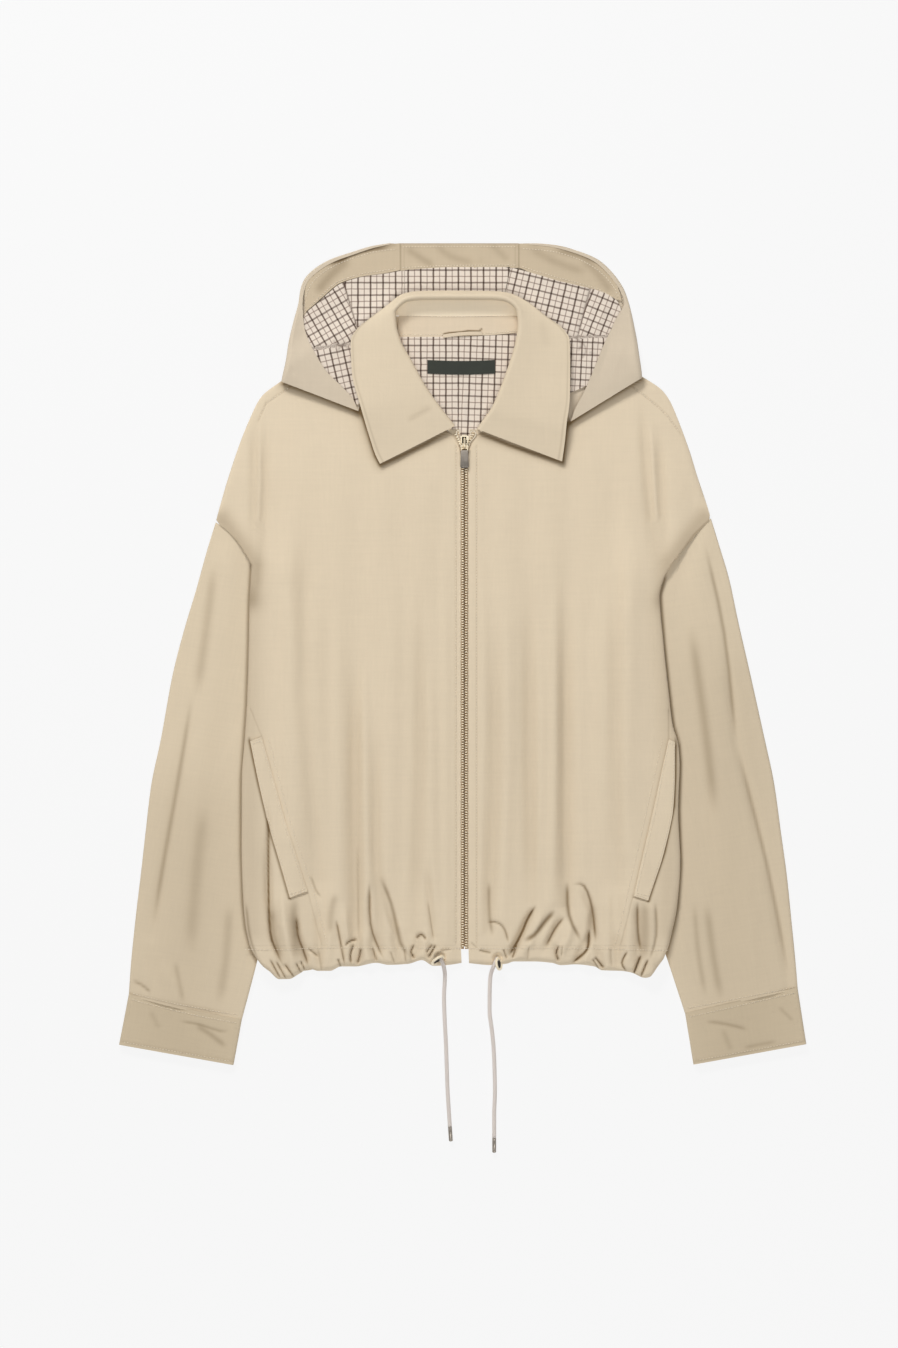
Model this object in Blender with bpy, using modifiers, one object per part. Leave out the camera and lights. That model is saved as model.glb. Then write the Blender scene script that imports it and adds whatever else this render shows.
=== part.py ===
"""A hooded zip jacket in cotton twill, laid flat on a surface with its hood spread above the collar.

Plan positions are millimetres on the layout table, measured right (across) and down from its corner, and
heights are millimetres above the table. place() turns them into the part's own frame in metres: +X to the
right, +Y towards the hood, +Z up, with the origin on the table under the middle of the garment.
"Left" and "right" are as seen from above.
"""

from collections import namedtuple
from math import cos, exp, hypot, pi, radians, sin, sqrt

import bmesh
import bpy
from mathutils import Vector

MM = 0.001

# Where the part's origin lies on the layout table.
ORIGIN_ACROSS = 462.75
ORIGIN_DOWN = 653.5

# Walls and the air between layers.
SHELL_WALL = 1.2
LINING_WALL = 0.9
COLLAR_WALL = 1.5
SEAM_GAP = 0.4
POCKET_GAP = 0.7
LAYER_GAP = 0.5
BODY_AIR = 2.6
SHOULDER_AIR = 0.9
AIR_TOP = 400.0
AIR_FULL = 480.0
NECK_REACH = 58.0
NECK_FADE = 10.0

# The flattened sleeves, and how the body climbs over them.
SLEEVE_HEIGHT = 5.6
CUFF_HEIGHT = 6.2
SLEEVE_CROWN = 2.2
SLEEVE_CLIMB = 6.9
CLIMB_LEVEL = 12.0
CLIMB_RUN = 44.0
CLIMB_TOP = 542.0
CLIMB_FULL = 564.0
SLEEVE_UNDER = 590.0
SLEEVE_CELLS = 12
CUFF_CELLS = 3
TUBE_WIDTH = 130.0
TUBE_NEAR = 0.3
TUBE_CORNER = sqrt(1 - (1 - TUBE_NEAR) ** 2)
TUBE_TOP = (0.12, 0.24, 0.38, 0.52, 0.68, 0.84)
TUBE_FOOT = (0.7, 0.4)
CROWN_SHARE = 0.6
FOLDS_END = 0.45
FOLDS_FADE = 0.15
SLEEVE_EASE = 0.1

# Rolled edges of the body.
SIDE_ROLL = 11.0
HEM_ROLL = 6.0
ROLL_STEPS = (0.0, 0.7, 2.6, 6.0, 11.0)
ROLL_LEFT = 1.0
LEAST_AIR = 0.9
ROLL_STARTS = 22.0
ROLL_FADE = 14.0
ZIP_FLAT = 5.0
ZIP_FADE = 14.0
EYELET_FLAT = 5.0
EYELET_FADE = 9.0
FOLD_FADE_IN = 0.35
FOLD_FADE_OUT = 0.8
BACK_INSET = 1.2
BACK_CELLS = 18
BACK_STEPS = (0, 12, 24, 36, 48, 60, 74, 92)
BACK_FULL_WIDTH = 320.0

# Seams across the body.
FRONT_TOP = 322.0
ARMHOLE_TOP = {"left": 521.5, "right": 517.7}
ARMHOLE_FOOT = 566.0
HEM_SEAM = 945.0
BACK_HEM_SEAM = 925.0
POCKET_TOP = 706.0

# The hood over the shoulders.
SHOULDER_CLIMB = 4.1
SHOULDER_RUN = 30.0
SHOULDER_LEAD = 4.0
SHOULDER_INNER = 60.0
SHOULDER_FADE = 14.0
HOOD_MIDDLE = 460.0
FLAP_LEVEL = 5.4
FLAP_CELLS = (8, 4, 5)
FLAP_ROWS = 15
HOOD_WALL = 1.1
FACING_WALL = 1.0
LINING_LEVEL = 2.2
HOOD_CENTRE = (400.6, 243.0, 117.8, 70.0)

# Collar.
COLLAR_ROLL = 2.6
COLLAR_HOOK = 1.8
COLLAR_TURN = 4
COLLAR_FALL = 6
COLLAR_CELLS = 26
FALL_CURVE = 1.2
STAND_WALL = 0.8
STAND_INSIDE = 0.5
STAND_BELOW = 1.3

# What shows in the neck: corner (across, down), width and depth.
LABEL_BOX = (427.4, 361.0, 67.6, 13.6)
LABEL_WALL = 0.6
LABEL_BOW = 1.0
LOOP_ENDS = (441.5, 332.2, 42.0, -3.6)
LOOP_WIDTH = 4.2
LOOP_SAG = 0.8
LOOP_RISE = 1.2
TRIM_GAP = 0.4
WELT_LIFT = 1.0

# Zip.
ZIP_ACROSS = 464.45
ZIP_TOP = 449.6
ZIP_END = 949.0
TAPE_LEVEL = 2.9
TAPE_WALL = 0.7
TAPE_TOP = 437.0
TAPE_ROWS = (437, 443, 449, 450.4, 600, 800, 949)
TAPE_WIDTH = 12.0
TAPE_NARROW = 5.0
TAPE_INNER = 0.5
TAPE_ASIDE = 5.2
CHAIN_WIDTH = 6.2
CHAIN_LEVEL = 3.9
CHAIN_THICK = 2.4
SLIDER_SIZE = (9.0, 12.6, 4.8)
SLIDER_LEVEL = 3.1
SLIDER_NOSE = 0.78
SLIDER_BEVEL = 0.9
BRIDGE_RADIUS = 1.0
BRIDGE = ((1.6, -0.8), (1.8, 1.6), (2.7, 3.0), (9.2, 3.0), (10.6, 2.4), (11.2, -0.8))
PULL_PIVOT_DOWN = 446.0
PULL_TILT = 3.8
PULL_THICK = 1.3
PULL_OUTLINE = ((-3.9, 0.7), (3.9, 0.7), (3.7, -3.2), (3.7, -8), (4.15, -21.0), (3.2, -22.3), (-3.2, -22.3),
                (-4.15, -21.0), (-3.7, -8), (-3.7, -3.2))
PULL_WINDOW = ((-2.6, -0.7), (2.6, -0.7), (2.6, -4.4), (-2.6, -4.4))

# Drawcord.
CORD_RADIUS = 2.0
TIP_LENGTH = 15.3
TIP_RADIUS = 2.0
TIP_CLEAR = 0.35
EYELET_RING = 3.9
EYELET_WIRE = 0.6
EYELET_AT = {"left": (440.0, 957.0), "right": (498.0, 958.0)}

Edge = namedtuple("Edge", "down across")
Hem = namedtuple("Hem", "across down")
Fold = namedtuple("Fold", "top_across top_down mid_across mid_down foot_across foot_down half_width rise")
SleeveRow = namedtuple("SleeveRow", "out_across out_down in_across in_down bow_across bow_down")
HoodRow = namedtuple("HoodRow", "in_across in_down out_across out_down flap_across flap_down swell")
Strip = namedtuple("Strip", "out_across out_down in_across in_down")
CollarRow = namedtuple("CollarRow", "roll_across roll_down roll_high seam_across seam_down seam_high "
                                    "edge_across edge_down edge_high")
CordPoint = namedtuple("CordPoint", "across down high")


def rows(kind, *values):
    return [kind(*value) for value in values]


# Outlines of the body: shoulder line and drop shoulder, then the side below the armhole.
SHOULDER = {
    "left": rows(Edge, (310, 391), (330, 362), (350, 330), (365, 304), (381, 281), (397, 261), (417, 250.5),
                 (440, 241), (470, 230.6), (495, 223), (ARMHOLE_TOP["left"], 216)),
    "right": rows(Edge, (308, 536), (330, 566), (350, 596), (365, 622), (377, 643), (390, 662), (401, 670),
                  (418, 677.5), (455, 691), (475, 697), (499, 705), (ARMHOLE_TOP["right"], 710.5)),
}
SIDE = {
    "left": rows(Edge, (ARMHOLE_FOOT, 252), (600, 249.7), (645, 249), (706, 247), (740, 244.8), (779, 242),
                 (850, 241.8), (901, 243.5), (927, 246), (951, 251.7), (963, 259.7)),
    "right": rows(Edge, (ARMHOLE_FOOT, 670), (578, 664), (595, 659.5), (645, 663.5), (694, 668.7), (725, 672.5),
                  (744, 678), (763, 679.4), (809, 678), (863, 680), (907, 676.8), (929, 672.4), (956, 665),
                  (966, 657.8)),
}
# The fronts' inner edges: neckline under the collar, then the edge beside the zip.
CENTRE = {
    "left": rows(Edge, (FRONT_TOP, 385), (338, 388), (352, 394), (365, 401), (392, 416), (416, 432), (430, 445),
                 (436, 454), (442, 457.4), (449, 459.4), (456, 460.6), (963, 460.8)),
    "right": rows(Edge, (FRONT_TOP, 530), (338, 528), (358, 522), (383, 513), (406, 503), (421, 491.5),
                  (431, 483), (437, 475), (442, 471.6), (449, 469.6), (456, 468.3), (963, 468.4)),
}
POCKET_SEAM = {
    "left": rows(Edge, (POCKET_TOP, 249.5), (720, 255), (736, 262), (826, 286), (891, 308), (921, 315.5),
                 (HEM_SEAM, 321.5)),
    "right": rows(Edge, (POCKET_TOP, 668.2), (720, 668.6), (738, 668.4), (825, 649), (896, 632.5), (921, 627),
                  (HEM_SEAM, 620.5)),
}
# The gathered bottom edge of the casing, and its plainer back.
HEM_EDGE = {
    "left": rows(Hem, (257, 958.5), (263, 966), (269.5, 971), (279.4, 979), (289, 979), (299, 974),
                 (308.8, 968.8), (318.6, 971), (330, 971), (341, 966.6), (355, 966.6), (376, 963), (389, 965),
                 (408, 964), (422, 960.3), (433.6, 966), (449, 965), (461.6, 963)),
    "right": rows(Hem, (469, 963.3), (492, 965.3), (506.7, 963.8), (514, 961.6), (534.5, 961.6), (552, 963),
                  (561, 965.3), (575.6, 964.5), (594.7, 966.7), (602, 970.4), (621, 971), (631.4, 972.6),
                  (644.6, 977.7), (649, 977), (657.8, 966), (663, 959)),
    "back": rows(Hem, (254, 954), (272, 968), (290, 973), (330, 965), (360, 960), (410, 957), (440, 953),
                 (464.5, 948.5), (490, 954), (530, 956), (580, 959), (620, 966), (645, 972), (662, 955)),
}

# Soft folds and gathers of the fronts: the line each runs along, its half width and how far it rises.
FOLDS = {
    "left": rows(
        Fold,
        (354, 640, 354, 800, 356, 965, 6.5, -3.0), (364, 620, 365, 800, 369, 960, 5.5, 2.4),
        (376, 700, 376, 850, 381, 948, 5.0, -2.2), (394, 520, 393, 720, 390, 900, 9.0, 1.6),
        (420, 560, 420, 760, 414, 930, 6.5, -2.2), (430, 640, 432, 800, 436, 930, 7.0, 1.7),
        (444, 500, 446, 700, 446, 940, 5.5, 1.2), (318, 470, 318, 700, 330, 930, 11.0, 1.9),
        (290, 480, 288, 640, 290, 840, 9.0, 1.5), (338, 560, 338, 740, 340, 930, 7.0, 1.6),
        (303, 520, 303, 700, 318, 880, 7.0, -1.5),
        (255, 410, 254, 480, 253, 552, 5.0, -1.8), (265, 415, 265, 490, 260, 585, 5.0, -1.8),
        (260, 415, 260, 480, 257, 560, 3.0, 1.2),
        (380, 870, 388, 910, 402, 944, 4.0, -2.4), (370, 880, 369, 920, 380, 950, 4.0, -2.0),
        (426, 862, 430, 900, 434, 936, 4.0, -1.8), (268, 830, 269, 900, 283, 966, 4.5, -2.6),
        (293, 905, 298, 935, 309, 966, 4.5, -2.8), (281, 880, 285, 925, 296, 975, 4.5, 2.4),
        (344, 900, 347, 930, 350, 966, 4.0, 2.2), (330, 880, 331, 925, 326, 972, 5.0, 1.8),
        (317, 900, 319, 935, 318, 974, 4.0, -1.6), (396, 915, 404, 942, 410, 962, 4.0, 2.0),
        (390, 930, 397, 948, 398, 966, 3.5, -1.8), (372, 930, 372, 950, 378, 965, 3.5, -1.8),
        (363, 925, 364, 948, 368, 966, 3.5, 1.8), (418, 930, 416, 948, 412, 962, 3.5, -1.7),
        (425, 925, 425, 945, 422, 962, 3.5, 1.4)),
    "right": rows(
        Fold,
        (565, 560, 565, 790, 566, 905, 6.5, -3.0), (555, 520, 555, 760, 552, 900, 6.5, 2.4),
        (529, 560, 529, 760, 532, 900, 6.5, -2.4), (541, 600, 541, 780, 536, 905, 6.0, 1.6),
        (495, 600, 495, 780, 489, 930, 6.0, -2.2), (508, 560, 508, 760, 502, 920, 7.0, 1.6),
        (484, 520, 484, 720, 478, 930, 5.0, 1.2), (603, 470, 603, 700, 600, 900, 11.0, 1.9),
        (580, 540, 580, 740, 584, 890, 7.0, 1.5), (627, 480, 628, 660, 622, 850, 9.0, 1.6),
        (615, 560, 615, 720, 618, 880, 7.0, -1.6),
        (641, 395, 647, 480, 658, 582, 5.0, -1.8), (659, 420, 662, 490, 663, 570, 5.0, -1.8),
        (650, 410, 654, 480, 660, 560, 3.0, 1.2),
        (536, 900, 519, 938, 508, 958, 3.8, -3.0), (545, 905, 534, 935, 522, 955, 4.5, 2.4),
        (562, 912, 552, 934, 544, 950, 4.0, -2.4), (574, 915, 568, 938, 560, 955, 4.5, 2.2),
        (578, 880, 592, 912, 596, 946, 4.0, -2.2), (592, 905, 590, 935, 574, 962, 4.0, -2.6),
        (606, 880, 608, 925, 607, 966, 5.0, 2.2), (636, 900, 639, 930, 637, 972, 4.5, -2.4),
        (624, 880, 628, 930, 626, 970, 5.0, 1.8), (650, 880, 652, 930, 650, 974, 5.0, 2.0),
        (596, 945, 600, 958, 603, 972, 3.5, -1.8), (616, 930, 618, 950, 617, 970, 3.5, -1.6),
        (552, 940, 557, 952, 559, 966, 3.5, -1.6), (530, 935, 532, 950, 534, 962, 4.0, 1.2),
        (584, 940, 585, 954, 586, 968, 3.5, 1.6)),
}
SHOULDER_LINE = rows(Hem, (240, 420), (281, 381), (304, 365), (330, 350), (362, 330), (391, 316), (534, 316),
                     (566, 330), (596, 350), (622, 365), (643, 377), (690, 420))
SOFT_WAVE = 42.0
SOFT_WAVE_RISE = 0.7
CALM_ABOVE = 430.0
CALM_FADE = 90.0

SLEEVES = {
    "left": rows(
        SleeveRow,
        (215.6, 522.4, 262, 590, 2.2, -8.6), (206.5, 552, 272, 612, 1.0, -4.5), (196, 590, 280, 640, 0, -1),
        (184, 630, 285, 672, 0, 0), (172.5, 675, 287, 706, 0, 0), (161, 738, 285, 758, 0, 0),
        (151, 786, 281, 806, 0, 0), (145.5, 832, 276, 850, 0, 0), (141, 872, 270, 890, 0, 0),
        (135.5, 918, 264, 932, 0, 0), (130.5, 968, 255.5, 968, 0, 0), (128.7, 995, 241.6, 1020.6, 0.7, 2)),
    "right": rows(
        SleeveRow,
        (711.1, 518.6, 650, 590, 6.2, -8.9), (719.5, 546, 643, 614, 3, -5), (729.5, 580, 638, 642, 0, -1),
        (738, 620, 635, 674, 0, 0), (749, 668, 634, 708, 0, 0), (763, 731, 636, 760, 0, 0),
        (774.5, 785, 640, 806, 0, 0), (781, 832, 645, 850, 0, 0), (787, 876, 650, 890, 0, 0),
        (791.5, 920, 656, 926, 0, 0), (796, 966, 667.5, 960, 0, 0), (797.8, 988.5, 685.3, 1014.3, 0, 0)),
}
CUFFS = {
    "left": rows(SleeveRow, (128.4, 995.9, 241.5, 1021.3, 0.7, 2), (123.8, 1020, 237.6, 1043, 0, 1),
                 (119, 1044.6, 233.5, 1065, 0, 0)),
    "right": rows(SleeveRow, (797.9, 989.3, 685.4, 1015.1, 0, 0), (802, 1016, 689.4, 1039.5, 0, 0),
                  (806.4, 1044, 693.4, 1064.5, 0, 0)),
}
SLEEVE_FOLDS = {
    "left": rows(Fold, (193, 690, 164, 866, 152, 935, 6, -1.6), (214, 640, 198, 780, 190, 900, 12, 1.2),
                 (226, 900, 222, 950, 214, 1000, 7, -1.2), (160, 960, 172, 985, 180, 1008, 6, 1.0)),
    "right": rows(Fold, (722, 620, 737, 745, 763, 848, 5, -1.6), (763, 848, 778, 920, 789, 985, 5, -1.4),
                  (706, 640, 716, 780, 728, 900, 12, 1.2), (700, 900, 706, 950, 714, 1000, 7, -1.2)),
}

# Hood sides: each row runs from the centre seam out to the fold, and the flap comes back over it.
HOOD_SIDES = {
    "left": rows(
        HoodRow,
        (400.1, 243.6, 389, 243.0, 391, 244.2, 0), (400.1, 247, 372, 245.8, 374.5, 247.6, 0),
        (400.1, 252, 352, 251.8, 355, 254, 0), (400.1, 258, 329, 259.8, 332, 262.6, 0),
        (400.1, 265, 313, 269.6, 316.5, 272.6, 0), (400.1, 273, 304.3, 279, 308, 281.2, 0),
        (400.1, 281, 300.4, 289, 304.4, 290.2, 0), (400.1, 289, 298.3, 303, 302.6, 303.6, 0),
        (398, 298, 294, 319, 303.6, 322, 1), (391, 308, 291, 331, 307.2, 337, 2.2),
        (382.5, 320, 288.4, 343, 314.6, 352.5, 3.4), (376, 338, 286, 360, 327, 372, 4.2),
        (370, 365, 283.2, 373, 341, 386, 4.0), (363, 390, 281.8, 379.5, 353, 399, 3.2),
        (358.5, 410.6, 281.5, 382.0, 358.5, 411.4, 2.4)),
    "right": rows(
        HoodRow,
        (518.9, 243.6, 530, 243.2, 528, 244.4, 0), (518.9, 247, 553, 245.0, 550.5, 246.8, 0),
        (518.9, 252, 576, 250.2, 573, 252.4, 0), (518.9, 258, 598, 259.3, 595, 262, 0),
        (518.9, 265, 612, 271.8, 608.5, 274.6, 0), (518.9, 273, 619.2, 281, 615.4, 283, 0),
        (518.9, 281, 624.2, 289.5, 620.2, 290.7, 0), (518.9, 289, 628.7, 302, 624.2, 303, 0),
        (520, 298, 632, 315, 616.5, 318, 1), (529, 308, 634.5, 327, 611, 330, 2.2),
        (534, 321, 637, 340, 604.5, 343, 3.4), (542, 341, 639.3, 356, 594, 369, 4.2),
        (550, 368, 641, 368, 583, 394, 4.0), (560, 396, 641.8, 375, 575, 409, 3.2),
        (570.5, 421, 642, 378.0, 570.5, 421.8, 2.4)),
}
HOOD_FACINGS = {
    "left": rows(Strip, (400.1, 246.4, 400.1, 269.6), (376, 249, 382, 273.2), (354, 255.4, 364, 275.6),
                 (334, 263.4, 350, 279), (319, 273, 338, 283.7), (310.3, 282, 327, 292.5),
                 (306.4, 291, 316, 302.5), (304.4, 300, 305.6, 311.5)),
    "centre": rows(Strip, (400.6, 244.4, 400.6, 269.6), (460, 244.0, 460, 266.6), (518.4, 244.4, 518.4, 266.6)),
    "right": rows(Strip, (518.9, 246.4, 518.9, 266.8), (534, 246.8, 530, 271.8), (554, 248.8, 543, 276),
                  (574, 254, 556, 280), (595, 264.6, 575, 284.6), (611.5, 280.5, 592, 288.4),
                  (617.5, 291, 605, 293.5), (621, 300.5, 615, 299.5)),
}
HOOD_LININGS = {
    "left": rows(Strip, (402.6, 270.4, 404.3, 270.8), (384, 273.8, 404.3, 277), (366, 276.2, 404.3, 283),
                 (352, 279.6, 404.3, 289), (340, 284.4, 404.3, 296), (329, 293.2, 400, 305),
                 (318, 303.2, 390, 314), (307.5, 312.6, 385, 322), (302, 322, 380, 336),
                 (298.5, 335, 376, 350), (295.5, 350, 372, 368), (292, 367, 366, 388), (292, 377, 358, 405)),
    "centre": rows(Strip, (404.7, 270.2, 404.7, 312), (455, 267.4, 455, 312), (510, 267.4, 501, 312)),
    "right": rows(Strip, (511.5, 267.6, 510.5, 268.2), (530, 272.4, 508.9, 276), (544, 276.6, 507.7, 282),
                  (557, 280.6, 506.5, 288), (576, 285.2, 505, 296), (593, 289.2, 511, 305),
                  (606, 294.2, 524, 314), (617, 302, 531.5, 323), (621, 312, 536, 336), (625, 326, 541, 350),
                  (628, 342, 547, 368), (631, 356, 555, 386), (631.5, 366, 566, 395)),
}

COLLAR = rows(
    CollarRow,
    (454, 426.5, 9.4, 449, 431, 5.9, 380, 464, 6.9), (447, 418, 10.6, 440, 424, 5.9, 375.5, 455, 7.4),
    (438, 406.5, 12, 430, 413, 5.9, 369.5, 437, 9.4), (425, 388, 13.6, 416.5, 393, 5.9, 361, 408, 12.0),
    (410, 361, 14.8, 401, 365, 6.0, 352, 373, 10.6), (400, 343, 15.4, 391.5, 346, 6.2, 350.8, 343, 9.8),
    (395.5, 327, 16, 388.5, 329, 6.0, 356, 331, 9.4), (394.5, 314, 16.4, 393, 316.5, 5.2, 367, 321, 8.8),
    (399.5, 306, 16.6, 398.5, 315.5, 3.9, 385, 307.5, 8), (408.5, 300.8, 16.6, 408, 315.8, 3.7, 403, 294.6, 6.2),
    (421, 299.4, 16.6, 421, 316, 3.7, 420, 291.8, 5), (455, 299.2, 16.6, 455, 316.2, 3.7, 455, 291.4, 5),
    (491, 299.4, 16.6, 492, 316, 3.7, 492, 291.8, 5), (503, 300.4, 16.6, 504, 315.8, 3.7, 508, 293.4, 6.2),
    (512, 304.5, 16.6, 513.5, 315.5, 3.9, 527, 302, 8), (518, 313, 16.4, 520, 316.5, 5.2, 545, 316, 8.8),
    (519, 326, 16, 526, 328, 6.0, 562.5, 329, 9.4), (516, 346, 15.4, 523.5, 348.5, 6.2, 569.5, 341, 9.8),
    (511.5, 361, 14.8, 520, 364.5, 6.0, 570, 367, 10.6), (503, 385, 13.6, 511, 389, 5.9, 569.6, 398, 12.0),
    (492.5, 409, 12.6, 500, 415, 5.9, 566.5, 424, 12.0), (485, 419.5, 10.8, 491.5, 425, 5.9, 564.5, 444, 9.4),
    (478, 429.5, 9.4, 482.5, 433.5, 5.9, 562, 461.5, 6.9))

NECK_FACING = rows(Strip, (399, 313.2, 397, 337), (420, 314.6, 420, 336.8), (443, 315.2, 443, 336),
                   (463, 315.2, 463, 335), (490, 314.8, 490, 333.4), (517, 313.2, 519, 331))
BACK_LINING = {
    "left": rows(Edge, (331.6, 391), (337.6, 392), (352, 398), (366, 404), (380, 408), (412, 420), (446, 444)),
    "right": rows(Edge, (331.6, 525), (338, 525), (358, 519), (383, 512), (412, 504), (446, 486)),
}
WELTS = {
    "left": rows(Strip, (250.6, 741, 262, 736.4), (259, 782, 273.2, 776), (269.5, 826.5, 285.4, 820),
                 (280, 862, 296.5, 855), (290.3, 897.3, 307.6, 891)),
    "right": rows(Strip, (674.6, 742, 668.4, 738.8), (674.4, 775, 660.6, 774), (673, 806, 653.4, 808),
                  (663.5, 852, 643.6, 850), (647.7, 900, 633.4, 895.6)),
}

CORDS = {
    "left": rows(CordPoint, (440.2, 956.6, 8.2), (441.6, 960.4, 9.4), (443.4, 965, 8.6), (444.5, 970.4, 5.0),
                 (445, 976, 2.6), (444.6, 985, 2.0), (444, 996, 2.0), (444.5, 1016, 2.0), (446, 1045, 2.0),
                 (446.8, 1068, 2.0), (447.6, 1091, 2.0), (448.8, 1110.6, 2.0), (449.9, 1126.7, 2.0)),
    "right": rows(CordPoint, (497.6, 957.6, 8.2), (495.8, 961.2, 9.4), (493.6, 966, 8.6), (491.8, 971, 5.0),
                  (490.4, 977, 2.6), (489.8, 988, 2.0), (489.6, 1000, 2.0), (489.6, 1012.7, 2.0),
                  (491.2, 1025, 2.0), (493.5, 1046, 2.0), (494.5, 1068, 2.0), (495, 1091, 2.0),
                  (494.2, 1114, 2.0), (494.2, 1138, 2.0)),
}
CORD_POINTS = 24

COLOURS = {
    "twill": (0.65, 0.55, 0.40, 1), "check": (0.72, 0.63, 0.55, 1), "label": (0.045, 0.055, 0.045, 1),
    "tape": (0.62, 0.52, 0.38, 1), "brass": (0.72, 0.58, 0.34, 1), "gunmetal": (0.24, 0.23, 0.21, 1),
    "cord": (0.70, 0.60, 0.53, 1),
}


def place(across, down, high):
    return Vector(((across - ORIGIN_ACROSS) * MM, (ORIGIN_DOWN - down) * MM, high * MM))


def smooth_step(value):
    value = min(1.0, max(0.0, value))
    return value * value * (3 - 2 * value)


def monotone(knots, values, at):
    """The value at `at` of a smooth curve through the knots that never swings past them."""
    if at <= knots[0]:
        return values[0]
    if at >= knots[-1]:
        return values[-1]
    steps = [knots[i + 1] - knots[i] for i in range(len(knots) - 1)]
    slopes = [(values[i + 1] - values[i]) / steps[i] for i in range(len(steps))]
    tangents = [slopes[0]]
    for before, after in zip(slopes, slopes[1:]):
        tangents.append(0.0 if before * after <= 0 else 2 * before * after / (before + after))
    tangents.append(slopes[-1])
    cell = max(i for i in range(len(steps)) if knots[i] <= at)
    t = (at - knots[cell]) / steps[cell]
    h = steps[cell]
    return (values[cell] * (1 + 2 * t) * (1 - t) ** 2 + tangents[cell] * h * t * (1 - t) ** 2
            + values[cell + 1] * t * t * (3 - 2 * t) + tangents[cell + 1] * h * t * t * (t - 1))


def along(table, column, t):
    """A column of a table as a smooth curve, with t from 0 at its first row to 1 at its last."""
    knots = list(range(len(table)))
    return monotone(knots, [getattr(row, column) for row in table], t * (len(table) - 1))


def across_at(table, down):
    return monotone([row.down for row in table], [row.across for row in table], down)


def down_at(table, across):
    return monotone([row.across for row in table], [row.down for row in table], across)


def hem_down(side, across):
    return down_at(HEM_EDGE[side], across)


def sleeve_point(row, share):
    """A point on a sleeve row, from its outer edge (0) to its inner edge (1), along a bowed line."""
    lift = 4 * share * (1 - share)
    return (row.out_across + (row.in_across - row.out_across) * share + row.bow_across * lift,
            row.out_down + (row.in_down - row.out_down) * share + row.bow_down * lift)


def armhole_across(side, down):
    """Where the armhole seam lies at this level, by halving along the sleeve's first row."""
    low, high = 0.0, 1.0
    for _ in range(30):
        middle = (low + high) / 2
        if sleeve_point(SLEEVES[side][0], middle)[1] < down:
            low = middle
        else:
            high = middle
    return sleeve_point(SLEEVES[side][0], low)[0]


def inward(side):
    return 1 if side == "left" else -1


def body_edge(side, down):
    """The body's outline: shoulder and drop shoulder, armhole seam, then the side."""
    if down <= ARMHOLE_TOP[side]:
        return across_at(SHOULDER[side], down)
    if down < ARMHOLE_FOOT:
        return armhole_across(side, down) + inward(side) * SEAM_GAP * 2
    return across_at(SIDE[side], down)


def sleeve_inner(side, down):
    table = SLEEVES[side]
    return monotone([row.in_down for row in table], [row.in_across for row in table], down)


def climb(across, down):
    """How far the back is lifted where it lies over a sleeve."""
    level = smooth_step((down - CLIMB_TOP) / (CLIMB_FULL - CLIMB_TOP))
    lift = 0.0
    for side in ("left", "right"):
        beyond = (across - sleeve_inner(side, max(down, SLEEVE_UNDER))) * inward(side)
        lift = max(lift, 1 - smooth_step((beyond - CLIMB_LEVEL) / CLIMB_RUN))
    return SLEEVE_CLIMB * level * lift


def fold_rise(fold, across, down):
    """The rise of one fold: a soft ridge or trough along its line, fading out at its top."""
    best, t_best = 1e9, 0.0
    points = ((fold.top_across, fold.top_down), (fold.mid_across, fold.mid_down),
              (fold.foot_across, fold.foot_down))
    for part, ((ax, ay), (bx, by)) in enumerate(zip(points, points[1:])):
        dx, dy = bx - ax, by - ay
        t = min(1.0, max(0.0, ((across - ax) * dx + (down - ay) * dy) / (dx * dx + dy * dy)))
        away = hypot(across - ax - t * dx, down - ay - t * dy)
        if away < best:
            best, t_best = away, (part + t) / 2
    ending = smooth_step((t_best - FOLD_FADE_OUT) / (1 - FOLD_FADE_OUT))
    fade = smooth_step(t_best / FOLD_FADE_IN) * (1 - ending / 2)
    return fold.rise * fade * exp(-(best / fold.half_width) ** 2)


def roll_drop(away, reach):
    """How far a rolled edge has dropped, from 0 at its reach to 1 at the edge."""
    if away >= reach:
        return 0.0
    t = 1 - max(0.0, away) / reach
    return 1 - sqrt(max(0.0, 1 - t * t))


def front_relief(side, across, down):
    """How the folds, gathers and soft waves lift or sink a front."""
    calm = smooth_step((down - CALM_ABOVE) / CALM_FADE)
    relief = SOFT_WAVE_RISE * (1 + cos(2 * pi * (across - ZIP_ACROSS) / SOFT_WAVE)) * calm
    relief += sum(fold_rise(fold, across, down) for fold in FOLDS[side])
    for centre_across, centre_down in EYELET_AT.values():
        away = hypot(across - centre_across, down - centre_down)
        relief *= smooth_step((away - EYELET_FLAT) / EYELET_FADE)
    return relief * smooth_step((abs(across - ZIP_ACROSS) - ZIP_FLAT) / ZIP_FADE)


def body_air(across, down):
    """The air between back and front, less over the shoulders than beside the zip and below."""
    shoulder = 1 - smooth_step((down - AIR_TOP) / (AIR_FULL - AIR_TOP))
    shoulder *= smooth_step((abs(across - ZIP_ACROSS) - NECK_REACH) / NECK_FADE)
    return BODY_AIR + (SHOULDER_AIR - BODY_AIR) * shoulder


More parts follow.
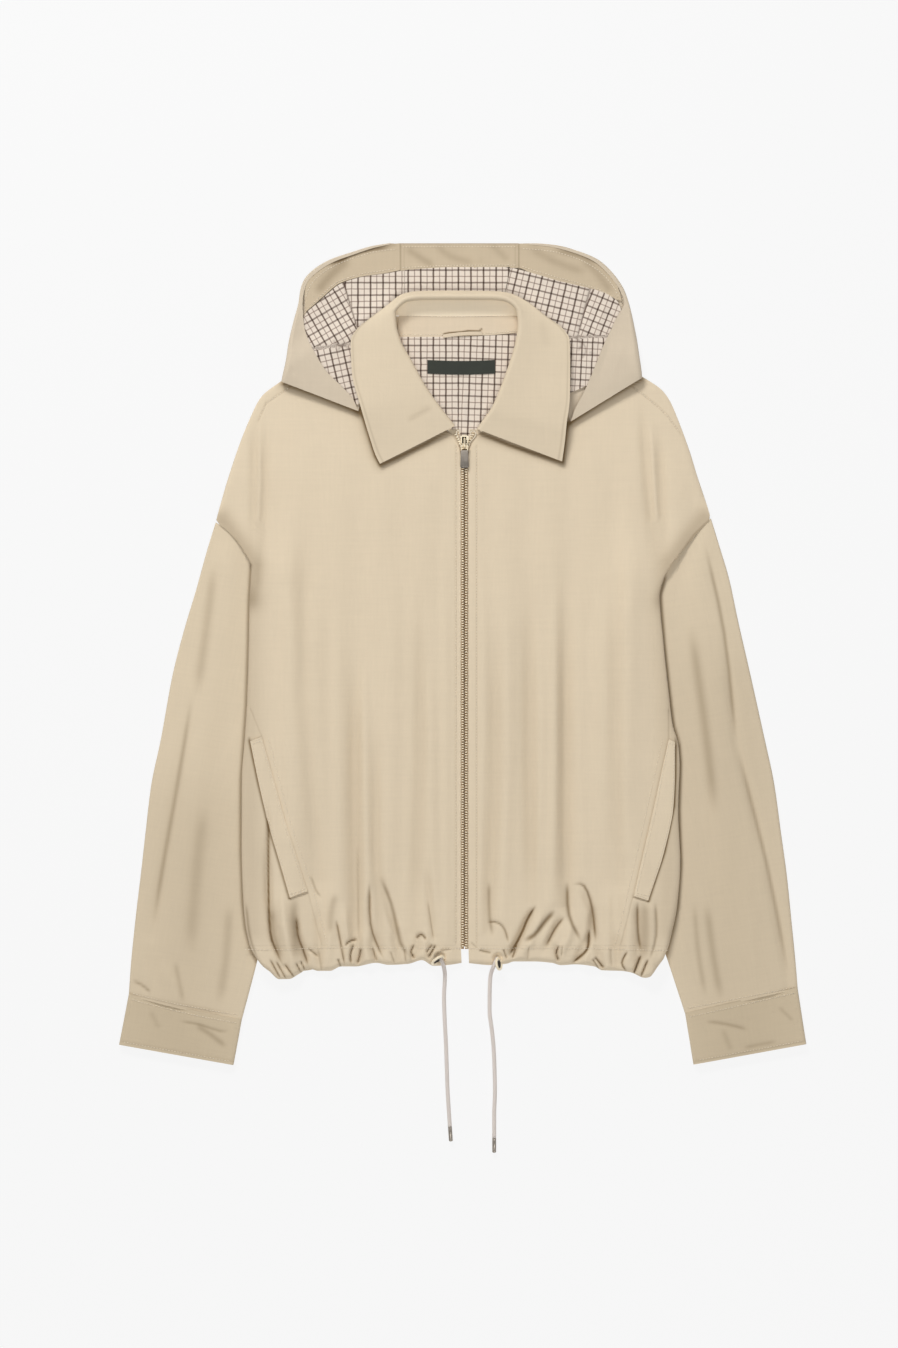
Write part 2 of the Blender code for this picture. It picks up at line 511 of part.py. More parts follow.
def front_height(side, across, down):
    """The outer face of a front or hem panel above the table."""
    base = climb(across, down)
    air = body_air(across, down)
    top = base + 2 * SHELL_WALL + air + max(front_relief(side, across, down), LEAST_AIR - air)
    away = (across - body_edge(side, down)) * inward(side)
    seam = smooth_step((down - ARMHOLE_TOP[side] + ROLL_STARTS) / ROLL_FADE)
    seam *= 1 - smooth_step((down - ARMHOLE_FOOT) / ROLL_FADE)
    drop = roll_drop(away, SIDE_ROLL) * (1 - seam)
    if down > HEM_SEAM:
        drop = max(drop, roll_drop(hem_down(side, across) - down, HEM_ROLL))
    lowest = base + SHELL_WALL + ROLL_LEFT
    return top - (top - lowest) * drop


def hood_height(across, down):
    """The underside of the hood's lower layer: on the table, then over the shoulders."""
    middle = smooth_step((abs(across - HOOD_MIDDLE) - SHOULDER_INNER) / SHOULDER_FADE)
    beyond = down - down_at(SHOULDER_LINE, across) + SHOULDER_LEAD + SHOULDER_RUN
    return SHOULDER_CLIMB * smooth_step(beyond / SHOULDER_RUN) * middle


def new_material(name, colour, roughness, metallic=0.0):
    material = bpy.data.materials.new(name)
    material.use_nodes = True
    shader = material.node_tree.nodes["Principled BSDF"]
    shader.inputs["Base Color"].default_value = colour
    shader.inputs["Roughness"].default_value = roughness
    shader.inputs["Metallic"].default_value = metallic
    material.diffuse_color = colour
    return material


def add_object(name, mesh, material, collection):
    part = bpy.data.objects.new(name, mesh)
    mesh.materials.append(material)
    collection.objects.link(part)
    return part


def cloth(name, cells, surface, wall, material, collection, outside=True, ring=False, flip=False):
    """A cloth wall from a grid whose points are laid by surface(share across, share down).

    The laid face is the outer one, and the wall grows behind it, or in front of it when outside is False.
    """
    mesh = bpy.data.meshes.new(name)
    bm = bmesh.new()
    bmesh.ops.create_grid(bm, x_segments=cells[0], y_segments=cells[1], size=0.5)
    for vert in bm.verts:
        vert.co = surface(vert.co.x + 0.5, vert.co.y + 0.5)
    if ring:
        bmesh.ops.remove_doubles(bm, verts=bm.verts, dist=0.000001)
    if not flip:
        bmesh.ops.reverse_faces(bm, faces=bm.faces)
    bm.to_mesh(mesh)
    bm.free()
    mesh.shade_smooth()
    part = add_object(name, mesh, material, collection)
    solid = part.modifiers.new("Wall", "SOLIDIFY")
    solid.thickness = wall * MM
    solid.offset = -1 if outside else 1
    return part


def stepped(share, cells, width, leads=ROLL_STEPS):
    """Column places in millimetres from a rolled edge: close together on the roll, then even."""
    index = round(share * cells)
    scale = min(1.0, width / (3 * leads[-1]))
    if index < len(leads):
        return leads[index] * scale
    rest = (index - len(leads) + 1) / (cells - len(leads) + 1)
    return leads[-1] * scale + (width - leads[-1] * scale) * rest


def listed(share, levels):
    """The level at this share of a list of row levels."""
    return levels[round(share * (len(levels) - 1))]


HEM_DROPS = (0.0, 0.3, 0.6, 0.8, 0.93, 1.0)
HEM_WIDTH = 200.0
HEM_TUCK = 2.0
SIDE_LEVELS = (714, 737, 775, 815, 850, 880, 900, 916, 931, HEM_SEAM - SEAM_GAP)
FRONT_LEVELS = (322, 345, 375, 395, 417, 445, 480, 517, 521.4, 533, 545, 556, 566, 590, 645, POCKET_TOP,
                *SIDE_LEVELS)
BACK_LEVELS = (316, 340, 378, 425, 480, 520.8, 540, 553, 566, 590, 640, 700, 760, 820, 880,
               BACK_HEM_SEAM - SEAM_GAP)


def front(side, material, collection):
    cells = 19

    def surface(u, v):
        down = listed(v, FRONT_LEVELS)
        outer = body_edge(side, down)
        if down > POCKET_TOP:
            outer = across_at(POCKET_SEAM[side], down) + inward(side) * POCKET_GAP / 2
        width = abs(across_at(CENTRE[side], down) - outer)
        across = outer + inward(side) * stepped(u, cells, width)
        return place(across, down, front_height(side, across, down))

    return cloth(f"front_{side}", (cells, len(FRONT_LEVELS) - 1), surface, SHELL_WALL, material, collection,
                 flip=side == "right")


def side_front(side, material, collection):
    cells = 7

    def surface(u, v):
        down = listed(v, SIDE_LEVELS)
        outer = body_edge(side, down)
        inner = across_at(POCKET_SEAM[side], down) - inward(side) * POCKET_GAP / 2
        across = outer + inward(side) * stepped(u, cells, abs(inner - outer))
        return place(across, down, front_height(side, across, down))

    return cloth(f"side_front_{side}", (cells, len(SIDE_LEVELS) - 1), surface, SHELL_WALL, material, collection,
                 flip=side == "right")


def back_across(share, down):
    """Column places of a back panel between the side outlines, closer together over the sleeves."""
    outer_left = body_edge("left", down) + BACK_INSET
    outer_right = body_edge("right", down) - BACK_INSET
    width = outer_right - outer_left
    scale = min(1.0, width / BACK_FULL_WIDTH)
    index = round(share * BACK_CELLS)
    if index < len(BACK_STEPS):
        return outer_left + BACK_STEPS[index] * scale
    if BACK_CELLS - index < len(BACK_STEPS):
        return outer_right - BACK_STEPS[BACK_CELLS - index] * scale
    middle = width - 2 * BACK_STEPS[-1] * scale
    even = (index - len(BACK_STEPS) + 1) / (BACK_CELLS - 2 * len(BACK_STEPS) + 2)
    return outer_left + BACK_STEPS[-1] * scale + even * middle


def back(material, collection):
    def surface(u, v):
        down = listed(v, BACK_LEVELS)
        across = back_across(u, down)
        return place(across, down, climb(across, down))

    return cloth("back", (BACK_CELLS, len(BACK_LEVELS) - 1), surface, SHELL_WALL, material, collection,
                 outside=False)


def hem_back(material, collection):
    top = BACK_HEM_SEAM + SEAM_GAP

    def surface(u, v):
        across = back_across(u, top + (HEM_SEAM - BACK_HEM_SEAM) * v)
        down = top + (hem_down("back", across) - HEM_TUCK - top) * v
        return place(across, down, climb(across, down))

    return cloth("hem_back", (BACK_CELLS, 3), surface, SHELL_WALL, material, collection, outside=False)


def hem_front(side, material, collection):
    cells = 28

    def surface(u, v):
        drop = listed(v, HEM_DROPS)
        edge_top = body_edge(side, HEM_SEAM)
        edge_foot = HEM_EDGE[side][0].across if side == "left" else HEM_EDGE[side][-1].across
        centre_top = across_at(CENTRE[side], HEM_SEAM)
        centre_foot = HEM_EDGE[side][-1].across if side == "left" else HEM_EDGE[side][0].across
        spread = stepped(u, cells, HEM_WIDTH) / HEM_WIDTH
        across_top = edge_top + (centre_top - edge_top) * spread
        across_foot = edge_foot + (centre_foot - edge_foot) * spread
        across = across_top + (across_foot - across_top) * drop
        top = HEM_SEAM + SEAM_GAP
        down = top + (hem_down(side, across_foot) - top) * drop
        return place(across, down, front_height(side, across, down))

    return cloth(f"hem_front_{side}", (cells, len(HEM_DROPS) - 1), surface, SHELL_WALL, material, collection,
                 flip=side == "right")


def tube_profile(height, width):
    """The two halves of a flattened tube's outline as (share across, height), from its outer edge."""
    radius = height / 2
    near, far = TUBE_NEAR * radius / width, radius / width
    corner = radius * TUBE_CORNER
    top = [(0.0, radius), (near, radius + corner), (far, height)]
    top += [(share, height) for share in TUBE_TOP]
    top += [(1 - far, height), (1 - near, radius + corner), (1.0, radius)]
    foot = [(1 - near, radius - corner), (1 - far, 0.0)] + [(share, 0.0) for share in TUBE_FOOT]
    foot += [(far, 0.0), (near, radius - corner)]
    return top, foot


def flat_tube(name, side, table, height, crown, cells_down, material, collection):
    """A sleeve or cuff: a flattened tube through its rows, open at both ends."""
    top, foot = tube_profile(height, TUBE_WIDTH)
    outline = top + foot + top[:1]

    def surface(u, v):
        index = round(u * (len(outline) - 1))
        share, high = outline[index]
        row = SleeveRow(*(along(table, column, v) for column in SleeveRow._fields))
        across, down = sleeve_point(row, share)
        if crown and 2 <= index < len(top) - 2:
            high += crown * smooth_step(v / SLEEVE_EASE) * sin(pi * min(1.0, share / CROWN_SHARE)) ** 2
            visible = 1 - smooth_step((share - FOLDS_END) / FOLDS_FADE)
            high += visible * sum(fold_rise(fold, across, down) for fold in SLEEVE_FOLDS[side])
        return place(across, down, high)

    return cloth(name, (len(outline) - 1, cells_down), surface, SHELL_WALL, material, collection, ring=True,
                 flip=side == "right")


def hood_side(side, material, collection):
    """The shell of a hood side: along the table, round the outer fold and back as the flap."""
    table = HOOD_SIDES[side]
    lower, turn, upper = FLAP_CELLS

    def surface(u, v):
        index = round(u * (lower + turn + upper))
        row = HoodRow(*(along(table, column, v) for column in HoodRow._fields))
        base_out = hood_height(row.out_across, row.out_down)
        radius = (FLAP_LEVEL + row.swell) / 2
        run = hypot(row.out_across - row.in_across, row.out_down - row.in_down)
        toward = ((row.in_across - row.out_across) / run, (row.in_down - row.out_down) / run)
        centre = (row.out_across + toward[0] * radius, row.out_down + toward[1] * radius)
        if index <= lower:
            t = index / lower
            across = row.in_across + (centre[0] - row.in_across) * t
            down = row.in_down + (centre[1] - row.in_down) * t
            return place(across, down, hood_height(across, down))
        if index < lower + turn:
            angle = pi * (index - lower) / turn
            swing = sin(angle) * radius
            return place(centre[0] - toward[0] * swing, centre[1] - toward[1] * swing,
                         base_out + radius - radius * cos(angle))
        t = (index - lower - turn) / upper
        across = centre[0] + (row.flap_across - centre[0]) * t
        down = centre[1] + (row.flap_down - centre[1]) * t
        level = hood_height(across, down) + FLAP_LEVEL + row.swell * (1 - t) ** 2
        if row.flap_down < FRONT_TOP:
            level = base_out + FLAP_LEVEL
        return place(across, down, level)

    return cloth(f"hood_side_{side}", (lower + turn + upper, FLAP_ROWS), surface, HOOD_WALL, material,
                 collection, flip=side == "right")


def strip(name, table, cells, level, wall, material, collection, flip=False):
    """A flat-lying strip between its two edge curves, its underside at level(across, down)."""

    def surface(u, v):
        row = Strip(*(along(table, column, v) for column in Strip._fields))
        across = row.out_across + (row.in_across - row.out_across) * u
        down = row.out_down + (row.in_down - row.out_down) * u
        return place(across, down, level(across, down))

    return cloth(name, cells, surface, wall, material, collection, outside=False, flip=flip)


def hood_centre(material, collection):
    across, down, width, depth = HOOD_CENTRE

    def surface(u, v):
        return place(across + width * u, down + depth * v, 0.0)

    return cloth("hood_centre", (3, 3), surface, SHELL_WALL, material, collection, outside=False)


def hood_lining_level(across, down):
    return hood_height(across, down) + LINING_LEVEL


def roll_centre(row):
    """The axis of the collar's roll, and the plan direction from it out to the leaf's edge."""
    run = hypot(row.edge_across - row.roll_across, row.edge_down - row.roll_down)
    out = ((row.edge_across - row.roll_across) / run, (row.edge_down - row.roll_down) / run)
    return (row.roll_across + out[0] * COLLAR_ROLL, row.roll_down + out[1] * COLLAR_ROLL,
            row.roll_high - COLLAR_ROLL), out


def collar_leaf(material, collection):
    """The fall of the collar: over the roll, then down to its outer edge."""

    def surface(u, v):
        row = CollarRow(*(along(COLLAR, column, v) for column in CollarRow._fields))
        centre, out = roll_centre(row)
        index = round(u * (COLLAR_TURN + COLLAR_FALL))
        if index == 0:
            return place(centre[0] - out[0] * COLLAR_ROLL, centre[1] - out[1] * COLLAR_ROLL,
                         centre[2] - COLLAR_HOOK)
        if index <= COLLAR_TURN:
            angle = pi / 2 * (index - 1) / (COLLAR_TURN - 1)
            return place(centre[0] - out[0] * COLLAR_ROLL * cos(angle),
                         centre[1] - out[1] * COLLAR_ROLL * cos(angle), centre[2] + COLLAR_ROLL * sin(angle))
        t = (index - COLLAR_TURN) / COLLAR_FALL
        top = centre[2] + COLLAR_ROLL
        return place(centre[0] + (row.edge_across - centre[0]) * t, centre[1] + (row.edge_down - centre[1]) * t,
                     row.edge_high + (top - row.edge_high) * (1 - t) ** FALL_CURVE)

    return cloth("collar_leaf", (COLLAR_TURN + COLLAR_FALL, COLLAR_CELLS), surface, COLLAR_WALL, material,
                 collection, flip=True)


def collar_stand(material, collection):
    """The stand: from the neck seam up into the collar's roll."""

    def surface(u, v):
        row = CollarRow(*(along(COLLAR, column, v) for column in CollarRow._fields))
        centre, out = roll_centre(row)
        top = (centre[0] - out[0] * STAND_INSIDE, centre[1] - out[1] * STAND_INSIDE, centre[2] - STAND_BELOW)
        return place(row.seam_across + (top[0] - row.seam_across) * u,
                     row.seam_down + (top[1] - row.seam_down) * u, row.seam_high + (top[2] - row.seam_high) * u)

    return cloth("collar_stand", (2, COLLAR_CELLS), surface, STAND_WALL, material, collection)


def back_lining(material, collection):
    """The check lining on the inside of the back, as far as the neck opening shows it."""
    left, right = BACK_LINING["left"], BACK_LINING["right"]
    facing, low = NECK_FACING, left[-1].down

    def surface(u, v):
        top = along(facing, "in_down", u) + SEAM_GAP
        down = top + (low - top) * v
        across = across_at(left, down) * (1 - u) + across_at(right, down) * u
        return place(across, down, SHELL_WALL + LAYER_GAP)

    return cloth("lining_back", (6, 6), surface, LINING_WALL, material, collection, outside=False)


def label(material, collection):
    across, down, width, depth = LABEL_BOX
    high = SHELL_WALL + LAYER_GAP + LINING_WALL + TRIM_GAP

    def surface(u, v):
        return place(across + width * u, down + depth * v + LABEL_BOW * (sin(pi * u) - 1), high)

    return cloth("label", (6, 1), surface, LABEL_WALL, material, collection, outside=False)


def hanger_loop(material, collection):
    across, down, width, drop = LOOP_ENDS
    high = SHELL_WALL + LAYER_GAP + FACING_WALL + TRIM_GAP

    def surface(u, v):
        slack = sin(pi * u)
        return place(across + width * u, down + drop * u + LOOP_WIDTH * (v - 0.5) - LOOP_SAG * slack,
                     high + LOOP_RISE * slack)

    return cloth("hanger_loop", (8, 1), surface, SHELL_WALL, material, collection, outside=False)


def pocket_welt(side, material, collection):
    """The welt over the pocket mouth, laid on the side front and moved out by its own wall."""
    table = WELTS[side]

    def surface(u, v):
        row = Strip(*(along(table, column, v) for column in Strip._fields))
        across = row.out_across + (row.in_across - row.out_across) * u
        down = row.out_down + (row.in_down - row.out_down) * u
        return place(across, down, front_height(side, across, down) + SHELL_WALL + WELT_LIFT)

    return cloth(f"pocket_welt_{side}", (3, 8), surface, SHELL_WALL, material, collection, flip=side == "right")


def box(name, low, high, material, collection):
    """A plain bar between two corners on the layout table."""
    corner_a, corner_b = place(*low), place(*high)
    mesh = bpy.data.meshes.new(name)
    bm = bmesh.new()
    bmesh.ops.create_cube(bm, size=1.0)
    size = corner_b - corner_a
    centre = (corner_a + corner_b) / 2
    bmesh.ops.scale(bm, verts=bm.verts, vec=Vector([abs(value) for value in size]))
    bm.to_mesh(mesh)
    bm.free()
    part = add_object(name, mesh, material, collection)
    part.location = centre
    return part


def zip_tape(side, material, collection):
    """The tape under a front's edge, narrower beside the slider."""
    sign = inward(side)

    def surface(u, v):
        down = listed(v, TAPE_ROWS)
        narrow = TAPE_NARROW * (ZIP_TOP - down) / (ZIP_TOP - TAPE_TOP) if down < ZIP_TOP else 0.0
        inner = ZIP_ACROSS - sign * (TAPE_ASIDE if down < ZIP_TOP else TAPE_INNER)
        return place(inner - sign * (TAPE_WIDTH - narrow) * (1 - u), down, TAPE_LEVEL)

    return cloth(f"zip_tape_{side}", (1, len(TAPE_ROWS) - 1), surface, TAPE_WALL, material, collection,
                 outside=False, flip=side == "right")


def zip_chain(material, collection):
    half = CHAIN_WIDTH / 2
    return box("zip_chain", (ZIP_ACROSS - half, ZIP_END, CHAIN_LEVEL),
               (ZIP_ACROSS + half, ZIP_TOP + 0.6, CHAIN_LEVEL + CHAIN_THICK), material, collection)


def tube_mesh(name, points, radius, resolution=3):
    """A closed round tube through the points, as a mesh with welded caps."""
    curve = bpy.data.curves.new(name, "CURVE")
    curve.dimensions = "3D"
    spline = curve.splines.new("POLY")
    spline.points.add(len(points) - 1)
    for target, point in zip(spline.points, points):
        target.co = (*point, 1)
    curve.bevel_depth = radius
    curve.bevel_resolution = resolution
    curve.use_fill_caps = True
    guide = bpy.data.objects.new(name, curve)
    bpy.context.scene.collection.objects.link(guide)
    bpy.context.view_layer.update()
    mesh = bpy.data.meshes.new_from_object(guide.evaluated_get(bpy.context.evaluated_depsgraph_get()))
    bpy.data.objects.remove(guide)
    bm = bmesh.new()
    bm.from_mesh(mesh)
    bmesh.ops.remove_doubles(bm, verts=bm.verts, dist=0.00001)
    bmesh.ops.recalc_face_normals(bm, faces=bm.faces)
    bm.to_mesh(mesh)
    bm.free()
    return mesh


def unite(part, other):
    """Joins another solid to a part with a live Boolean union."""
    union = part.modifiers.new("Join", "BOOLEAN")
    union.operation = "UNION"
    union.object = other
    other.hide_render = True
    other.display_type = "WIRE"


def zip_slider(material, collection, cutters):
    """The slider's body with the arched bridge that holds the pull tab."""
    width, length, thick = SLIDER_SIZE
    top_down = ZIP_TOP - length
    body = box("zip_slider", (ZIP_ACROSS - width / 2, ZIP_TOP - 0.2, SLIDER_LEVEL),
               (ZIP_ACROSS + width / 2, top_down, SLIDER_LEVEL + thick), material, collection)
    bm = bmesh.new()
    bm.from_mesh(body.data)
    for vert in bm.verts:
        if vert.co.y < 0:
            vert.co.x *= SLIDER_NOSE
    bmesh.ops.bevel(bm, geom=bm.edges[:], offset=SLIDER_BEVEL * MM, segments=2, affect="EDGES",
                     profile=0.5)
    bm.to_mesh(body.data)
    bm.free()
    deck = SLIDER_LEVEL + thick
    arch = [place(ZIP_ACROSS, top_down + step, deck + rise) for step, rise in BRIDGE]
    mesh = tube_mesh("slider_bridge", arch, BRIDGE_RADIUS * MM)
    bridge = add_object("slider_bridge", mesh, material, cutters)
    unite(body, bridge)
    return body


def zip_pull(material, collection):
    """The pull tab: a cross bar under the bridge, two cheeks beside it and a plain tapered blade."""
    pivot = place(ZIP_ACROSS, PULL_PIVOT_DOWN, SLIDER_LEVEL + SLIDER_SIZE[2] + BRIDGE_RADIUS)
    curve = bpy.data.curves.new("pull_outline", "CURVE")
    curve.dimensions = "2D"
    curve.fill_mode = "BOTH"
    curve.extrude = PULL_THICK / 2 * MM
    for loop in (PULL_OUTLINE, PULL_WINDOW):
        spline = curve.splines.new("POLY")
        spline.points.add(len(loop) - 1)
        for target, (x, y) in zip(spline.points, loop):
            target.co = (x * MM, y * MM, 0, 1)
        spline.use_cyclic_u = True
    guide = bpy.data.objects.new("pull_outline", curve)
    bpy.context.scene.collection.objects.link(guide)
    bpy.context.view_layer.update()
    mesh = bpy.data.meshes.new_from_object(guide.evaluated_get(bpy.context.evaluated_depsgraph_get()))
    bpy.data.objects.remove(guide)
    bm = bmesh.new()
    bm.from_mesh(mesh)
    bmesh.ops.remove_doubles(bm, verts=bm.verts, dist=0.00001)
    bmesh.ops.recalc_face_normals(bm, faces=bm.faces)
    bm.to_mesh(mesh)
    bm.free()
    pull = add_object("zip_pull", mesh, material, collection)
    pull.location = pivot
    pull.rotation_euler = (radians(PULL_TILT), 0, 0)
    return pull


def drawcord(side, material, collection):
    """The cord's free end, a round tube lying on the table from the eyelet to its tip."""
    table = CORDS[side]
    route = [place(*(along(table, column, i / (CORD_POINTS - 1)) for column in CordPoint._fields))
             for i in range(CORD_POINTS)]
    mesh = tube_mesh(f"drawcord_{side}", route, CORD_RADIUS * MM, 2)
    mesh.shade_smooth()
    return add_object(f"drawcord_{side}", mesh, material, collection)


def cord_tip(side, material, collection):
    """The metal tip on a cord's end."""
    table = CORDS[side]
    end, before = table[-1], table[-2]
    run = hypot(end.across - before.across, end.down - before.down)
    step = ((end.across - before.across) / run, (end.down - before.down) / run)
    points = [place(end.across + step[0] * s, end.down + step[1] * s, end.high)
              for s in (TIP_CLEAR, TIP_LENGTH)]
    mesh = tube_mesh(f"cord_tip_{side}", points, TIP_RADIUS * MM)
    return add_object(f"cord_tip_{side}", mesh, material, collection)


def eyelet(side, material, collection):
    """The ring that the cord comes out of, on the casing's face."""
    across, down = EYELET_AT[side]
    bpy.ops.mesh.primitive_torus_add(major_radius=EYELET_RING * MM, minor_radius=EYELET_WIRE * MM,
                                     major_segments=18, minor_segments=6)
    ring = bpy.context.object
    ring.name = f"eyelet_{side}"
    for owner in list(ring.users_collection):
        owner.objects.unlink(ring)
    collection.objects.link(ring)
    ring.data.materials.append(material)
    ring.location = place(across, down, 2 * SHELL_WALL + BODY_AIR + EYELET_WIRE + LAYER_GAP)
    return ring


def main():
    for part in list(bpy.data.objects):
        bpy.data.objects.remove(part)
    jacket = bpy.data.collections.new("hooded_zip_jacket")
    cutters = bpy.data.collections.new("cutters")
    for collection in (jacket, cutters):
        bpy.context.scene.collection.children.link(collection)
    twill = new_material("twill", COLOURS["twill"], 0.85)
    check = new_material("check", COLOURS["check"], 0.9)
    tape = new_material("tape", COLOURS["tape"], 0.9)
    brass = new_material("brass", COLOURS["brass"], 0.35, 1.0)
    gunmetal = new_material("gunmetal", COLOURS["gunmetal"], 0.35, 1.0)
    cord = new_material("cord", COLOURS["cord"], 0.9)
    dark = new_material("label", COLOURS["label"], 0.8)

    back(twill, jacket)
    hem_back(twill, jacket)
    hood_centre(twill, jacket)
    for side in ("left", "right"):
        front(side, twill, jacket)
        side_front(side, twill, jacket)
        hem_front(side, twill, jacket)
        flat_tube(f"sleeve_{side}", side, SLEEVES[side], SLEEVE_HEIGHT, SLEEVE_CROWN, SLEEVE_CELLS, twill,
                  jacket)
        flat_tube(f"cuff_{side}", side, CUFFS[side], CUFF_HEIGHT, 0.0, CUFF_CELLS, twill, jacket)
        pocket_welt(side, twill, jacket)
        hood_side(side, twill, jacket)
        strip(f"hood_facing_{side}", HOOD_FACINGS[side], (2, 10), hood_lining_level, FACING_WALL, twill, jacket,
              flip=side == "right")
        strip(f"hood_lining_{side}", HOOD_LININGS[side], (8, 13), hood_lining_level, LINING_WALL, check, jacket,
              flip=side == "right")
        zip_tape(side, tape, jacket)
        drawcord(side, cord, jacket)
        cord_tip(side, gunmetal, jacket)
        eyelet(side, gunmetal, jacket)
    strip("hood_facing_centre", HOOD_FACINGS["centre"], (2, 4), hood_lining_level, FACING_WALL, twill, jacket,
          flip=True)
    strip("hood_lining_centre", HOOD_LININGS["centre"], (3, 4), hood_lining_level, LINING_WALL, check, jacket,
          flip=True)
    collar_leaf(twill, jacket)
    collar_stand(twill, jacket)
    strip("neck_facing", NECK_FACING, (2, 6), lambda across, down: SHELL_WALL + LAYER_GAP, FACING_WALL, twill,
          jacket, flip=True)
    back_lining(check, jacket)
    label(dark, jacket)
    hanger_loop(twill, jacket)
    zip_chain(brass, jacket)
    zip_slider(brass, jacket, cutters)
    zip_pull(gunmetal, jacket)


main()
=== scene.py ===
"""The looks of a hooded zip jacket in cotton twill, laid flat with its hood spread above the collar.

Plan positions are millimetres on the layout table, measured right (across) and down from its corner, and
heights are millimetres above the table; place() turns them into the frame's metres. "Left" and "right" are
as seen from above. Each cloth piece is a thin shell laid on the form of its CAD solid, with finer creases.
"""

from collections import namedtuple
from math import atan2, cos, hypot, pi, radians, sin

import bmesh
import bpy
import numpy as np
from mathutils import Matrix, Vector


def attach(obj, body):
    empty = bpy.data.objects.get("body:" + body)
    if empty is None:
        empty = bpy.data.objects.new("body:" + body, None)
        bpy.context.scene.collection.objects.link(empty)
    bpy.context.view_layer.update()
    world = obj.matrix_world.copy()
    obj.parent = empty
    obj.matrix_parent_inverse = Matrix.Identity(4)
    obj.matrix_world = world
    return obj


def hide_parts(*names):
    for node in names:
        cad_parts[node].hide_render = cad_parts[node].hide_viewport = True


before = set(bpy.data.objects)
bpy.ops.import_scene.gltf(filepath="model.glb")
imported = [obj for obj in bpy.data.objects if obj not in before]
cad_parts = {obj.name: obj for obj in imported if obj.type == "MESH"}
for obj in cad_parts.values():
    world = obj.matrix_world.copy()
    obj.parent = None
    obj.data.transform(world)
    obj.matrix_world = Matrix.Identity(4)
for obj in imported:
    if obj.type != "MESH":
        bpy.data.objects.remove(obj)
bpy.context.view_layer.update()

bl_info = {
    "name": "Hooded zip jacket",
    "version": (1, 0, 0),
    "blender": (4, 5, 0),
    "location": "3D View > Sidebar > Jacket",
    "description": "Dresses the jacket's frame in twill, check lining, sewing, a zip and drawcords",
    "category": "Add Mesh",
}

MM = 0.001
BODY, PULL = "jacket", "pull"

# Where the part's origin lies on the layout table.
ORIGIN_ACROSS = 462.75
ORIGIN_DOWN = 653.5

# Walls and the air between layers.
SHELL_WALL = 1.2
LINING_WALL = 0.9
COLLAR_WALL = 1.5
SEAM_GAP = 0.4
LAYER_GAP = 0.5
BODY_AIR = 2.6
SHOULDER_AIR = 0.9
AIR_TOP = 400.0
AIR_FULL = 480.0
NECK_REACH = 58.0
NECK_FADE = 10.0

# The flattened sleeves, and how the body climbs over them.
SLEEVE_HEIGHT = 5.6
CUFF_HEIGHT = 6.2
SLEEVE_CROWN = 2.2
SLEEVE_CLIMB = 6.9
CLIMB_LEVEL = 12.0
CLIMB_RUN = 44.0
CLIMB_TOP = 505.0
CLIMB_FULL = 580.0
SLEEVE_UNDER = 590.0
TUBE_WIDTH = 130.0
CROWN_SHARE = 0.6
FOLDS_END = 0.45
FOLDS_FADE = 0.15
SLEEVE_EASE = 0.1

# Rolled edges of the body.
SIDE_ROLL = 7.0
HEM_ROLL = 6.0
ROLL_LEFT = 1.0
ROLL_STARTS = 22.0
ROLL_FADE = 14.0
ZIP_FLAT = 5.0
ZIP_FADE = 14.0
EYELET_FLAT = 3.0
EYELET_FADE = 4.0
FOLD_FADE_IN = 0.35
FOLD_FADE_OUT = 0.8
BACK_INSET = 1.2

# Seams across the body.
FRONT_TOP = 322.0
ARMHOLE_TOP = {"left": 521.5, "right": 517.7}
ARMHOLE_FOOT = 566.0
HEM_SEAM = 945.0
BACK_HEM_SEAM = 925.0
POCKET_TOP = 706.0

# The hood over the shoulders.
SHOULDER_CLIMB = 4.1
SHOULDER_RUN = 30.0
SHOULDER_LEAD = 4.0
SHOULDER_INNER = 60.0
SHOULDER_FADE = 14.0
HOOD_MIDDLE = 460.0
FLAP_LEVEL = 5.4
FACING_WALL = 1.0
LINING_LEVEL = 2.2
HOOD_CENTRE = (400.3, 243.0, 118.5, 70.0)

# Collar.
COLLAR_ROLL = 2.6
COLLAR_HOOK = 1.8
FALL_CURVE = 1.2
STAND_WALL = 0.8
STAND_INSIDE = 0.5
STAND_BELOW = 1.3

# What shows in the neck: corner (across, down), width and depth.
LABEL_BOX = (427.4, 361.0, 67.6, 13.6)
LABEL_WALL = 0.6
LABEL_BOW = 1.0
LOOP_ENDS = (443.0, 336.2, 38.6, -3.0)
LOOP_WIDTH = 3.4
LOOP_SAG = 0.9
LOOP_RISE = 0.9
TRIM_GAP = 0.4

# Zip.
ZIP_ACROSS = 464.45
ZIP_TOP = 449.6
ZIP_END = 949.0
TAPE_LEVEL = 2.9
TAPE_WALL = 0.7
TAPE_TOP = 429.5
TAPE_WIDTH = 12.0
TAPE_NARROW = 1.0
TAPE_INNER = 0.5
TAPE_ASIDE = 5.2
CHAIN_LEVEL = 3.9
CHAIN_THICK = 2.4
SLIDER_SIZE = (9.0, 12.6, 4.8)
SLIDER_LEVEL = 3.1

# Drawcord.
CORD_RADIUS = 2.0
TIP_RADIUS = 2.0
EYELET_AT = {"left": (440.0, 957.0), "right": (498.0, 958.0)}

Edge = namedtuple("Edge", "down across")
Hem = namedtuple("Hem", "across down")
Fold = namedtuple("Fold", "top_across top_down mid_across mid_down foot_across foot_down half_width rise")
SleeveRow = namedtuple("SleeveRow", "out_across out_down in_across in_down bow_across bow_down")
HoodRow = namedtuple("HoodRow", "in_across in_down out_across out_down flap_across flap_down swell")
Strip = namedtuple("Strip", "out_across out_down in_across in_down")
CollarRow = namedtuple("CollarRow", "roll_across roll_down roll_high seam_across seam_down seam_high "
                                    "edge_across edge_down edge_high")
CordPoint = namedtuple("CordPoint", "across down high")


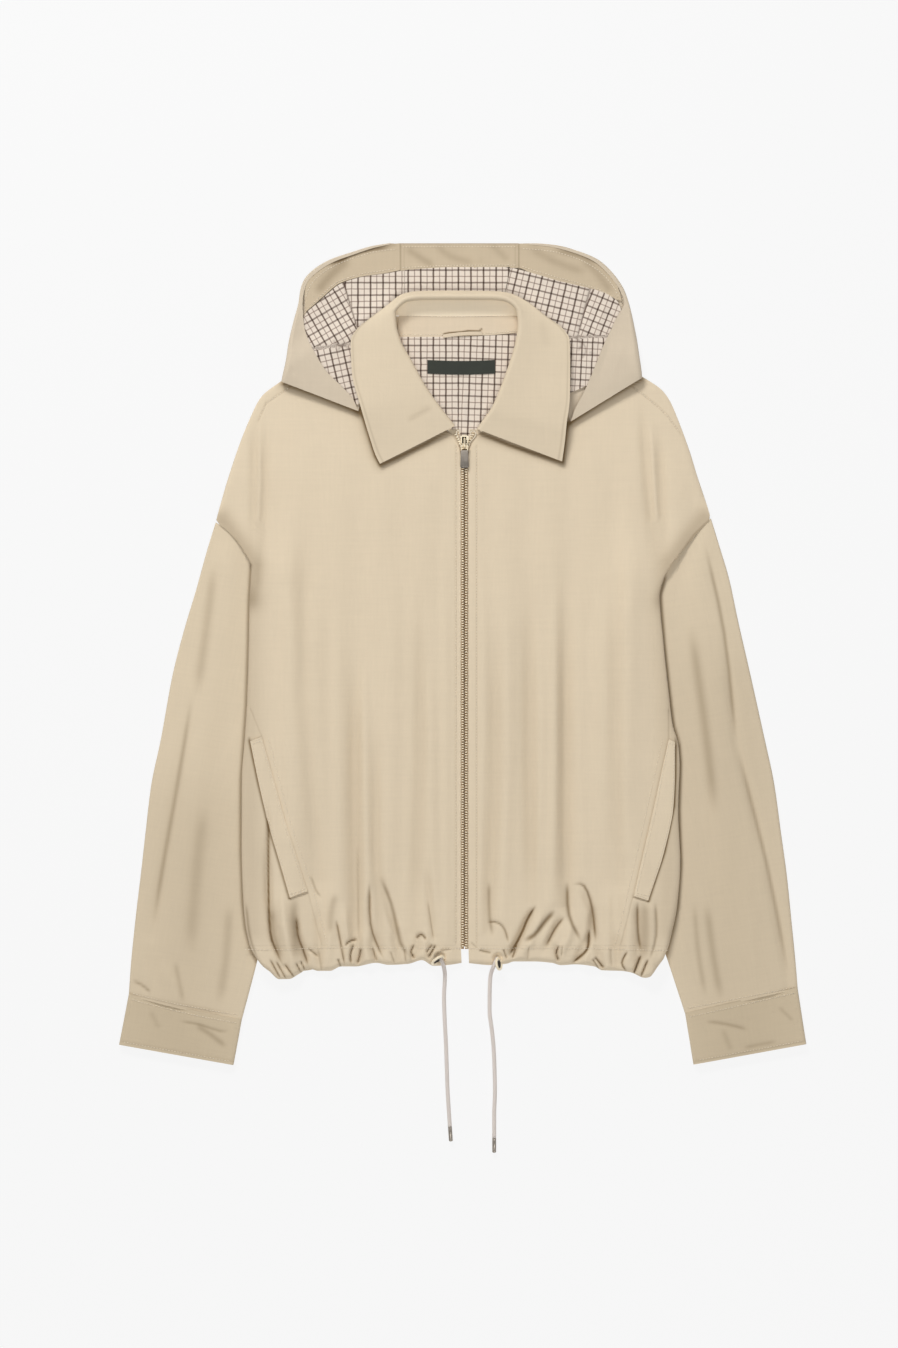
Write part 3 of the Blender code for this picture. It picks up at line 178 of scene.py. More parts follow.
def rows(kind, *values):
    """A table's rows, each as a record of one kind."""
    return [kind(*value) for value in values]


# Outlines of the body: shoulder line and drop shoulder, then the side below the armhole.
SHOULDER = {
    "left": rows(
        Edge, (310, 391), (330, 362), (350, 330), (365, 304), (381, 281), (397, 261), (417, 250.5),
        (440, 241), (470, 230.6), (495, 223), (ARMHOLE_TOP["left"], 216)),
    "right": rows(
        Edge, (308, 536), (330, 566), (350, 596), (365, 622), (377, 643), (390, 662), (401, 670),
        (418, 677.5), (455, 691), (475, 697), (499, 705), (ARMHOLE_TOP["right"], 710.5)),
}
SIDE = {
    "left": rows(
        Edge, (ARMHOLE_FOOT, 252), (600, 249.7), (645, 249), (706, 247), (740, 244.8), (779, 242),
        (850, 241.8), (901, 243.5), (927, 246), (951, 251.7), (963, 259.7)),
    "right": rows(
        Edge, (ARMHOLE_FOOT, 670), (578, 664), (595, 659.5), (645, 663.5), (694, 668.7), (725, 672.5),
        (744, 678), (763, 679.4), (809, 678), (863, 680), (907, 676.8), (929, 672.4), (956, 665),
        (966, 657.8)),
}
# The fronts' inner edges: neckline under the collar, then the edge beside the zip.
CENTRE = {
    "left": rows(
        Edge, (FRONT_TOP, 385), (338, 388), (352, 394), (365, 401), (392, 416), (416, 432), (430, 445),
        (436, 454), (442, 457.4), (449, 459.4), (456, 460.6), (963, 460.8)),
    "right": rows(
        Edge, (FRONT_TOP, 530), (338, 528), (358, 522), (383, 513), (406, 503), (421, 491.5), (431, 483),
        (437, 475), (442, 471.6), (449, 469.6), (456, 468.3), (963, 468.4)),
}
POCKET_SEAM = {
    "left": rows(
        Edge, (POCKET_TOP, 249.5), (720, 255), (736, 262), (826, 286), (891, 308), (921, 315.5),
        (HEM_SEAM, 321.5)),
    "right": rows(
        Edge, (POCKET_TOP, 668.2), (720, 668.6), (738, 668.4), (825, 649), (896, 632.5), (921, 627),
        (HEM_SEAM, 620.5)),
}
# The gathered bottom edge of the casing, and its plainer back.
HEM_EDGE = {
    "left": rows(
        Hem, (257, 958.5), (263, 966), (269.5, 971), (279.4, 979), (289, 979), (299, 974), (308.8, 968.8),
        (318.6, 971), (330, 971), (341, 966.6), (355, 966.6), (376, 963), (389, 965), (408, 964),
        (422, 960.3), (433.6, 966), (449, 965), (461.6, 963)),
    "right": rows(
        Hem, (469, 963.3), (492, 965.3), (506.7, 963.8), (514, 961.6), (534.5, 961.6), (552, 963),
        (561, 965.3), (575.6, 964.5), (594.7, 966.7), (602, 970.4), (621, 971), (631.4, 972.6),
        (644.6, 977.7), (649, 977), (657.8, 966), (663, 959)),
    "back": rows(
        Hem, (254, 954), (272, 968), (290, 973), (330, 965), (360, 960), (410, 957), (440, 953),
        (464.5, 948.5), (490, 954), (530, 956), (580, 959), (620, 966), (645, 972), (662, 955)),
}

# Soft folds and gathers of the fronts: the line each runs along, its half width and how far it rises.
# Shade is painted lightly along the folds that sink.
FOLDS = {
    "left": rows(
        Fold, (354, 640, 354, 800, 356, 965, 6.5, -3), (364, 620, 365, 800, 369, 960, 5.5, 2.4),
        (376, 700, 376, 850, 381, 948, 5, -2.2), (394, 520, 393, 720, 390, 900, 9, 1.6),
        (420, 560, 420, 760, 414, 930, 6.5, -2.2), (430, 640, 432, 800, 436, 930, 7, 1.7),
        (444, 500, 446, 700, 446, 940, 5.5, 1.2), (318, 470, 318, 700, 330, 930, 11, 1.9),
        (290, 480, 288, 640, 290, 840, 9, 1.5), (338, 560, 338, 740, 340, 930, 7, 1.6),
        (303, 520, 303, 700, 318, 880, 7, -1.5), (255, 410, 254, 480, 253, 552, 5, -1.8),
        (265, 415, 265, 490, 260, 585, 5, -1.8), (260, 415, 260, 480, 257, 560, 3, 1.2),
        (380, 870, 388, 910, 402, 944, 4, -2.4), (370, 880, 369, 920, 380, 950, 4, -2),
        (426, 862, 430, 900, 434, 936, 4, -1.8), (268, 830, 269, 900, 283, 966, 4.5, -2.6),
        (293, 905, 298, 935, 309, 966, 4.5, -2.8), (281, 880, 285, 925, 296, 975, 4.5, 2.4),
        (344, 900, 347, 930, 350, 966, 4, 2.2), (330, 880, 331, 925, 326, 972, 5, 1.8),
        (317, 900, 319, 935, 318, 974, 4, -1.6), (396, 915, 404, 942, 410, 962, 4, 2),
        (390, 930, 397, 948, 398, 966, 3.5, -1.8), (372, 930, 372, 950, 378, 965, 3.5, -1.8),
        (363, 925, 364, 948, 368, 966, 3.5, 1.8), (418, 930, 416, 948, 412, 962, 3.5, -1.7),
        (425, 925, 425, 945, 422, 962, 3.5, 1.4)),
    "right": rows(
        Fold, (565, 560, 565, 790, 566, 905, 6.5, -3), (555, 520, 555, 760, 552, 900, 6.5, 2.4),
        (529, 560, 529, 760, 532, 900, 6.5, -2.4), (541, 600, 541, 780, 536, 905, 6, 1.6),
        (495, 600, 495, 780, 489, 930, 6, -2.2), (508, 560, 508, 760, 502, 920, 7, 1.6),
        (484, 520, 484, 720, 478, 930, 5, 1.2), (603, 470, 603, 700, 600, 900, 11, 1.9),
        (580, 540, 580, 740, 584, 890, 7, 1.5), (627, 480, 628, 660, 622, 850, 9, 1.6),
        (615, 560, 615, 720, 618, 880, 7, -1.6), (641, 395, 647, 480, 658, 582, 5, -1.8),
        (659, 420, 662, 490, 663, 570, 5, -1.8), (650, 410, 654, 480, 660, 560, 3, 1.2),
        (536, 900, 519, 938, 508, 958, 3.8, -3), (545, 905, 534, 935, 522, 955, 4.5, 2.4),
        (562, 912, 552, 934, 544, 950, 4, -2.4), (574, 915, 568, 938, 560, 955, 4.5, 2.2),
        (578, 880, 592, 912, 596, 946, 4, -2.2), (592, 905, 590, 935, 574, 962, 4, -2.6),
        (606, 880, 608, 925, 607, 966, 5, 2.2), (636, 900, 639, 930, 637, 972, 4.5, -2.4),
        (624, 880, 628, 930, 626, 970, 5, 1.8), (650, 880, 652, 930, 650, 974, 5, 2),
        (596, 945, 600, 958, 603, 972, 3.5, -1.8), (616, 930, 618, 950, 617, 970, 3.5, -1.6),
        (552, 940, 557, 952, 559, 966, 3.5, -1.6), (530, 935, 532, 950, 534, 962, 4, 1.2),
        (584, 940, 585, 954, 586, 968, 3.5, 1.6)),
}
SHOULDER_LINE = rows(
    Hem, (240, 420), (281, 381), (304, 365), (330, 350), (362, 330), (391, 316), (534, 316), (566, 330),
    (596, 350), (622, 365), (643, 377), (690, 420))
SOFT_WAVE = 42.0
SOFT_WAVE_RISE = 0.7
CALM_ABOVE = 430.0
CALM_FADE = 90.0

SLEEVES = {
    "left": rows(
        SleeveRow, (215.6, 522.4, 262, 590, 2.2, -8.6), (206.5, 552, 272, 612, 1, -4.5),
        (196, 590, 280, 640, 0, -1), (184, 630, 285, 672, 0, 0), (172.5, 675, 287, 706, 0, 0),
        (161, 738, 285, 758, 0, 0), (151, 786, 281, 806, 0, 0), (145.5, 832, 276, 850, 0, 0),
        (141, 872, 270, 890, 0, 0), (135.5, 918, 264, 932, 0, 0), (130.5, 968, 255.5, 968, 0, 0),
        (128.7, 995, 241.6, 1020.6, 0.7, 2)),
    "right": rows(
        SleeveRow, (711.1, 518.6, 650, 590, 6.2, -8.9), (719.5, 546, 643, 614, 3, -5),
        (729.5, 580, 638, 642, 0, -1), (738, 620, 635, 674, 0, 0), (749, 668, 634, 708, 0, 0),
        (763, 731, 636, 760, 0, 0), (774.5, 785, 640, 806, 0, 0), (781, 832, 645, 850, 0, 0),
        (787, 876, 650, 890, 0, 0), (791.5, 920, 656, 926, 0, 0), (796, 966, 667.5, 960, 0, 0),
        (797.8, 988.5, 685.3, 1014.3, 0, 0)),
}
CUFFS = {
    "left": rows(
        SleeveRow, (128.4, 995.9, 241.5, 1021.3, 0.7, 2), (123.8, 1020, 237.6, 1043, 0, 1),
        (119, 1044.6, 233.5, 1065, 0, 0)),
    "right": rows(
        SleeveRow, (797.9, 989.3, 685.4, 1015.1, 0, 0), (802, 1016, 689.4, 1039.5, 0, 0),
        (806.4, 1044, 693.4, 1064.5, 0, 0)),
}
SLEEVE_FOLDS = {
    "left": rows(
        Fold, (193, 690, 164, 866, 152, 935, 6, -1.6), (214, 640, 198, 780, 190, 900, 12, 1.2),
        (226, 900, 222, 950, 214, 1000, 7, -1.2), (160, 960, 172, 985, 180, 1008, 6, 1)),
    "right": rows(
        Fold, (722, 620, 737, 745, 763, 848, 5, -1.6), (763, 848, 778, 920, 789, 985, 5, -1.4),
        (706, 640, 716, 780, 728, 900, 12, 1.2), (700, 900, 706, 950, 714, 1000, 7, -1.2)),
}

# Hood sides: each row runs from the centre seam out to the fold, and the flap comes back over it.
HOOD_SIDES = {
    "left": rows(
        HoodRow, (400.4, 243.6, 389, 243, 391, 244.2, 0), (400.4, 247, 372, 245.8, 374.5, 247.6, 0),
        (400.4, 252, 352, 251.8, 355, 254, 0), (400.4, 258, 329, 259.8, 332, 262.6, 0),
        (400.4, 265, 313, 269.6, 316.5, 272.6, 0), (400.4, 273, 304.3, 279, 308, 281.2, 0),
        (400.4, 281, 300.4, 289, 304.4, 290.2, 0), (400.4, 289, 298.3, 303, 302.6, 303.6, 0),
        (398, 298, 294, 319, 303.6, 322, 1), (391, 308, 291, 331, 307.2, 337, 2.2),
        (382.5, 320, 288.4, 343, 314.6, 352.5, 3.4), (376, 338, 286, 360, 327, 372, 4.2),
        (370, 365, 283.2, 373, 341, 386, 4), (363, 390, 281.8, 379.5, 353, 399, 3.2),
        (358.5, 410.6, 281.5, 382, 358.5, 411.4, 2.4)),
    "right": rows(
        HoodRow, (518.7, 243.6, 530, 243.2, 528, 244.4, 0), (518.7, 247, 553, 245, 550.5, 246.8, 0),
        (518.7, 252, 576, 250.2, 573, 252.4, 0), (518.7, 258, 598, 259.3, 595, 262, 0),
        (518.7, 265, 612, 271.8, 608.5, 274.6, 0), (518.7, 273, 619.2, 281, 615.4, 283, 0),
        (518.7, 281, 624.2, 289.5, 620.2, 290.7, 0), (518.7, 289, 628.7, 302, 624.2, 303, 0),
        (520, 298, 632, 315, 616.5, 318, 1), (529, 308, 634.5, 327, 611, 330, 2.2),
        (534, 321, 637, 340, 604.5, 343, 3.4), (542, 341, 639.3, 356, 594, 369, 4.2),
        (550, 368, 641, 368, 583, 394, 4), (560, 396, 641.8, 375, 575, 409, 3.2),
        (570.5, 421, 642, 378, 570.5, 421.8, 2.4)),
}
HOOD_FACINGS = {
    "left": rows(
        Strip, (400.4, 246.4, 400.4, 269.6), (376, 249, 382, 273.2), (354, 255.4, 364, 275.6),
        (334, 263.4, 350, 279), (319, 273, 338, 283.7), (310.3, 282, 327, 292.5), (306.4, 291, 316, 302.5),
        (304.4, 300, 305.6, 311.5)),
    "centre": rows(Strip, (400.4, 244.4, 400.4, 270.2), (460, 244, 460, 267.6), (518.7, 244.4, 518.7, 267.4)),
    "right": rows(
        Strip, (518.7, 246.4, 518.7, 266.8), (534, 246.8, 530, 271.8), (554, 248.8, 543, 276),
        (574, 254, 556, 280), (595, 264.6, 575, 284.6), (611.5, 280.5, 592, 288.4), (617.5, 291, 605, 293.5),
        (621, 300.5, 615, 299.5)),
}
HOOD_LININGS = {
    "left": rows(
        Strip, (402.6, 270.4, 404.3, 270.8), (384, 273.8, 404.3, 277), (366, 276.2, 404.3, 283),
        (352, 279.6, 404.3, 289), (340, 284.4, 404.3, 296), (329, 293.2, 400, 305), (318, 303.2, 390, 314),
        (307.5, 312.6, 385, 322), (302, 322, 380, 336), (298.5, 335, 376, 350), (295.5, 350, 372, 368),
        (292, 367, 366, 388), (292, 377, 358, 405)),
    "centre": rows(Strip, (404.7, 270.2, 404.7, 312), (455, 267.4, 455, 312), (510, 267.4, 501, 312)),
    "right": rows(
        Strip, (511.5, 267.6, 510.5, 268.2), (530, 272.4, 508.9, 276), (544, 276.6, 507.7, 282),
        (557, 280.6, 506.5, 288), (576, 285.2, 505, 296), (593, 289.2, 511, 305), (606, 294.2, 524, 314),
        (617, 302, 531.5, 323), (621, 312, 536, 336), (625, 326, 541, 350), (628, 342, 547, 368),
        (631, 356, 555, 386), (631.5, 366, 566, 395)),
}

COLLAR = rows(
    CollarRow, (454, 426.5, 9.4, 449, 431, 5.9, 380, 464, 6.9),
    (447, 418, 10.6, 440, 424, 5.9, 375.5, 455, 7.4), (438, 406.5, 12, 430, 413, 5.9, 369.5, 437, 9.4),
    (425, 388, 13.6, 416.5, 393, 5.9, 361, 408, 12), (410, 361, 14.8, 401, 365, 6, 352, 373, 10.6),
    (400, 343, 15.4, 391.5, 346, 6.2, 350.8, 343, 9.8), (395.5, 327, 16, 388.5, 329, 6, 356, 331, 9.4),
    (394.5, 314, 16.4, 393, 316.5, 5.2, 367, 321, 8.8), (399.5, 306, 16.6, 398.5, 315.5, 3.9, 385, 307.5, 8),
    (408.5, 300.8, 16.6, 408, 315.8, 3.7, 403, 294.6, 6.2), (421, 299.4, 16.6, 421, 316, 3.7, 420, 291.8, 5),
    (455, 299.2, 16.6, 455, 316.2, 3.7, 455, 291.4, 5), (491, 299.4, 16.6, 492, 316, 3.7, 492, 291.8, 5),
    (503, 300.4, 16.6, 504, 315.8, 3.7, 508, 293.4, 6.2), (512, 304.5, 16.6, 513.5, 315.5, 3.9, 527, 302, 8),
    (518, 313, 16.4, 520, 316.5, 5.2, 545, 316, 8.8), (519, 326, 16, 526, 328, 6, 562.5, 329, 9.4),
    (516, 346, 15.4, 523.5, 348.5, 6.2, 569.5, 341, 9.8), (511.5, 361, 14.8, 520, 364.5, 6, 570, 367, 10.6),
    (503, 385, 13.6, 511, 389, 5.9, 569.6, 398, 12), (492.5, 409, 12.6, 500, 415, 5.9, 566.5, 424, 12),
    (485, 419.5, 10.8, 491.5, 425, 5.9, 564.5, 444, 9.4),
    (478, 429.5, 9.4, 482.5, 433.5, 5.9, 562, 461.5, 6.9))

NECK_FACING = rows(
    Strip, (399, 313.2, 397, 336.8), (420, 314.6, 420, 336.8), (443, 315.2, 443, 336.6),
    (463, 315.2, 463, 336), (490, 314.8, 490, 335), (517, 313.2, 519, 332.4))
BACK_LINING = {
    "left": rows(
        Edge, (331.6, 391), (337.6, 392), (352, 398), (366, 404), (380, 408), (412, 420), (446, 444)),
    "right": rows(Edge, (331.6, 525), (338, 525), (358, 519), (383, 512), (412, 504), (446, 486)),
}
WELTS = {
    "left": rows(
        Strip, (250.6, 741, 262, 736.4), (259, 782, 273.2, 776), (269.5, 826.5, 285.4, 820),
        (280, 862, 296.5, 855), (290.3, 897.3, 307.6, 891)),
    "right": rows(
        Strip, (674.6, 742, 668.4, 738.8), (674.4, 775, 660.6, 774), (673, 806, 653.4, 808),
        (663.5, 852, 643.6, 850), (647.7, 900, 633.4, 895.6)),
}

CORDS = {
    "left": rows(
        CordPoint, (440.2, 956.6, 8.2), (441.6, 960.4, 9.4), (443.4, 965, 8.6), (444.5, 970.4, 5),
        (445, 976, 2.6), (444.6, 985, 2), (444, 996, 2), (444.5, 1016, 2), (446, 1045, 2), (446.8, 1068, 2),
        (447.6, 1091, 2), (448.8, 1110.6, 2), (449.9, 1126.7, 2)),
    "right": rows(
        CordPoint, (497.6, 957.6, 8.2), (495.8, 961.2, 9.4), (493.6, 966, 8.6), (491.8, 971, 5),
        (490.4, 977, 2.6), (489.8, 988, 2), (489.6, 1000, 2), (489.6, 1012.7, 2), (491.2, 1025, 2),
        (493.5, 1046, 2), (494.5, 1068, 2), (495, 1091, 2), (494.2, 1114, 2), (494.2, 1138, 2)),
}
CORD_POINTS = 24

Crease = namedtuple("Crease", "points width rise")
Stitch = namedtuple("Stitch", "points sewn dip shade width")


def crease_rows(*table):
    """Creases from rows of width and rise, then the places along each: across, down, across, down."""
    return [Crease(tuple(zip(row[2::2], row[3::2])), *row[:2]) for row in table]


def seam_rows(*table):
    """Seams from rows of sewn, dip, shade and width, then the places along each."""
    return [Stitch(tuple(zip(row[4::2], row[5::2])), *row[:4]) for row in table]


# How closely the fine shells are divided, and how far they run on under their neighbours.
SIDES = ("left", "right")
THIN = 0.9
ROW_STEP = 5.0
FINE_STEP = 1.4
FINE_FROM = 880.0
EDGES_FROM = 378.0
EDGES_TO = 470.0
EDGES_STEP = 2.0
TUBE_TOP_POINTS = 74
TUBE_FOOT_POINTS = 20
TUBE_CORNER = 3
LINING_CELLS = {"left": (110, 110), "centre": (30, 12), "right": (110, 110)}
LEAD_EASE = 1.6
CUFF_TUCK = 2.4
SLEEVE_TUCK = 9.0
HEM_TUCK = 2.0
BACK_TOP = 316.0
LEAST_LAYERS = 2 * THIN + 0.15
TUBE_LEAST = 2 * THIN + 0.3

# Folds, creases and gathers, and the shade painted into them.
FOLD_GAIN = 1.15
CREASE_FADE = 0.22
CREASE_GAIN = 1.9
CREASE_UNEVEN = 0.35
CREASE_WAVE = 9.0
CREASE_STEP = 2.1
CREASE_SHARP = 1.4
GATHER_LIFT = 2.2
GATHER_FROM = 870.0
GATHER_FULL = 935.0
SEAM_WIDTH = 1.3
PUCKER = 0.45
PUCKER_WAVE = 1.9
PUCKER_DRIFT = 17.0
PUCKER_TURN = 1.7
SHADE_WIDTH = 0.55
SHADE_GAIN = 0.52
FOLD_SHADE = 0.055
HEM_EASE = 1.5
HEM_BELOW = 0.1
TUBE_EDGE = 5.0

# Hood, collar, neck and pockets.
FLAP_TURN = 0.42
FLAP_START = 0.56
FLAP_SHOULDER = 14.0
FLAP_EASE = 0.1
FLAP_GRAIN = 2000.0
ROLL_LOW = 1.6
ROLL_LOW_TO = 290.0
ROLL_LOW_FADE = 24.0
FACING_RISE = 0.4
RISE_REACH = 0.2
LINING_DEEPEST = -1.0
BACK_LINING_RISE = 0.3
LEAF_HOOK = 0.05
LEAF_FALL = 0.2
LEAF_EASE = 0.15
LEAF_LIFT = 2.4
LEAF_REACH = 70.0
STAND_BOW = 1.6
SEAM_LOW = 1.5
LABEL_RIPPLE = 0.25
WELT_RISE = 1.7
WELT_CROWN = 0.5
WELT_ROUND = 0.6
WELT_END = 0.02

# Cloth patterns and tints, and the tints of painted shade.
TWILL_PITCH = 1.3
TWILL_SLOPE = 1.0
# How much of each channel of a twill's colour its painted shade keeps.
PAINTED_SHADE_TINT = (0.28, 0.22, 0.14)
TWILLS = ("facing", "collar", "stand", "neck", "sleeve", "cuff", "hood")
CHECK_PITCH = 6.28
BOLD_WIDTH = 2.2
THIN_WIDTH = 1.4
CHECK_WOBBLE = 0.7
BRAID_PITCH = 2.6
TAPE_RIB = 1.4
TAPE_SLANT = 0.8
# The colour of the shadow painted down the zip tapes, between the teeth.
TAPE_SHADOW = (0.37, 0.20, 0.064)
THREAD_TWIST = 0.7
FLOOR_GLOW = 0.86

# Sewing.
THREAD_LIFT = 0.2
STITCH_AHEAD = 0.6
STITCH_WANDER = 0.12
STITCH_TURN = 2.4
TEMPLATE_GAP = 3.0
PATH_STEP = 2.0
POCKET_STITCH = 6.0
POCKET_STITCH_FROM = 725.0
COLLAR_STITCH = 2.6

# Zip teeth, slider and eyelets.
TOOTH_SIZE = (2.4, 1.15, 2.0)
TOOTH_OUT = 1.8
TOOTH_BEVEL = 0.3
OPEN_BEVEL = 0.32
BLOCK_BEVEL = 0.25
OPEN_APART = 4.6
OPEN_FLARE = 4.2
OPEN_LEAN = 0.5
OPEN_RISE = 1.4
OPEN_TEETH = 5
OPEN_FROM = 434.6
OPEN_TO = 444.0
CURL_RADIUS = 0.5
CURL_LEVEL = 1.6
CURL_RISE = 1.2
SLIDER_MIDDLE = 440.0
TAB_HEAD = 450.2
TAB_FOOT = 468.4
CLOTH_SHARP = 50.0
SOLID_SHARP = 35.0
EASED_FROM = 40.0
EASED_EDGE = 0.16
HOLE_WALL = 0.3

# A drawcord's tip: how far along it each ring lies, and its share of the full radius.
TIP_SHAPE = ((0.0, 0.55), (0.05, 0.9), (0.4, 1.0), (2.0, 1.0), (2.3, 0.9), (2.6, 1.0), (11.8, 1.0),
             (12.1, 0.9), (12.4, 1.0), (13.9, 0.98), (14.5, 0.85), (14.9, 0.5))

# The camera and the light.
VIEW_X = -0.01375
VIEW_Y = -0.0205
VIEW_TALL = 1.348
VIEW_LEVEL = 0.004
SENSOR = 24.0
KEY_AT = (-0.7, 2.0, 1.55)
KEY_SIZE = (0.9, 0.5)
KEY_POWER = 38.5
FILL_AT = (0.2, -1.4, 3.0)
FILL_SIZE = (2.2, 1.4)
FILL_POWER = 38.0
WORLD_STRENGTH = 0.3
FLOOR_LEVEL = -0.3

# Fine creases by piece: how wide each is, how far it rises, and the places along it.
# Shade is painted along the creases that sink.
CREASES = {
    "left": crease_rows(
        (2, -2.1, 268.7, 790, 268.7, 890, 270.5, 932, 276.8, 951.4, 288, 974),
        (5, -0.8, 271, 905, 274, 935, 283, 962), (1.6, -1.9, 296.4, 915, 298, 935, 303.6, 951, 309, 968),
        (8.5, -0.75, 294.5, 893, 294.5, 925, 297, 962), (6.5, -0.55, 337, 892, 332, 908, 330, 936),
        (1.5, -1.6, 336, 918, 339, 933.6, 343, 955, 345, 968), (1.6, -2, 344.5, 946, 350, 941, 358, 939),
        (1.4, -2, 354, 943, 350.5, 955, 351.5, 965), (1.4, -2, 361, 947, 359.6, 956, 357, 965),
        (2.2, -0.5, 357.5, 840, 358, 900, 358.5, 944),
        (1.8, -1.4, 369.6, 880, 370.5, 923, 378.6, 948, 386, 962), (1.3, -1.2, 372, 946, 377, 962),
        (3.4, -1, 379, 874, 391, 903, 398, 934, 402, 946, 414, 961),
        (1.3, -2, 414.3, 944, 411.2, 952, 415, 959), (1.8, -1.8, 415.5, 939, 421.4, 934.5, 427, 940),
        (1.3, -0.8, 427.7, 900, 434, 942.5), (1.5, -2.2, 436, 944, 428, 958.5),
        (1.2, -1.6, 432.5, 944, 426, 953), (1.6, -0.9, 440, 951, 452, 948.5), (1.4, -1.6, 270, 958, 281, 979),
        (1.3, -1.5, 276, 960, 287, 980), (1.4, -1.9, 284.4, 963, 295, 978), (1.3, -1.7, 296, 962, 302, 974),
        (1.2, -1.5, 300.5, 960, 306, 972), (1.8, -0.7, 318, 948, 322, 972),
        (2.2, -0.8, 246, 900, 250, 935, 259, 962), (1.5, -1.3, 308, 948, 319, 957),
        (1.5, -1.6, 338, 958, 341, 968), (1.6, -0.9, 390, 950, 395, 964), (1.6, -0.8, 404, 948, 406, 963),
        (2, -0.7, 311, 875, 316, 890, 322, 898)),
    "right": crease_rows(
        (2, -2.8, 536.5, 904, 527.7, 919, 522.9, 930.5, 516.4, 943.4, 508, 957),
        (4.2, -1.7, 556, 909, 545.4, 921, 534, 935, 522, 941), (2.2, -1.5, 565, 916, 555, 929, 545, 948),
        (1.7, -1.4, 486, 922, 497, 922.5, 504.4, 929, 509, 944), (3, -0.9, 489, 880, 489.5, 915, 493, 938),
        (1.9, -2.8, 589, 928, 588.3, 945, 584, 953, 571, 964),
        (2, -1.7, 571, 884, 584, 886, 592, 908, 596, 944), (3, -1.5, 567, 880, 569, 915, 582, 943),
        (1.3, -1.9, 559, 945, 556.4, 953, 559, 962), (1.2, -1, 562, 945, 561, 957),
        (1.4, -2, 594.2, 956, 604.5, 969), (1.2, -1.4, 592, 958, 599, 969),
        (1.5, -2.1, 627.5, 950, 621.7, 962.7, 627, 972), (1.6, -2.6, 641, 954, 633, 975),
        (2, -1.5, 637, 900, 637.8, 932, 641, 953), (9, -0.75, 644, 898, 645, 935, 643, 962),
        (2.4, -0.9, 655, 900, 656, 935, 648, 962), (1.5, -2, 648, 958, 640, 978),
        (1.5, -0.8, 529, 945, 527, 961), (1.6, -0.6, 610, 946, 612, 968), (1.4, -1.8, 517, 944, 512, 959),
        (1.5, -1.4, 478, 950, 492, 953), (1.3, -1.5, 503, 948, 507, 959), (1.4, -0.7, 470, 941, 478, 949)),
}
SLEEVE_CREASES = {
    "left": crease_rows(
        (4.2, -0.8, 193, 690, 180, 770, 163, 866, 152, 934), (2.6, -0.8, 132, 980, 142, 985, 152, 993),
        (9, -0.5, 215, 560, 205, 640, 196, 700), (8.5, -0.42, 230, 900, 226, 960, 218, 1008),
        (12, -0.38, 205, 800, 196, 880, 190, 960), (4.5, -0.4, 175, 960, 180, 985, 184, 1004),
        (6, 0.6, 240, 700, 236, 800, 234, 880)),
    "right": crease_rows(
        (3.4, -0.9, 704, 541, 724, 633, 736, 744), (3.4, -0.8, 736, 744, 762.5, 847, 778, 920, 789, 982),
        (9, -0.6, 690, 620, 704, 720, 716, 820), (7, -0.5, 706, 900, 714, 960, 722, 1004),
        (5, 0.6, 745, 860, 752, 930, 756, 990), (5, -0.45, 694, 900, 698, 950, 706, 1000)),
}
CUFF_CREASES = {
    "left": crease_rows(
        (2.4, -0.6, 178, 1021, 198, 1024, 220, 1031, 231, 1030), (5, -0.55, 194, 1024, 210, 1034, 228, 1048),
        (5, -0.25, 150, 1010, 160, 1030)),
    "right": crease_rows(
        (3, -0.6, 704, 1021, 726, 1024, 750, 1030), (3, -0.4, 778, 1006, 794, 1022),
        (3.4, -0.45, 742, 1048, 778, 1041), (5, -0.3, 722, 1028, 732, 1052)),
}
HOOD_CREASES = {
    "left": crease_rows(
        (1.8, -0.8, 286, 363, 296, 376), (5, -0.7, 312, 330, 322, 362), (5, 0.6, 300, 345, 330, 395)),
    "right": crease_rows(
        (2, -0.6, 640, 350, 636, 372), (5, -0.7, 612, 335, 596, 385), (5, 0.6, 626, 340, 606, 392)),
}
LINING_CREASES = {
    "left": crease_rows(
        (2, -1.7, 341.5, 276, 344.5, 286, 357.5, 329, 359, 336), (2.2, -0.9, 286, 352, 318, 348, 354, 344),
        (3.2, 1.1, 334, 290, 350, 330), (2, -1.4, 332, 340, 340, 346, 347, 341),
        (2, -1.2, 336, 352, 344, 346, 352, 352), (2.4, 1, 330, 344, 344, 354),
        (2.2, 1, 338, 330, 334, 342, 341, 352)),
    "right": crease_rows(
        (1.9, -1.9, 592.8, 279, 590.3, 288.7, 584.5, 310, 578.8, 332, 576, 342),
        (2.2, -1, 560, 338, 590, 337, 622, 336), (3, 1, 606, 300, 596, 334),
        (2, -1.4, 574, 338, 582, 344, 577, 352), (1.8, -1.2, 582, 340, 586, 352, 578, 362),
        (2, 0.9, 590, 340, 600, 346), (2, -0.9, 588, 352, 598, 356)),
}
COLLAR_CREASES = crease_rows(
    (4.5, -0.35, 433, 406, 406, 422), (9, 0.5, 366, 350, 372, 420), (9, 0.5, 556, 350, 552, 420),
    (9, -0.12, 540, 318, 548, 350))
FACING_CREASES = crease_rows((3, 0.5, 396, 322, 400, 334), (3, 0.4, 512, 318, 518, 330))
BACK_CREASES = crease_rows(
    (1.2, -1.3, 461, 386, 461.5, 405, 459, 428), (2.4, 0.8, 464.5, 386, 464, 426),
    (3, 0.5, 490, 400, 476, 430), (3, 0.5, 430, 400, 444, 428))
HOOD_TOP_CREASES = crease_rows(
    (4, -1.2, 394, 246, 360, 252, 326, 266), (6, 0.5, 470, 246, 482, 262),
    (5, -0.9, 550, 249, 600, 262, 618, 284), (7, -0.5, 404, 247, 418, 256, 436, 268),
    (7, -0.4, 434, 243, 450, 256, 476, 264), (7, -0.35, 490, 243, 510, 262),
    (8, -0.45, 526, 246, 556, 262, 590, 274), (10, -0.75, 352, 256, 330, 276, 314, 296),
    (8, -0.5, 580, 256, 598, 274, 614, 296))
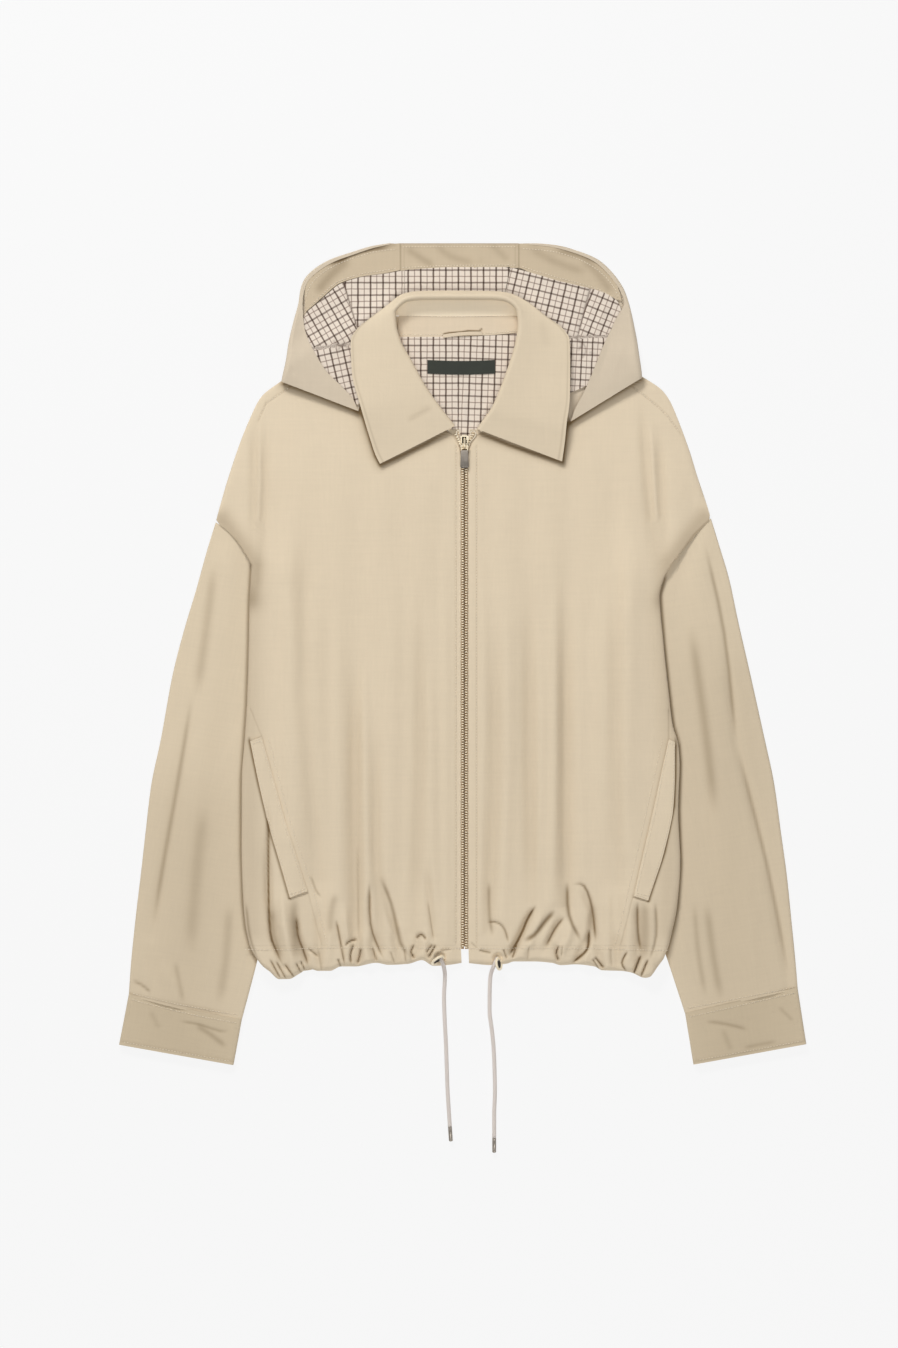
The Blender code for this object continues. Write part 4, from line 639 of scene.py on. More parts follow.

# Seams, topstitching and edges, and the shade painted along them on what they lie on: in the seams'
# furrows, at the pocket openings, under the hood flaps' and the collar's edges, down the sides and the
# lower sleeves, by the armholes and where the body's edge lies over a sleeve. Whether each one's stitches
# show, how far it dips, how dark its painted shade is, how wide that shade is, and the line it follows.
FRONT_SEAMS = {
    "left": seam_rows(
        (True, 0.35, 0.2, 0.8, 456, 446, 456, 943),
        (False, 0.3, 0.14, 0.8, 250, 707, 262, 736, 286, 826, 308, 891, 321.5, 944),
        (True, 0.1, 0.08, 0.8, 243, 949, 280, 949.5, 330, 947.5, 400, 948, 461, 948.5),
        (True, 0.4, 0.22, 0.9, 290, 387, 266, 403, 258, 421), (False, 0.4, 0.3, 0.9, 460, 447, 452, 433),
        (False, 0.4, 0.3, 1.4, 216, 524, 236, 541, 252, 566),
        (False, 0, 0.75, 1.5, 249.8, 741, 258.2, 782, 268.7, 826.5, 279.2, 862, 289.5, 897.8),
        (False, 0.1, 0.5, 0.9, 289.8, 898.3, 307.8, 892.2),
        (False, 0, 0.4, 5.5, 283, 383.5, 320, 397, 358.5, 412.5),
        (False, 0, 0.55, 2.1, 283, 383, 320, 396.5, 358.5, 412),
        (False, 0, 0.4, 5, 351, 373, 361, 409, 369.5, 438, 375.5, 456, 380.5, 465.2, 402, 455.4, 450, 433),
        (False, 0, 0.62, 2.2, 361, 409, 375.5, 456, 380.5, 465, 402, 455.2, 426, 443.5, 453, 427),
        (False, 0, 0.2, 13, 249, 600, 248, 720, 249, 820, 252, 930),
        (False, 0, 0.38, 10, 222, 520, 238, 541, 255, 566, 252, 600)),
    "right": seam_rows(
        (True, 0.35, 0.2, 0.8, 476.5, 446, 476.5, 943),
        (False, 0.3, 0.2, 0.8, 668.3, 707, 668.4, 738, 649, 825, 632.5, 896, 620.5, 944),
        (True, 0.1, 0.08, 0.8, 468, 948.5, 540, 948, 600, 948.5, 670, 950),
        (True, 0.4, 0.22, 0.9, 633, 387, 645, 396, 657.6, 406, 668.3, 416.6, 680.5, 433.5),
        (False, 0.4, 0.3, 0.9, 469, 447, 477, 435), (False, 0.4, 0.3, 1.4, 711, 519, 694, 535, 676, 560),
        (False, 0, 0.8, 1.5, 675.4, 742, 675.2, 775, 673.8, 806, 664.3, 852, 648.5, 900.4),
        (False, 0.1, 0.6, 0.9, 648, 901, 633.2, 896.6),
        (False, 0, 0.4, 5.5, 641, 379.5, 606, 400, 570.5, 423),
        (False, 0, 0.55, 2.1, 641, 379, 606, 399.5, 570.5, 422.5),
        (False, 0, 0.4, 5, 570.4, 398, 567.2, 424, 565.2, 444, 562.6, 462.8, 540, 455.4, 482, 435),
        (False, 0, 0.62, 2.2, 567.2, 424, 562.6, 462.4, 540, 455, 510, 445.5, 479, 432),
        (False, 0, 0.2, 13, 662, 600, 668, 720, 671, 820, 667, 930),
        (False, 0, 0.38, 10, 704, 518, 690, 535, 670, 562, 664, 600)),
}
SLEEVE_SEAMS = {
    "left": seam_rows(
        (True, 0.3, 0.25, 0.8, 128.7, 992.6, 160, 1000, 241.6, 1018),
        (True, 0.3, 0.16, 0.8, 122, 1041.5, 234, 1061.5),
        (False, 0, 0.62, 2, 251, 566, 248.8, 600, 248, 645, 246, 706, 243.8, 740, 241, 779, 240.8, 850, 242.5,
         901, 245, 927, 250.7, 951, 259, 964), (False, 0, 0.13, 60, 196, 830, 188, 920, 176, 1060)),
    "right": seam_rows(
        (True, 0.3, 0.25, 0.8, 797.6, 986, 760, 996, 684.5, 1011.8),
        (True, 0.3, 0.16, 0.8, 804.5, 1041, 693.5, 1061.5),
        (False, 0, 0.75, 2, 664.8, 578, 660.3, 595, 664.3, 645, 669.5, 694, 673.3, 725, 678.8, 744, 680.2,
         763, 678.8, 809, 680.8, 863, 677.6, 907, 673.2, 929, 666, 956, 658, 968),
        (False, 0, 0.13, 60, 716, 700, 724, 830, 732, 920, 744, 1060)),
}
# Shadow painted on the neck facing along the hanger loop's top edge.
NECK_SEAMS = seam_rows(
    (False, 0, 1, 0.85, 442.9, 335, 444.6, 333.6, 448.9, 332.7, 461.9, 331.9, 468, 330.7, 479.6, 331, 481.4,
     328.8))

# Shade painted on the hood facing along its two seams and along a row of topstitching beside each, and a
# broad band of it near the facing's outer edge on the left.
HOOD_SEAMS = seam_rows(
    (False, 0, 0.42, 0.8, 400.5, 240, 400.5, 272), (False, 0, 0.42, 0.8, 518.8, 240, 518.8, 270),
    (False, 0, 0.14, 0.7, 404, 240, 404, 272), (False, 0, 0.2, 0.7, 515.4, 240, 515.4, 270),
    (False, 0, 0.25, 3, 332, 262, 360, 250, 394, 244))

# The tilted eyelet rings: the middle, how far and which way each leans, and its radii.
EyeletRing = namedtuple("EyeletRing", "across down high lean way radius wire")
EYELET_RINGS = {
    "left": EyeletRing(438.0, 959.8, 10.8, 69.0, 31.5, 6.5, 1.3),
    "right": EyeletRing(498.8, 963.6, 9.4, 64.0, 100.0, 5.5, 1.25),
}
# Where the tapes' cut tops curl over, beside the slider.
TAPE_CURLS = {
    "left": (
        (460.9, 447), (459.4, 441), (457.3, 436), (456.4, 432.8), (457.6, 430.9), (459.6, 431.2), (460, 433),
        (458.6, 434)),
    "right": (
        (468.6, 447), (470.6, 441.6), (473.8, 438), (475.8, 434.8), (475, 432), (472.4, 431.2),
        (470.2, 432.8), (470.8, 435), (472.8, 434.8)),
}

CheckZone = namedtuple("CheckZone", "head_across head_down foot_across foot_down side turn stretch "
                                    "pivot_across pivot_down shift_across shift_down sharp soft")
LINING_CHECK = {
    "left": rows(
        CheckZone, (344.5, 286, 357.5, 329, -1, -30, 1.12, 352, 284, 2, 0, 1, 2.5),
        (290, 352, 350, 344, -1, -13, 1, 320, 350, 3, 2, 1.8, 1.8)),
    "centre": [],
    "right": rows(
        CheckZone, (507, 200, 507, 400, 1, 13.5, 1, 507, 268, 3, 0, 1, 1),
        (590.3, 288.7, 578.8, 332, 1, 22, 1.1, 591, 292, 4, 2, 1, 1.4),
        (560, 338, 620, 336, -1, 3, 1.2, 585, 338, 2, 3, 1.6, 1.6)),
}
BACK_CHECK = rows(
    CheckZone, (0, 200, 0, 500, -1, 1.5, 1, 461, 350, -3.2, -2.8, 1, 1),
    (462, 300, 459, 440, 1, 2, 1, 461, 350, 0.5, 0, 3, 3))

# The flat cut of what shows of each cloth piece, in metres and square metres, all round on the tubes, and
# what it lies on.
Cut = namedtuple("Cut", "width length area held rests_on")

# The slider's top as small blocks: across, down, width, depth, how high it starts and how thick it is.
SliderBlock = namedtuple("SliderBlock", "across down width depth low thick")
SLIDER_BLOCKS = {
    "zip_slider_rim": ("tooth", rows(
        SliderBlock, (461.3, 439.6, 1.5, 7.0, 0.0, 1.5), (467.5, 439.6, 1.5, 7.0, 0.0, 1.5),
        (464.4, 436.4, 6.6, 1.3, 0.0, 1.4), (467.6, 438.6, 2.6, 3.6, 1.3, 0.6))),
    # A dark block in the slot, round the window: painted shade.
    "zip_slider_slot": ("hole", rows(SliderBlock, (464.4, 440.2, 4.8, 6.4, -0.3, 0.5))),
    "zip_slider_window": ("tooth", rows(SliderBlock, (464.6, 440.9, 2.2, 4.2, 0.1, 1.0))),
}


def place(across, down, high):
    """World places for arrays of layout positions, as an n x 3 array in metres."""
    across, down, high = np.broadcast_arrays(across, down, high)
    return np.stack([(across - ORIGIN_ACROSS) * MM, (ORIGIN_DOWN - down) * MM, high * MM], axis=-1)


def smooth_step(value):
    value = np.clip(value, 0.0, 1.0)
    return value * value * (3 - 2 * value)


def monotone(knots, values, at):
    """The values at `at` of a smooth curve through the knots that never swings past them."""
    knots, values = np.array(knots, float), np.array(values, float)
    at = np.clip(at, knots[0], knots[-1])
    steps = np.diff(knots)
    slopes = np.diff(values) / steps
    product, total = slopes[:-1] * slopes[1:], slopes[:-1] + slopes[1:]
    inner = np.where(product > 0, 2 * product / np.where(total == 0, 1, total), 0.0)
    tangents = np.concatenate([slopes[:1], inner, slopes[-1:]])
    cell = np.clip(np.searchsorted(knots, at, side="right") - 1, 0, len(steps) - 1)
    h = steps[cell]
    t = (at - knots[cell]) / h
    return (values[cell] * (1 + 2 * t) * (1 - t) ** 2 + tangents[cell] * h * t * (1 - t) ** 2
            + values[cell + 1] * t * t * (3 - 2 * t) + tangents[cell + 1] * h * t * t * (t - 1))


def along(table, t):
    """Every column of a table as smooth curves, at t from 0 at its first row to 1 at its last."""
    kind = type(table[0])
    at = np.asarray(t) * (len(table) - 1)
    return kind(*(monotone(range(len(table)), column, at) for column in zip(*table)))


def across_at(table, down):
    return monotone([row.down for row in table], [row.across for row in table], down)


def down_at(table, across):
    return monotone([row.across for row in table], [row.down for row in table], across)


def hem_down(side, across):
    return down_at(HEM_EDGE[side], across)


def inward(side):
    return 1 if side == "left" else -1


def between(row, share):
    """Points on a row, from its outer end (0) to its inner end (1)."""
    return (row.out_across + (row.in_across - row.out_across) * share,
            row.out_down + (row.in_down - row.out_down) * share)


def sleeve_point(row, share):
    """Points on a sleeve row, from its outer edge (0) to its inner edge (1), along a bowed line."""
    lift = 4 * share * (1 - share)
    across, down = between(row, share)
    return across + row.bow_across * lift, down + row.bow_down * lift


def armhole_across(side, down):
    shares = np.linspace(0, 1, 60)
    seam_across, seam_down = sleeve_point(SLEEVES[side][0], shares)
    return np.interp(down, seam_down, seam_across)


def body_edge(side, down):
    """The body's outline: shoulder and drop shoulder, armhole seam, then the side."""
    seam = armhole_across(side, down) + inward(side) * SEAM_GAP
    edge = np.where(down < ARMHOLE_FOOT, seam, across_at(SIDE[side], down))
    return np.where(down <= ARMHOLE_TOP[side], across_at(SHOULDER[side], down), edge)


def sleeve_inner(side, down):
    table = SLEEVES[side]
    return monotone([row.in_down for row in table], [row.in_across for row in table], down)


def climb(across, down):
    """How far the back is lifted where it lies over a sleeve."""
    level = smooth_step((down - CLIMB_TOP) / (CLIMB_FULL - CLIMB_TOP))
    lift = 0.0
    for side in SIDES:
        beyond = (across - sleeve_inner(side, np.maximum(down, SLEEVE_UNDER))) * inward(side)
        lift = np.maximum(lift, 1 - smooth_step((beyond - CLIMB_LEVEL) / CLIMB_RUN))
    return SLEEVE_CLIMB * level * lift


def finer_route(points, times=5):
    """A route's points with more between them, on a Catmull-Rom curve."""
    points = np.asarray(points, float)
    ends = np.concatenate([[2 * points[0] - points[1]], points, [2 * points[-1] - points[-2]]])
    out = []
    for a, b, c, d in zip(ends, ends[1:], ends[2:], ends[3:]):
        for t in np.arange(times) / times:
            out.append(0.5 * (2 * b + (c - a) * t + (2 * a - 5 * b + 4 * c - d) * t * t
                              + (3 * b - a - 3 * c + d) * t ** 3))
    return np.array(out + [points[-1]])


def from_line(points, across, down):
    """Each position's distance from a line of points, and how far along the line it is, in millimetres."""
    best = np.full(np.shape(across), 1e9)
    run = np.zeros(np.shape(across))
    start = 0.0
    for (ax, ay), (bx, by) in zip(points, points[1:]):
        dx, dy = bx - ax, by - ay
        length = hypot(dx, dy)
        t = np.clip(((across - ax) * dx + (down - ay) * dy) / length ** 2, 0, 1)
        away = np.hypot(across - ax - t * dx, down - ay - t * dy)
        run = np.where(away < best, start + t * length, run)
        best = np.minimum(away, best)
        start += length
    return best, run, start


def fold_rise(fold, across, down):
    """The rise of one fold: a soft ridge or trough along its line, fading out at its top."""
    points = ((fold.top_across, fold.top_down), (fold.mid_across, fold.mid_down),
              (fold.foot_across, fold.foot_down))
    best = np.full(np.shape(across), 1e9)
    share = np.zeros(np.shape(across))
    for part, ((ax, ay), (bx, by)) in enumerate(zip(points, points[1:])):
        dx, dy = bx - ax, by - ay
        t = np.clip(((across - ax) * dx + (down - ay) * dy) / (dx * dx + dy * dy), 0, 1)
        away = np.hypot(across - ax - t * dx, down - ay - t * dy)
        share = np.where(away < best, (part + t) / 2, share)
        best = np.minimum(away, best)
    ending = smooth_step((share - FOLD_FADE_OUT) / (1 - FOLD_FADE_OUT))
    fade = smooth_step(share / FOLD_FADE_IN) * (1 - ending / 2)
    return fold.rise * fade * np.exp(-(best / fold.half_width) ** 2)


def crease_way(crease, across, down):
    """Each place's distance from a crease, how strong the crease is beside it, and how far along that is."""
    away, run, length = from_line(finer_route(crease.points, 3), across, down)
    t = run / length
    return away, smooth_step(t / CREASE_FADE) * smooth_step((1 - t) / CREASE_FADE), run


def crease_rise(creases, across, down):
    """Finer creases: each sharper than a fold, deepest along its middle and uneven along its length."""
    total = np.zeros(np.shape(across))
    for number, crease in enumerate(creases):
        away, fade, run = crease_way(crease, across, down)
        uneven = 1 - CREASE_UNEVEN * (1 + np.sin(run / CREASE_WAVE + number * CREASE_STEP)) / 2
        rise = crease.rise * fade * uneven * np.exp(-(away / crease.width) ** CREASE_SHARP)
        total += np.where(away < 4 * crease.width, rise, 0)
    return total


def seam_dip(lines, across, down):
    """The shallow furrow and fine pucker that sewing pulls along its lines."""
    total = np.zeros(np.shape(across))
    for number, line in enumerate(lines):
        away, run, _ = from_line(line.points, across, down)
        pucker = 1 + PUCKER * np.sin(run / PUCKER_WAVE + PUCKER_TURN * np.sin(run / PUCKER_DRIFT + number))
        total -= line.dip * pucker * np.exp(-(away / SEAM_WIDTH) ** 2)
    return total


def fold_shade(creases, lines, across, down, folds=()):
    """How much shadow, from 0 to 1, each place holds in a crease or fold, or by a seam or edge."""
    total = np.zeros(np.shape(across))
    for crease in creases:
        away, fade, _ = crease_way(crease, across, down)
        depth = SHADE_GAIN * max(0, -crease.rise)
        total += depth * fade * np.exp(-(away / (SHADE_WIDTH * crease.width)) ** 2)
    for line in lines:
        away, _, _ = from_line(line.points, across, down)
        total += line.shade * np.exp(-(away / line.width) ** 2)
    for fold in folds:
        total += FOLD_SHADE * np.maximum(0, -fold_rise(fold, across, down))
    return np.minimum(total, 1.0)


def roll_drop(away, reach):
    """How far a rolled edge has dropped, from 0 at its reach to 1 at the edge."""
    t = 1 - np.clip(away, 0, reach) / reach
    return 1 - np.sqrt(np.maximum(0.0, 1 - t * t))


def front_relief(side, across, down):
    """How the folds, gathers and soft waves lift or sink a front."""
    calm = smooth_step((down - CALM_ABOVE) / CALM_FADE)
    relief = SOFT_WAVE_RISE * (1 + np.cos(2 * pi * (across - ZIP_ACROSS) / SOFT_WAVE)) * calm
    relief = relief + FOLD_GAIN * sum(fold_rise(fold, across, down) for fold in FOLDS[side])
    relief = relief + CREASE_GAIN * crease_rise(CREASES[side], across, down)
    relief = relief + GATHER_LIFT * smooth_step((down - GATHER_FROM) / (GATHER_FULL - GATHER_FROM))
    for centre_across, centre_down in EYELET_AT.values():
        away = np.hypot(across - centre_across, down - centre_down)
        relief = relief * smooth_step((away - EYELET_FLAT) / EYELET_FADE)
    return relief * smooth_step((np.abs(across - ZIP_ACROSS) - ZIP_FLAT) / ZIP_FADE)


def body_air(across, down):
    """The air between back and front, less over the shoulders than beside the zip and below."""
    shoulder = 1 - smooth_step((down - AIR_TOP) / (AIR_FULL - AIR_TOP))
    shoulder = shoulder * smooth_step((np.abs(across - ZIP_ACROSS) - NECK_REACH) / NECK_FADE)
    return BODY_AIR + (SHOULDER_AIR - BODY_AIR) * shoulder


def front_height(side, across, down):
    """The outer face of a front or hem panel above the table."""
    base = climb(across, down)
    air = body_air(across, down)
    top = base + np.maximum(2 * SHELL_WALL + air + front_relief(side, across, down), LEAST_LAYERS)
    away = (across - body_edge(side, down)) * inward(side)
    seam = smooth_step((down - ARMHOLE_TOP[side] + ROLL_STARTS) / ROLL_FADE)
    seam = seam * (1 - smooth_step((down - ARMHOLE_FOOT) / ROLL_FADE))
    drop = roll_drop(away, SIDE_ROLL) * (1 - seam)
    hem = roll_drop(hem_down(side, across) - down, HEM_ROLL)
    drop = np.where(down > HEM_SEAM, np.maximum(drop, hem), drop)
    lowest = base + SHELL_WALL + ROLL_LEFT
    return top - (top - lowest) * drop + seam_dip(FRONT_SEAMS[side], across, down)


def hood_height(across, down):
    """The underside of the hood's lower layer: on the table, then over the shoulders."""
    middle = smooth_step((np.abs(across - HOOD_MIDDLE) - SHOULDER_INNER) / SHOULDER_FADE)
    beyond = down - down_at(SHOULDER_LINE, across) + SHOULDER_LEAD + SHOULDER_RUN
    return SHOULDER_CLIMB * smooth_step(beyond / SHOULDER_RUN) * middle


# ---------------------------------------------------------------- making meshes

def clear_selection():
    for other in bpy.context.selected_objects:
        other.select_set(False)


def take(piece, material, nodes=(), body=BODY):
    """Gives a finished piece its material and slot, rides it on its body and lets it stand for CAD nodes."""
    piece.data.materials.clear()
    piece.data.materials.append(material)
    if nodes:
        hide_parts(*nodes)
    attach(piece, body)
    return piece


def apply_modifiers(piece):
    bpy.context.view_layer.objects.active = piece
    for modifier in list(piece.modifiers):
        bpy.ops.object.modifier_apply(modifier=modifier.name)


def new_piece(name, mesh):
    mesh.shade_smooth()
    piece = bpy.data.objects.new(name, mesh)
    bpy.context.scene.collection.objects.link(piece)
    return piece


def run_of(points):
    """How far along a route each of its points lies."""
    return np.concatenate([[0], np.cumsum(np.linalg.norm(np.diff(points, axis=0), axis=1))])


def lay_on_surface(mesh):
    """Raise to the surface below whatever a wall's thickness has pushed under it."""
    co = np.empty(len(mesh.vertices) * 3, np.float32)
    mesh.vertices.foreach_get("co", co)
    co[2::3] = np.maximum(co[2::3], 0)
    mesh.vertices.foreach_set("co", co)


def cloth(name, columns, levels, surface, wall, grain=None, outside=True, ring=False, flip=False, shade=None):
    """A cloth shell from a primitive grid, laid by surface(u, v), with its grain kept as a UV map.

    columns and levels are the shares, from 0 to 1, at which the grid's lines lie. surface returns across,
    down and high. grain(u, v, across, down) returns places on the flat cloth in millimetres, and
    shade(across, down) how much shade is painted into each place, in its creases and by its seams and edges.
    """
    clear_selection()
    columns, levels = np.asarray(columns, float), np.asarray(levels, float)
    bpy.ops.mesh.primitive_grid_add(x_subdivisions=len(columns) - 1, y_subdivisions=len(levels) - 1, size=1)
    piece = bpy.context.object
    piece.name = f"{name}_cloth"
    mesh = piece.data
    co = np.empty(len(mesh.vertices) * 3, np.float32)
    mesh.vertices.foreach_get("co", co)
    co = co.reshape(-1, 3)
    u = columns[np.rint((co[:, 0] + 0.5) * (len(columns) - 1)).astype(int)]
    v = levels[np.rint((co[:, 1] + 0.5) * (len(levels) - 1)).astype(int)]
    across, down, high = np.broadcast_arrays(*surface(u, v))
    flat = np.stack(grain(u, v, across, down) if grain else (across, -down), axis=-1) * MM
    mesh.vertices.foreach_set("co", place(across, down, high).astype(np.float32).ravel())
    # The painted shade, kept on each point for the finishes to darken their colour by.
    held = mesh.attributes.new("shade", "FLOAT", "POINT")
    if shade:
        held.data.foreach_set("value", np.asarray(shade(across, down), np.float32).ravel())
    corners = np.empty(len(mesh.loops), np.int32)
    mesh.loops.foreach_get("vertex_index", corners)
    layer = mesh.uv_layers.active or mesh.uv_layers.new(name="grain")
    layer.name = "grain"
    layer.data.foreach_set("uv", flat[corners].astype(np.float32).ravel())
    bm = bmesh.new()
    bm.from_mesh(mesh)
    if ring:
        bmesh.ops.remove_doubles(bm, verts=bm.verts, dist=0.00001)
    if not flip:
        bmesh.ops.reverse_faces(bm, faces=bm.faces)
    bm.to_mesh(mesh)
    bm.free()
    mesh.shade_smooth()
    solid = piece.modifiers.new("Wall", "SOLIDIFY")
    solid.thickness = wall * MM
    solid.offset = -1 if outside else 1
    apply_modifiers(piece)
    lay_on_surface(piece.data)
    piece.data.shade_smooth()
    piece.data.set_sharp_from_angle(angle=radians(CLOTH_SHARP))
    return piece


def even(count):
    return np.linspace(0, 1, count + 1)


def leading(count, lead_count, lead_share):
    """Shares with a closer-spaced start, for a rolled edge, then even ones."""
    start = lead_share * (np.arange(lead_count) / lead_count) ** LEAD_EASE
    return np.concatenate([start, np.linspace(lead_share, 1, count - lead_count + 1)])


def loose_tube(name, points, radius, sides=10, lengths=None):
    """A closed round tube of smooth faces along a path of places, its UV running along and round it."""
    points = np.asarray(points, float)
    step = np.gradient(points, axis=0)
    step /= np.linalg.norm(step, axis=1)[:, None]
    up = np.array([0.0, 0.0, 1.0])
    side_way = np.cross(step, up)
    side_way /= np.maximum(np.linalg.norm(side_way, axis=1), 1e-9)[:, None]
    over = np.cross(side_way, step)
    radii = np.broadcast_to(radius, len(points))
    angles = np.arange(sides) / sides * 2 * pi
    bm = bmesh.new()
    uv = bm.loops.layers.uv.new("grain")
    run = run_of(points)
    rings = [[bm.verts.new(points[i] + radii[i] * (cos(a) * side_way[i] + sin(a) * over[i])) for a in angles]
             for i in range(len(points))]
    for i in range(len(points) - 1):
        for k in range(sides):
            n = (k + 1) % sides
            face = bm.faces.new((rings[i][k], rings[i][n], rings[i + 1][n], rings[i + 1][k]))
            turns = 2 * pi * radii[i] / sides
            for loop, (r, s) in zip(face.loops, ((i, k), (i, k + 1), (i + 1, k + 1), (i + 1, k))):
                loop[uv].uv = (run[r], s * turns)
    bm.faces.new(list(reversed(rings[0])))
    bm.faces.new(rings[-1])
    bmesh.ops.recalc_face_normals(bm, faces=bm.faces)
    mesh = bpy.data.meshes.new(name)
    bm.to_mesh(mesh)
    bm.free()
    return new_piece(f"{name}_round", mesh)


# ---------------------------------------------------------------- finishes

class Value:
    """A shader socket that adds its Math nodes as an expression is written."""

    def __init__(self, finish, socket):
        self.finish, self.socket = finish, socket

    def math(self, operation, *others):
        return self.finish.node("ShaderNodeMath", {"operation": operation}, self, *others)

    def __add__(self, other):
        return self.math("ADD", other)

    def __sub__(self, other):
        return self.math("SUBTRACT", other)

    def __rsub__(self, other):
        return self.finish.node("ShaderNodeMath", {"operation": "SUBTRACT"}, other, self)

    def __mul__(self, other):
        return self.math("MULTIPLY", other)

    def __truediv__(self, other):
        return self.math("DIVIDE", other)

    __radd__ = __add__
    __rmul__ = __mul__

    def wave(self, pitch):
        """A sine of this value, from 0 to 1, that repeats every pitch."""
        return (self * (2 * pi / pitch)).math("SINE") * 0.5 + 0.5

    def line(self, pitch, width):
        """A soft-edged line of this width, in the value's own unit, every pitch."""
        gap = (self / pitch).math("FRACT") - 0.5
        return 1 - (gap.math("ABSOLUTE") * pitch / (width / 2)).math("POWER", 3.0).math("MINIMUM", 1.0)


class Finish:
    """A procedural material built round one Principled shader."""

    def __init__(self, name, colour, roughness, **settings):
        self.material = bpy.data.materials.new(name)
        self.material.use_nodes = True
        self.tree = self.material.node_tree
        self.shader = self.tree.nodes["Principled BSDF"]
        self.shader.inputs["Base Color"].default_value = (*colour, 1)
        self.shader.inputs["Roughness"].default_value = roughness
        for socket, value in settings.items():
            self.shader.inputs[socket.replace("_", " ")].default_value = value
        self.material.diffuse_color = (*colour, 1)

    def node(self, kind, settings, *inputs, out=0, **named):
        """Adds a node, its settings first and then its sockets by order or by name, and returns an output."""
        node = self.tree.nodes.new(kind)
        for key, value in settings.items():
            setattr(node, key, value)
        for key, value in [*enumerate(inputs), *((k.replace("_", " "), v) for k, v in named.items())]:
            if isinstance(value, Value):
                self.tree.links.new(value.socket, node.inputs[key])
            else:
                node.inputs[key].default_value = value
        return Value(self, node.outputs[out])

    def place(self, source):
        """The piece's own flat-cloth map ("grain") or its Object coordinates."""
        if source == "grain":
            return self.node("ShaderNodeUVMap", {"uv_map": "grain"})
        return self.node("ShaderNodeTexCoord", {}, out="Object")

    def painted_shade_mask(self):
        """The shade painted into creases, by seams and under edges, as the piece keeps it in its mesh."""
        return self.node("ShaderNodeAttribute", {"attribute_name": "shade"}, out="Fac")

    def split(self, vector):
        node = self.tree.nodes.new("ShaderNodeSeparateXYZ")
        self.tree.links.new(vector.socket, node.inputs[0])
        return [Value(self, output) for output in node.outputs]

    def turned(self, vector, angle, scale=(1, 1, 1)):
        return self.node("ShaderNodeMapping", {}, Vector=vector, Rotation=(0, 0, angle), Scale=scale)

    def noise(self, vector, scale, detail=3.0, roughness=0.5):
        return self.node("ShaderNodeTexNoise", {}, Vector=vector, Scale=scale, Detail=detail,
                         Roughness=roughness)

    def blend(self, share, first, second):
        """A colour between two colours."""
        node = self.tree.nodes.new("ShaderNodeMix")
        node.data_type = "RGBA"
        for socket, value in ((node.inputs[0], share), (node.inputs[6], first), (node.inputs[7], second)):
            if isinstance(value, Value):
                self.tree.links.new(value.socket, socket)
            elif isinstance(value, (int, float)):
                socket.default_value = value
            else:
                socket.default_value = (*value, 1) if len(value) == 3 else value
        return Value(self, node.outputs[2])

    def set(self, socket, value):
        self.tree.links.new(value.socket, self.shader.inputs[socket])

    def bump(self, *layers):
        """Height layers as (height in millimetres, share of it), each stacked on the last."""
        normal = None
        for height, depth in layers:
            node = self.tree.nodes.new("ShaderNodeBump")
            node.inputs["Strength"].default_value = 1.0
            node.inputs["Distance"].default_value = depth * MM
            self.tree.links.new(height.socket, node.inputs["Height"])
            if normal:
                self.tree.links.new(normal, node.inputs["Normal"])
            normal = node.outputs["Normal"]
        self.tree.links.new(normal, self.shader.inputs["Normal"])


def darker(colour, share):
    return tuple(channel * share for channel in colour)


def twill(name, colour, mottle=0.05, source="grain"):
    """Cotton twill: fine diagonal ribs, slubs along the warp, and soft mottling from handling."""
    finish = Finish(name, colour, 0.86, Sheen_Weight=0.12, Sheen_Roughness=0.5, Specular_IOR_Level=0.25)
    cloth_place = finish.place(source)
    across, down, _ = finish.split(cloth_place)
    ribs = (across + down * TWILL_SLOPE).wave(TWILL_PITCH * MM)
    threads = across.wave(TWILL_PITCH * 0.5 * MM) * down.wave(TWILL_PITCH * 0.5 * MM)
    slubs = finish.noise(finish.turned(cloth_place, 0.0, (1.0, 0.07, 1.0)), 420.0, 2.0)
    cross_slubs = finish.noise(finish.turned(cloth_place, 0.0, (0.07, 1.0, 1.0)), 380.0, 2.0)
    broad = finish.noise(cloth_place, 9.0, 3.0, 0.55)
    handled = finish.noise(finish.turned(cloth_place, 0.5, (1.0, 0.6, 1.0)), 60.0, 4.0, 0.6)
    shade = (broad - 0.5) * mottle * 2.4 + (slubs + cross_slubs - 1.0) * 0.10 + (handled - 0.5) * mottle
    base = finish.blend((shade + 0.5).math("MINIMUM", 1.0), darker(colour, 0.72), darker(colour, 1.28))
    # Shade painted into creases, by seams and under edges: the colour it darkens towards.
    painted_shade_colour = [channel * share for channel, share in zip(colour, PAINTED_SHADE_TINT)]
    finish.set("Base Color", finish.blend(finish.painted_shade_mask(), base, painted_shade_colour))
    finish.set("Roughness", 0.84 + (handled - 0.5) * 0.12)
    finish.bump((handled, 0.35), (slubs + cross_slubs, 0.06), (ribs * 0.7 + threads * 0.3, 0.05))
    return finish.material


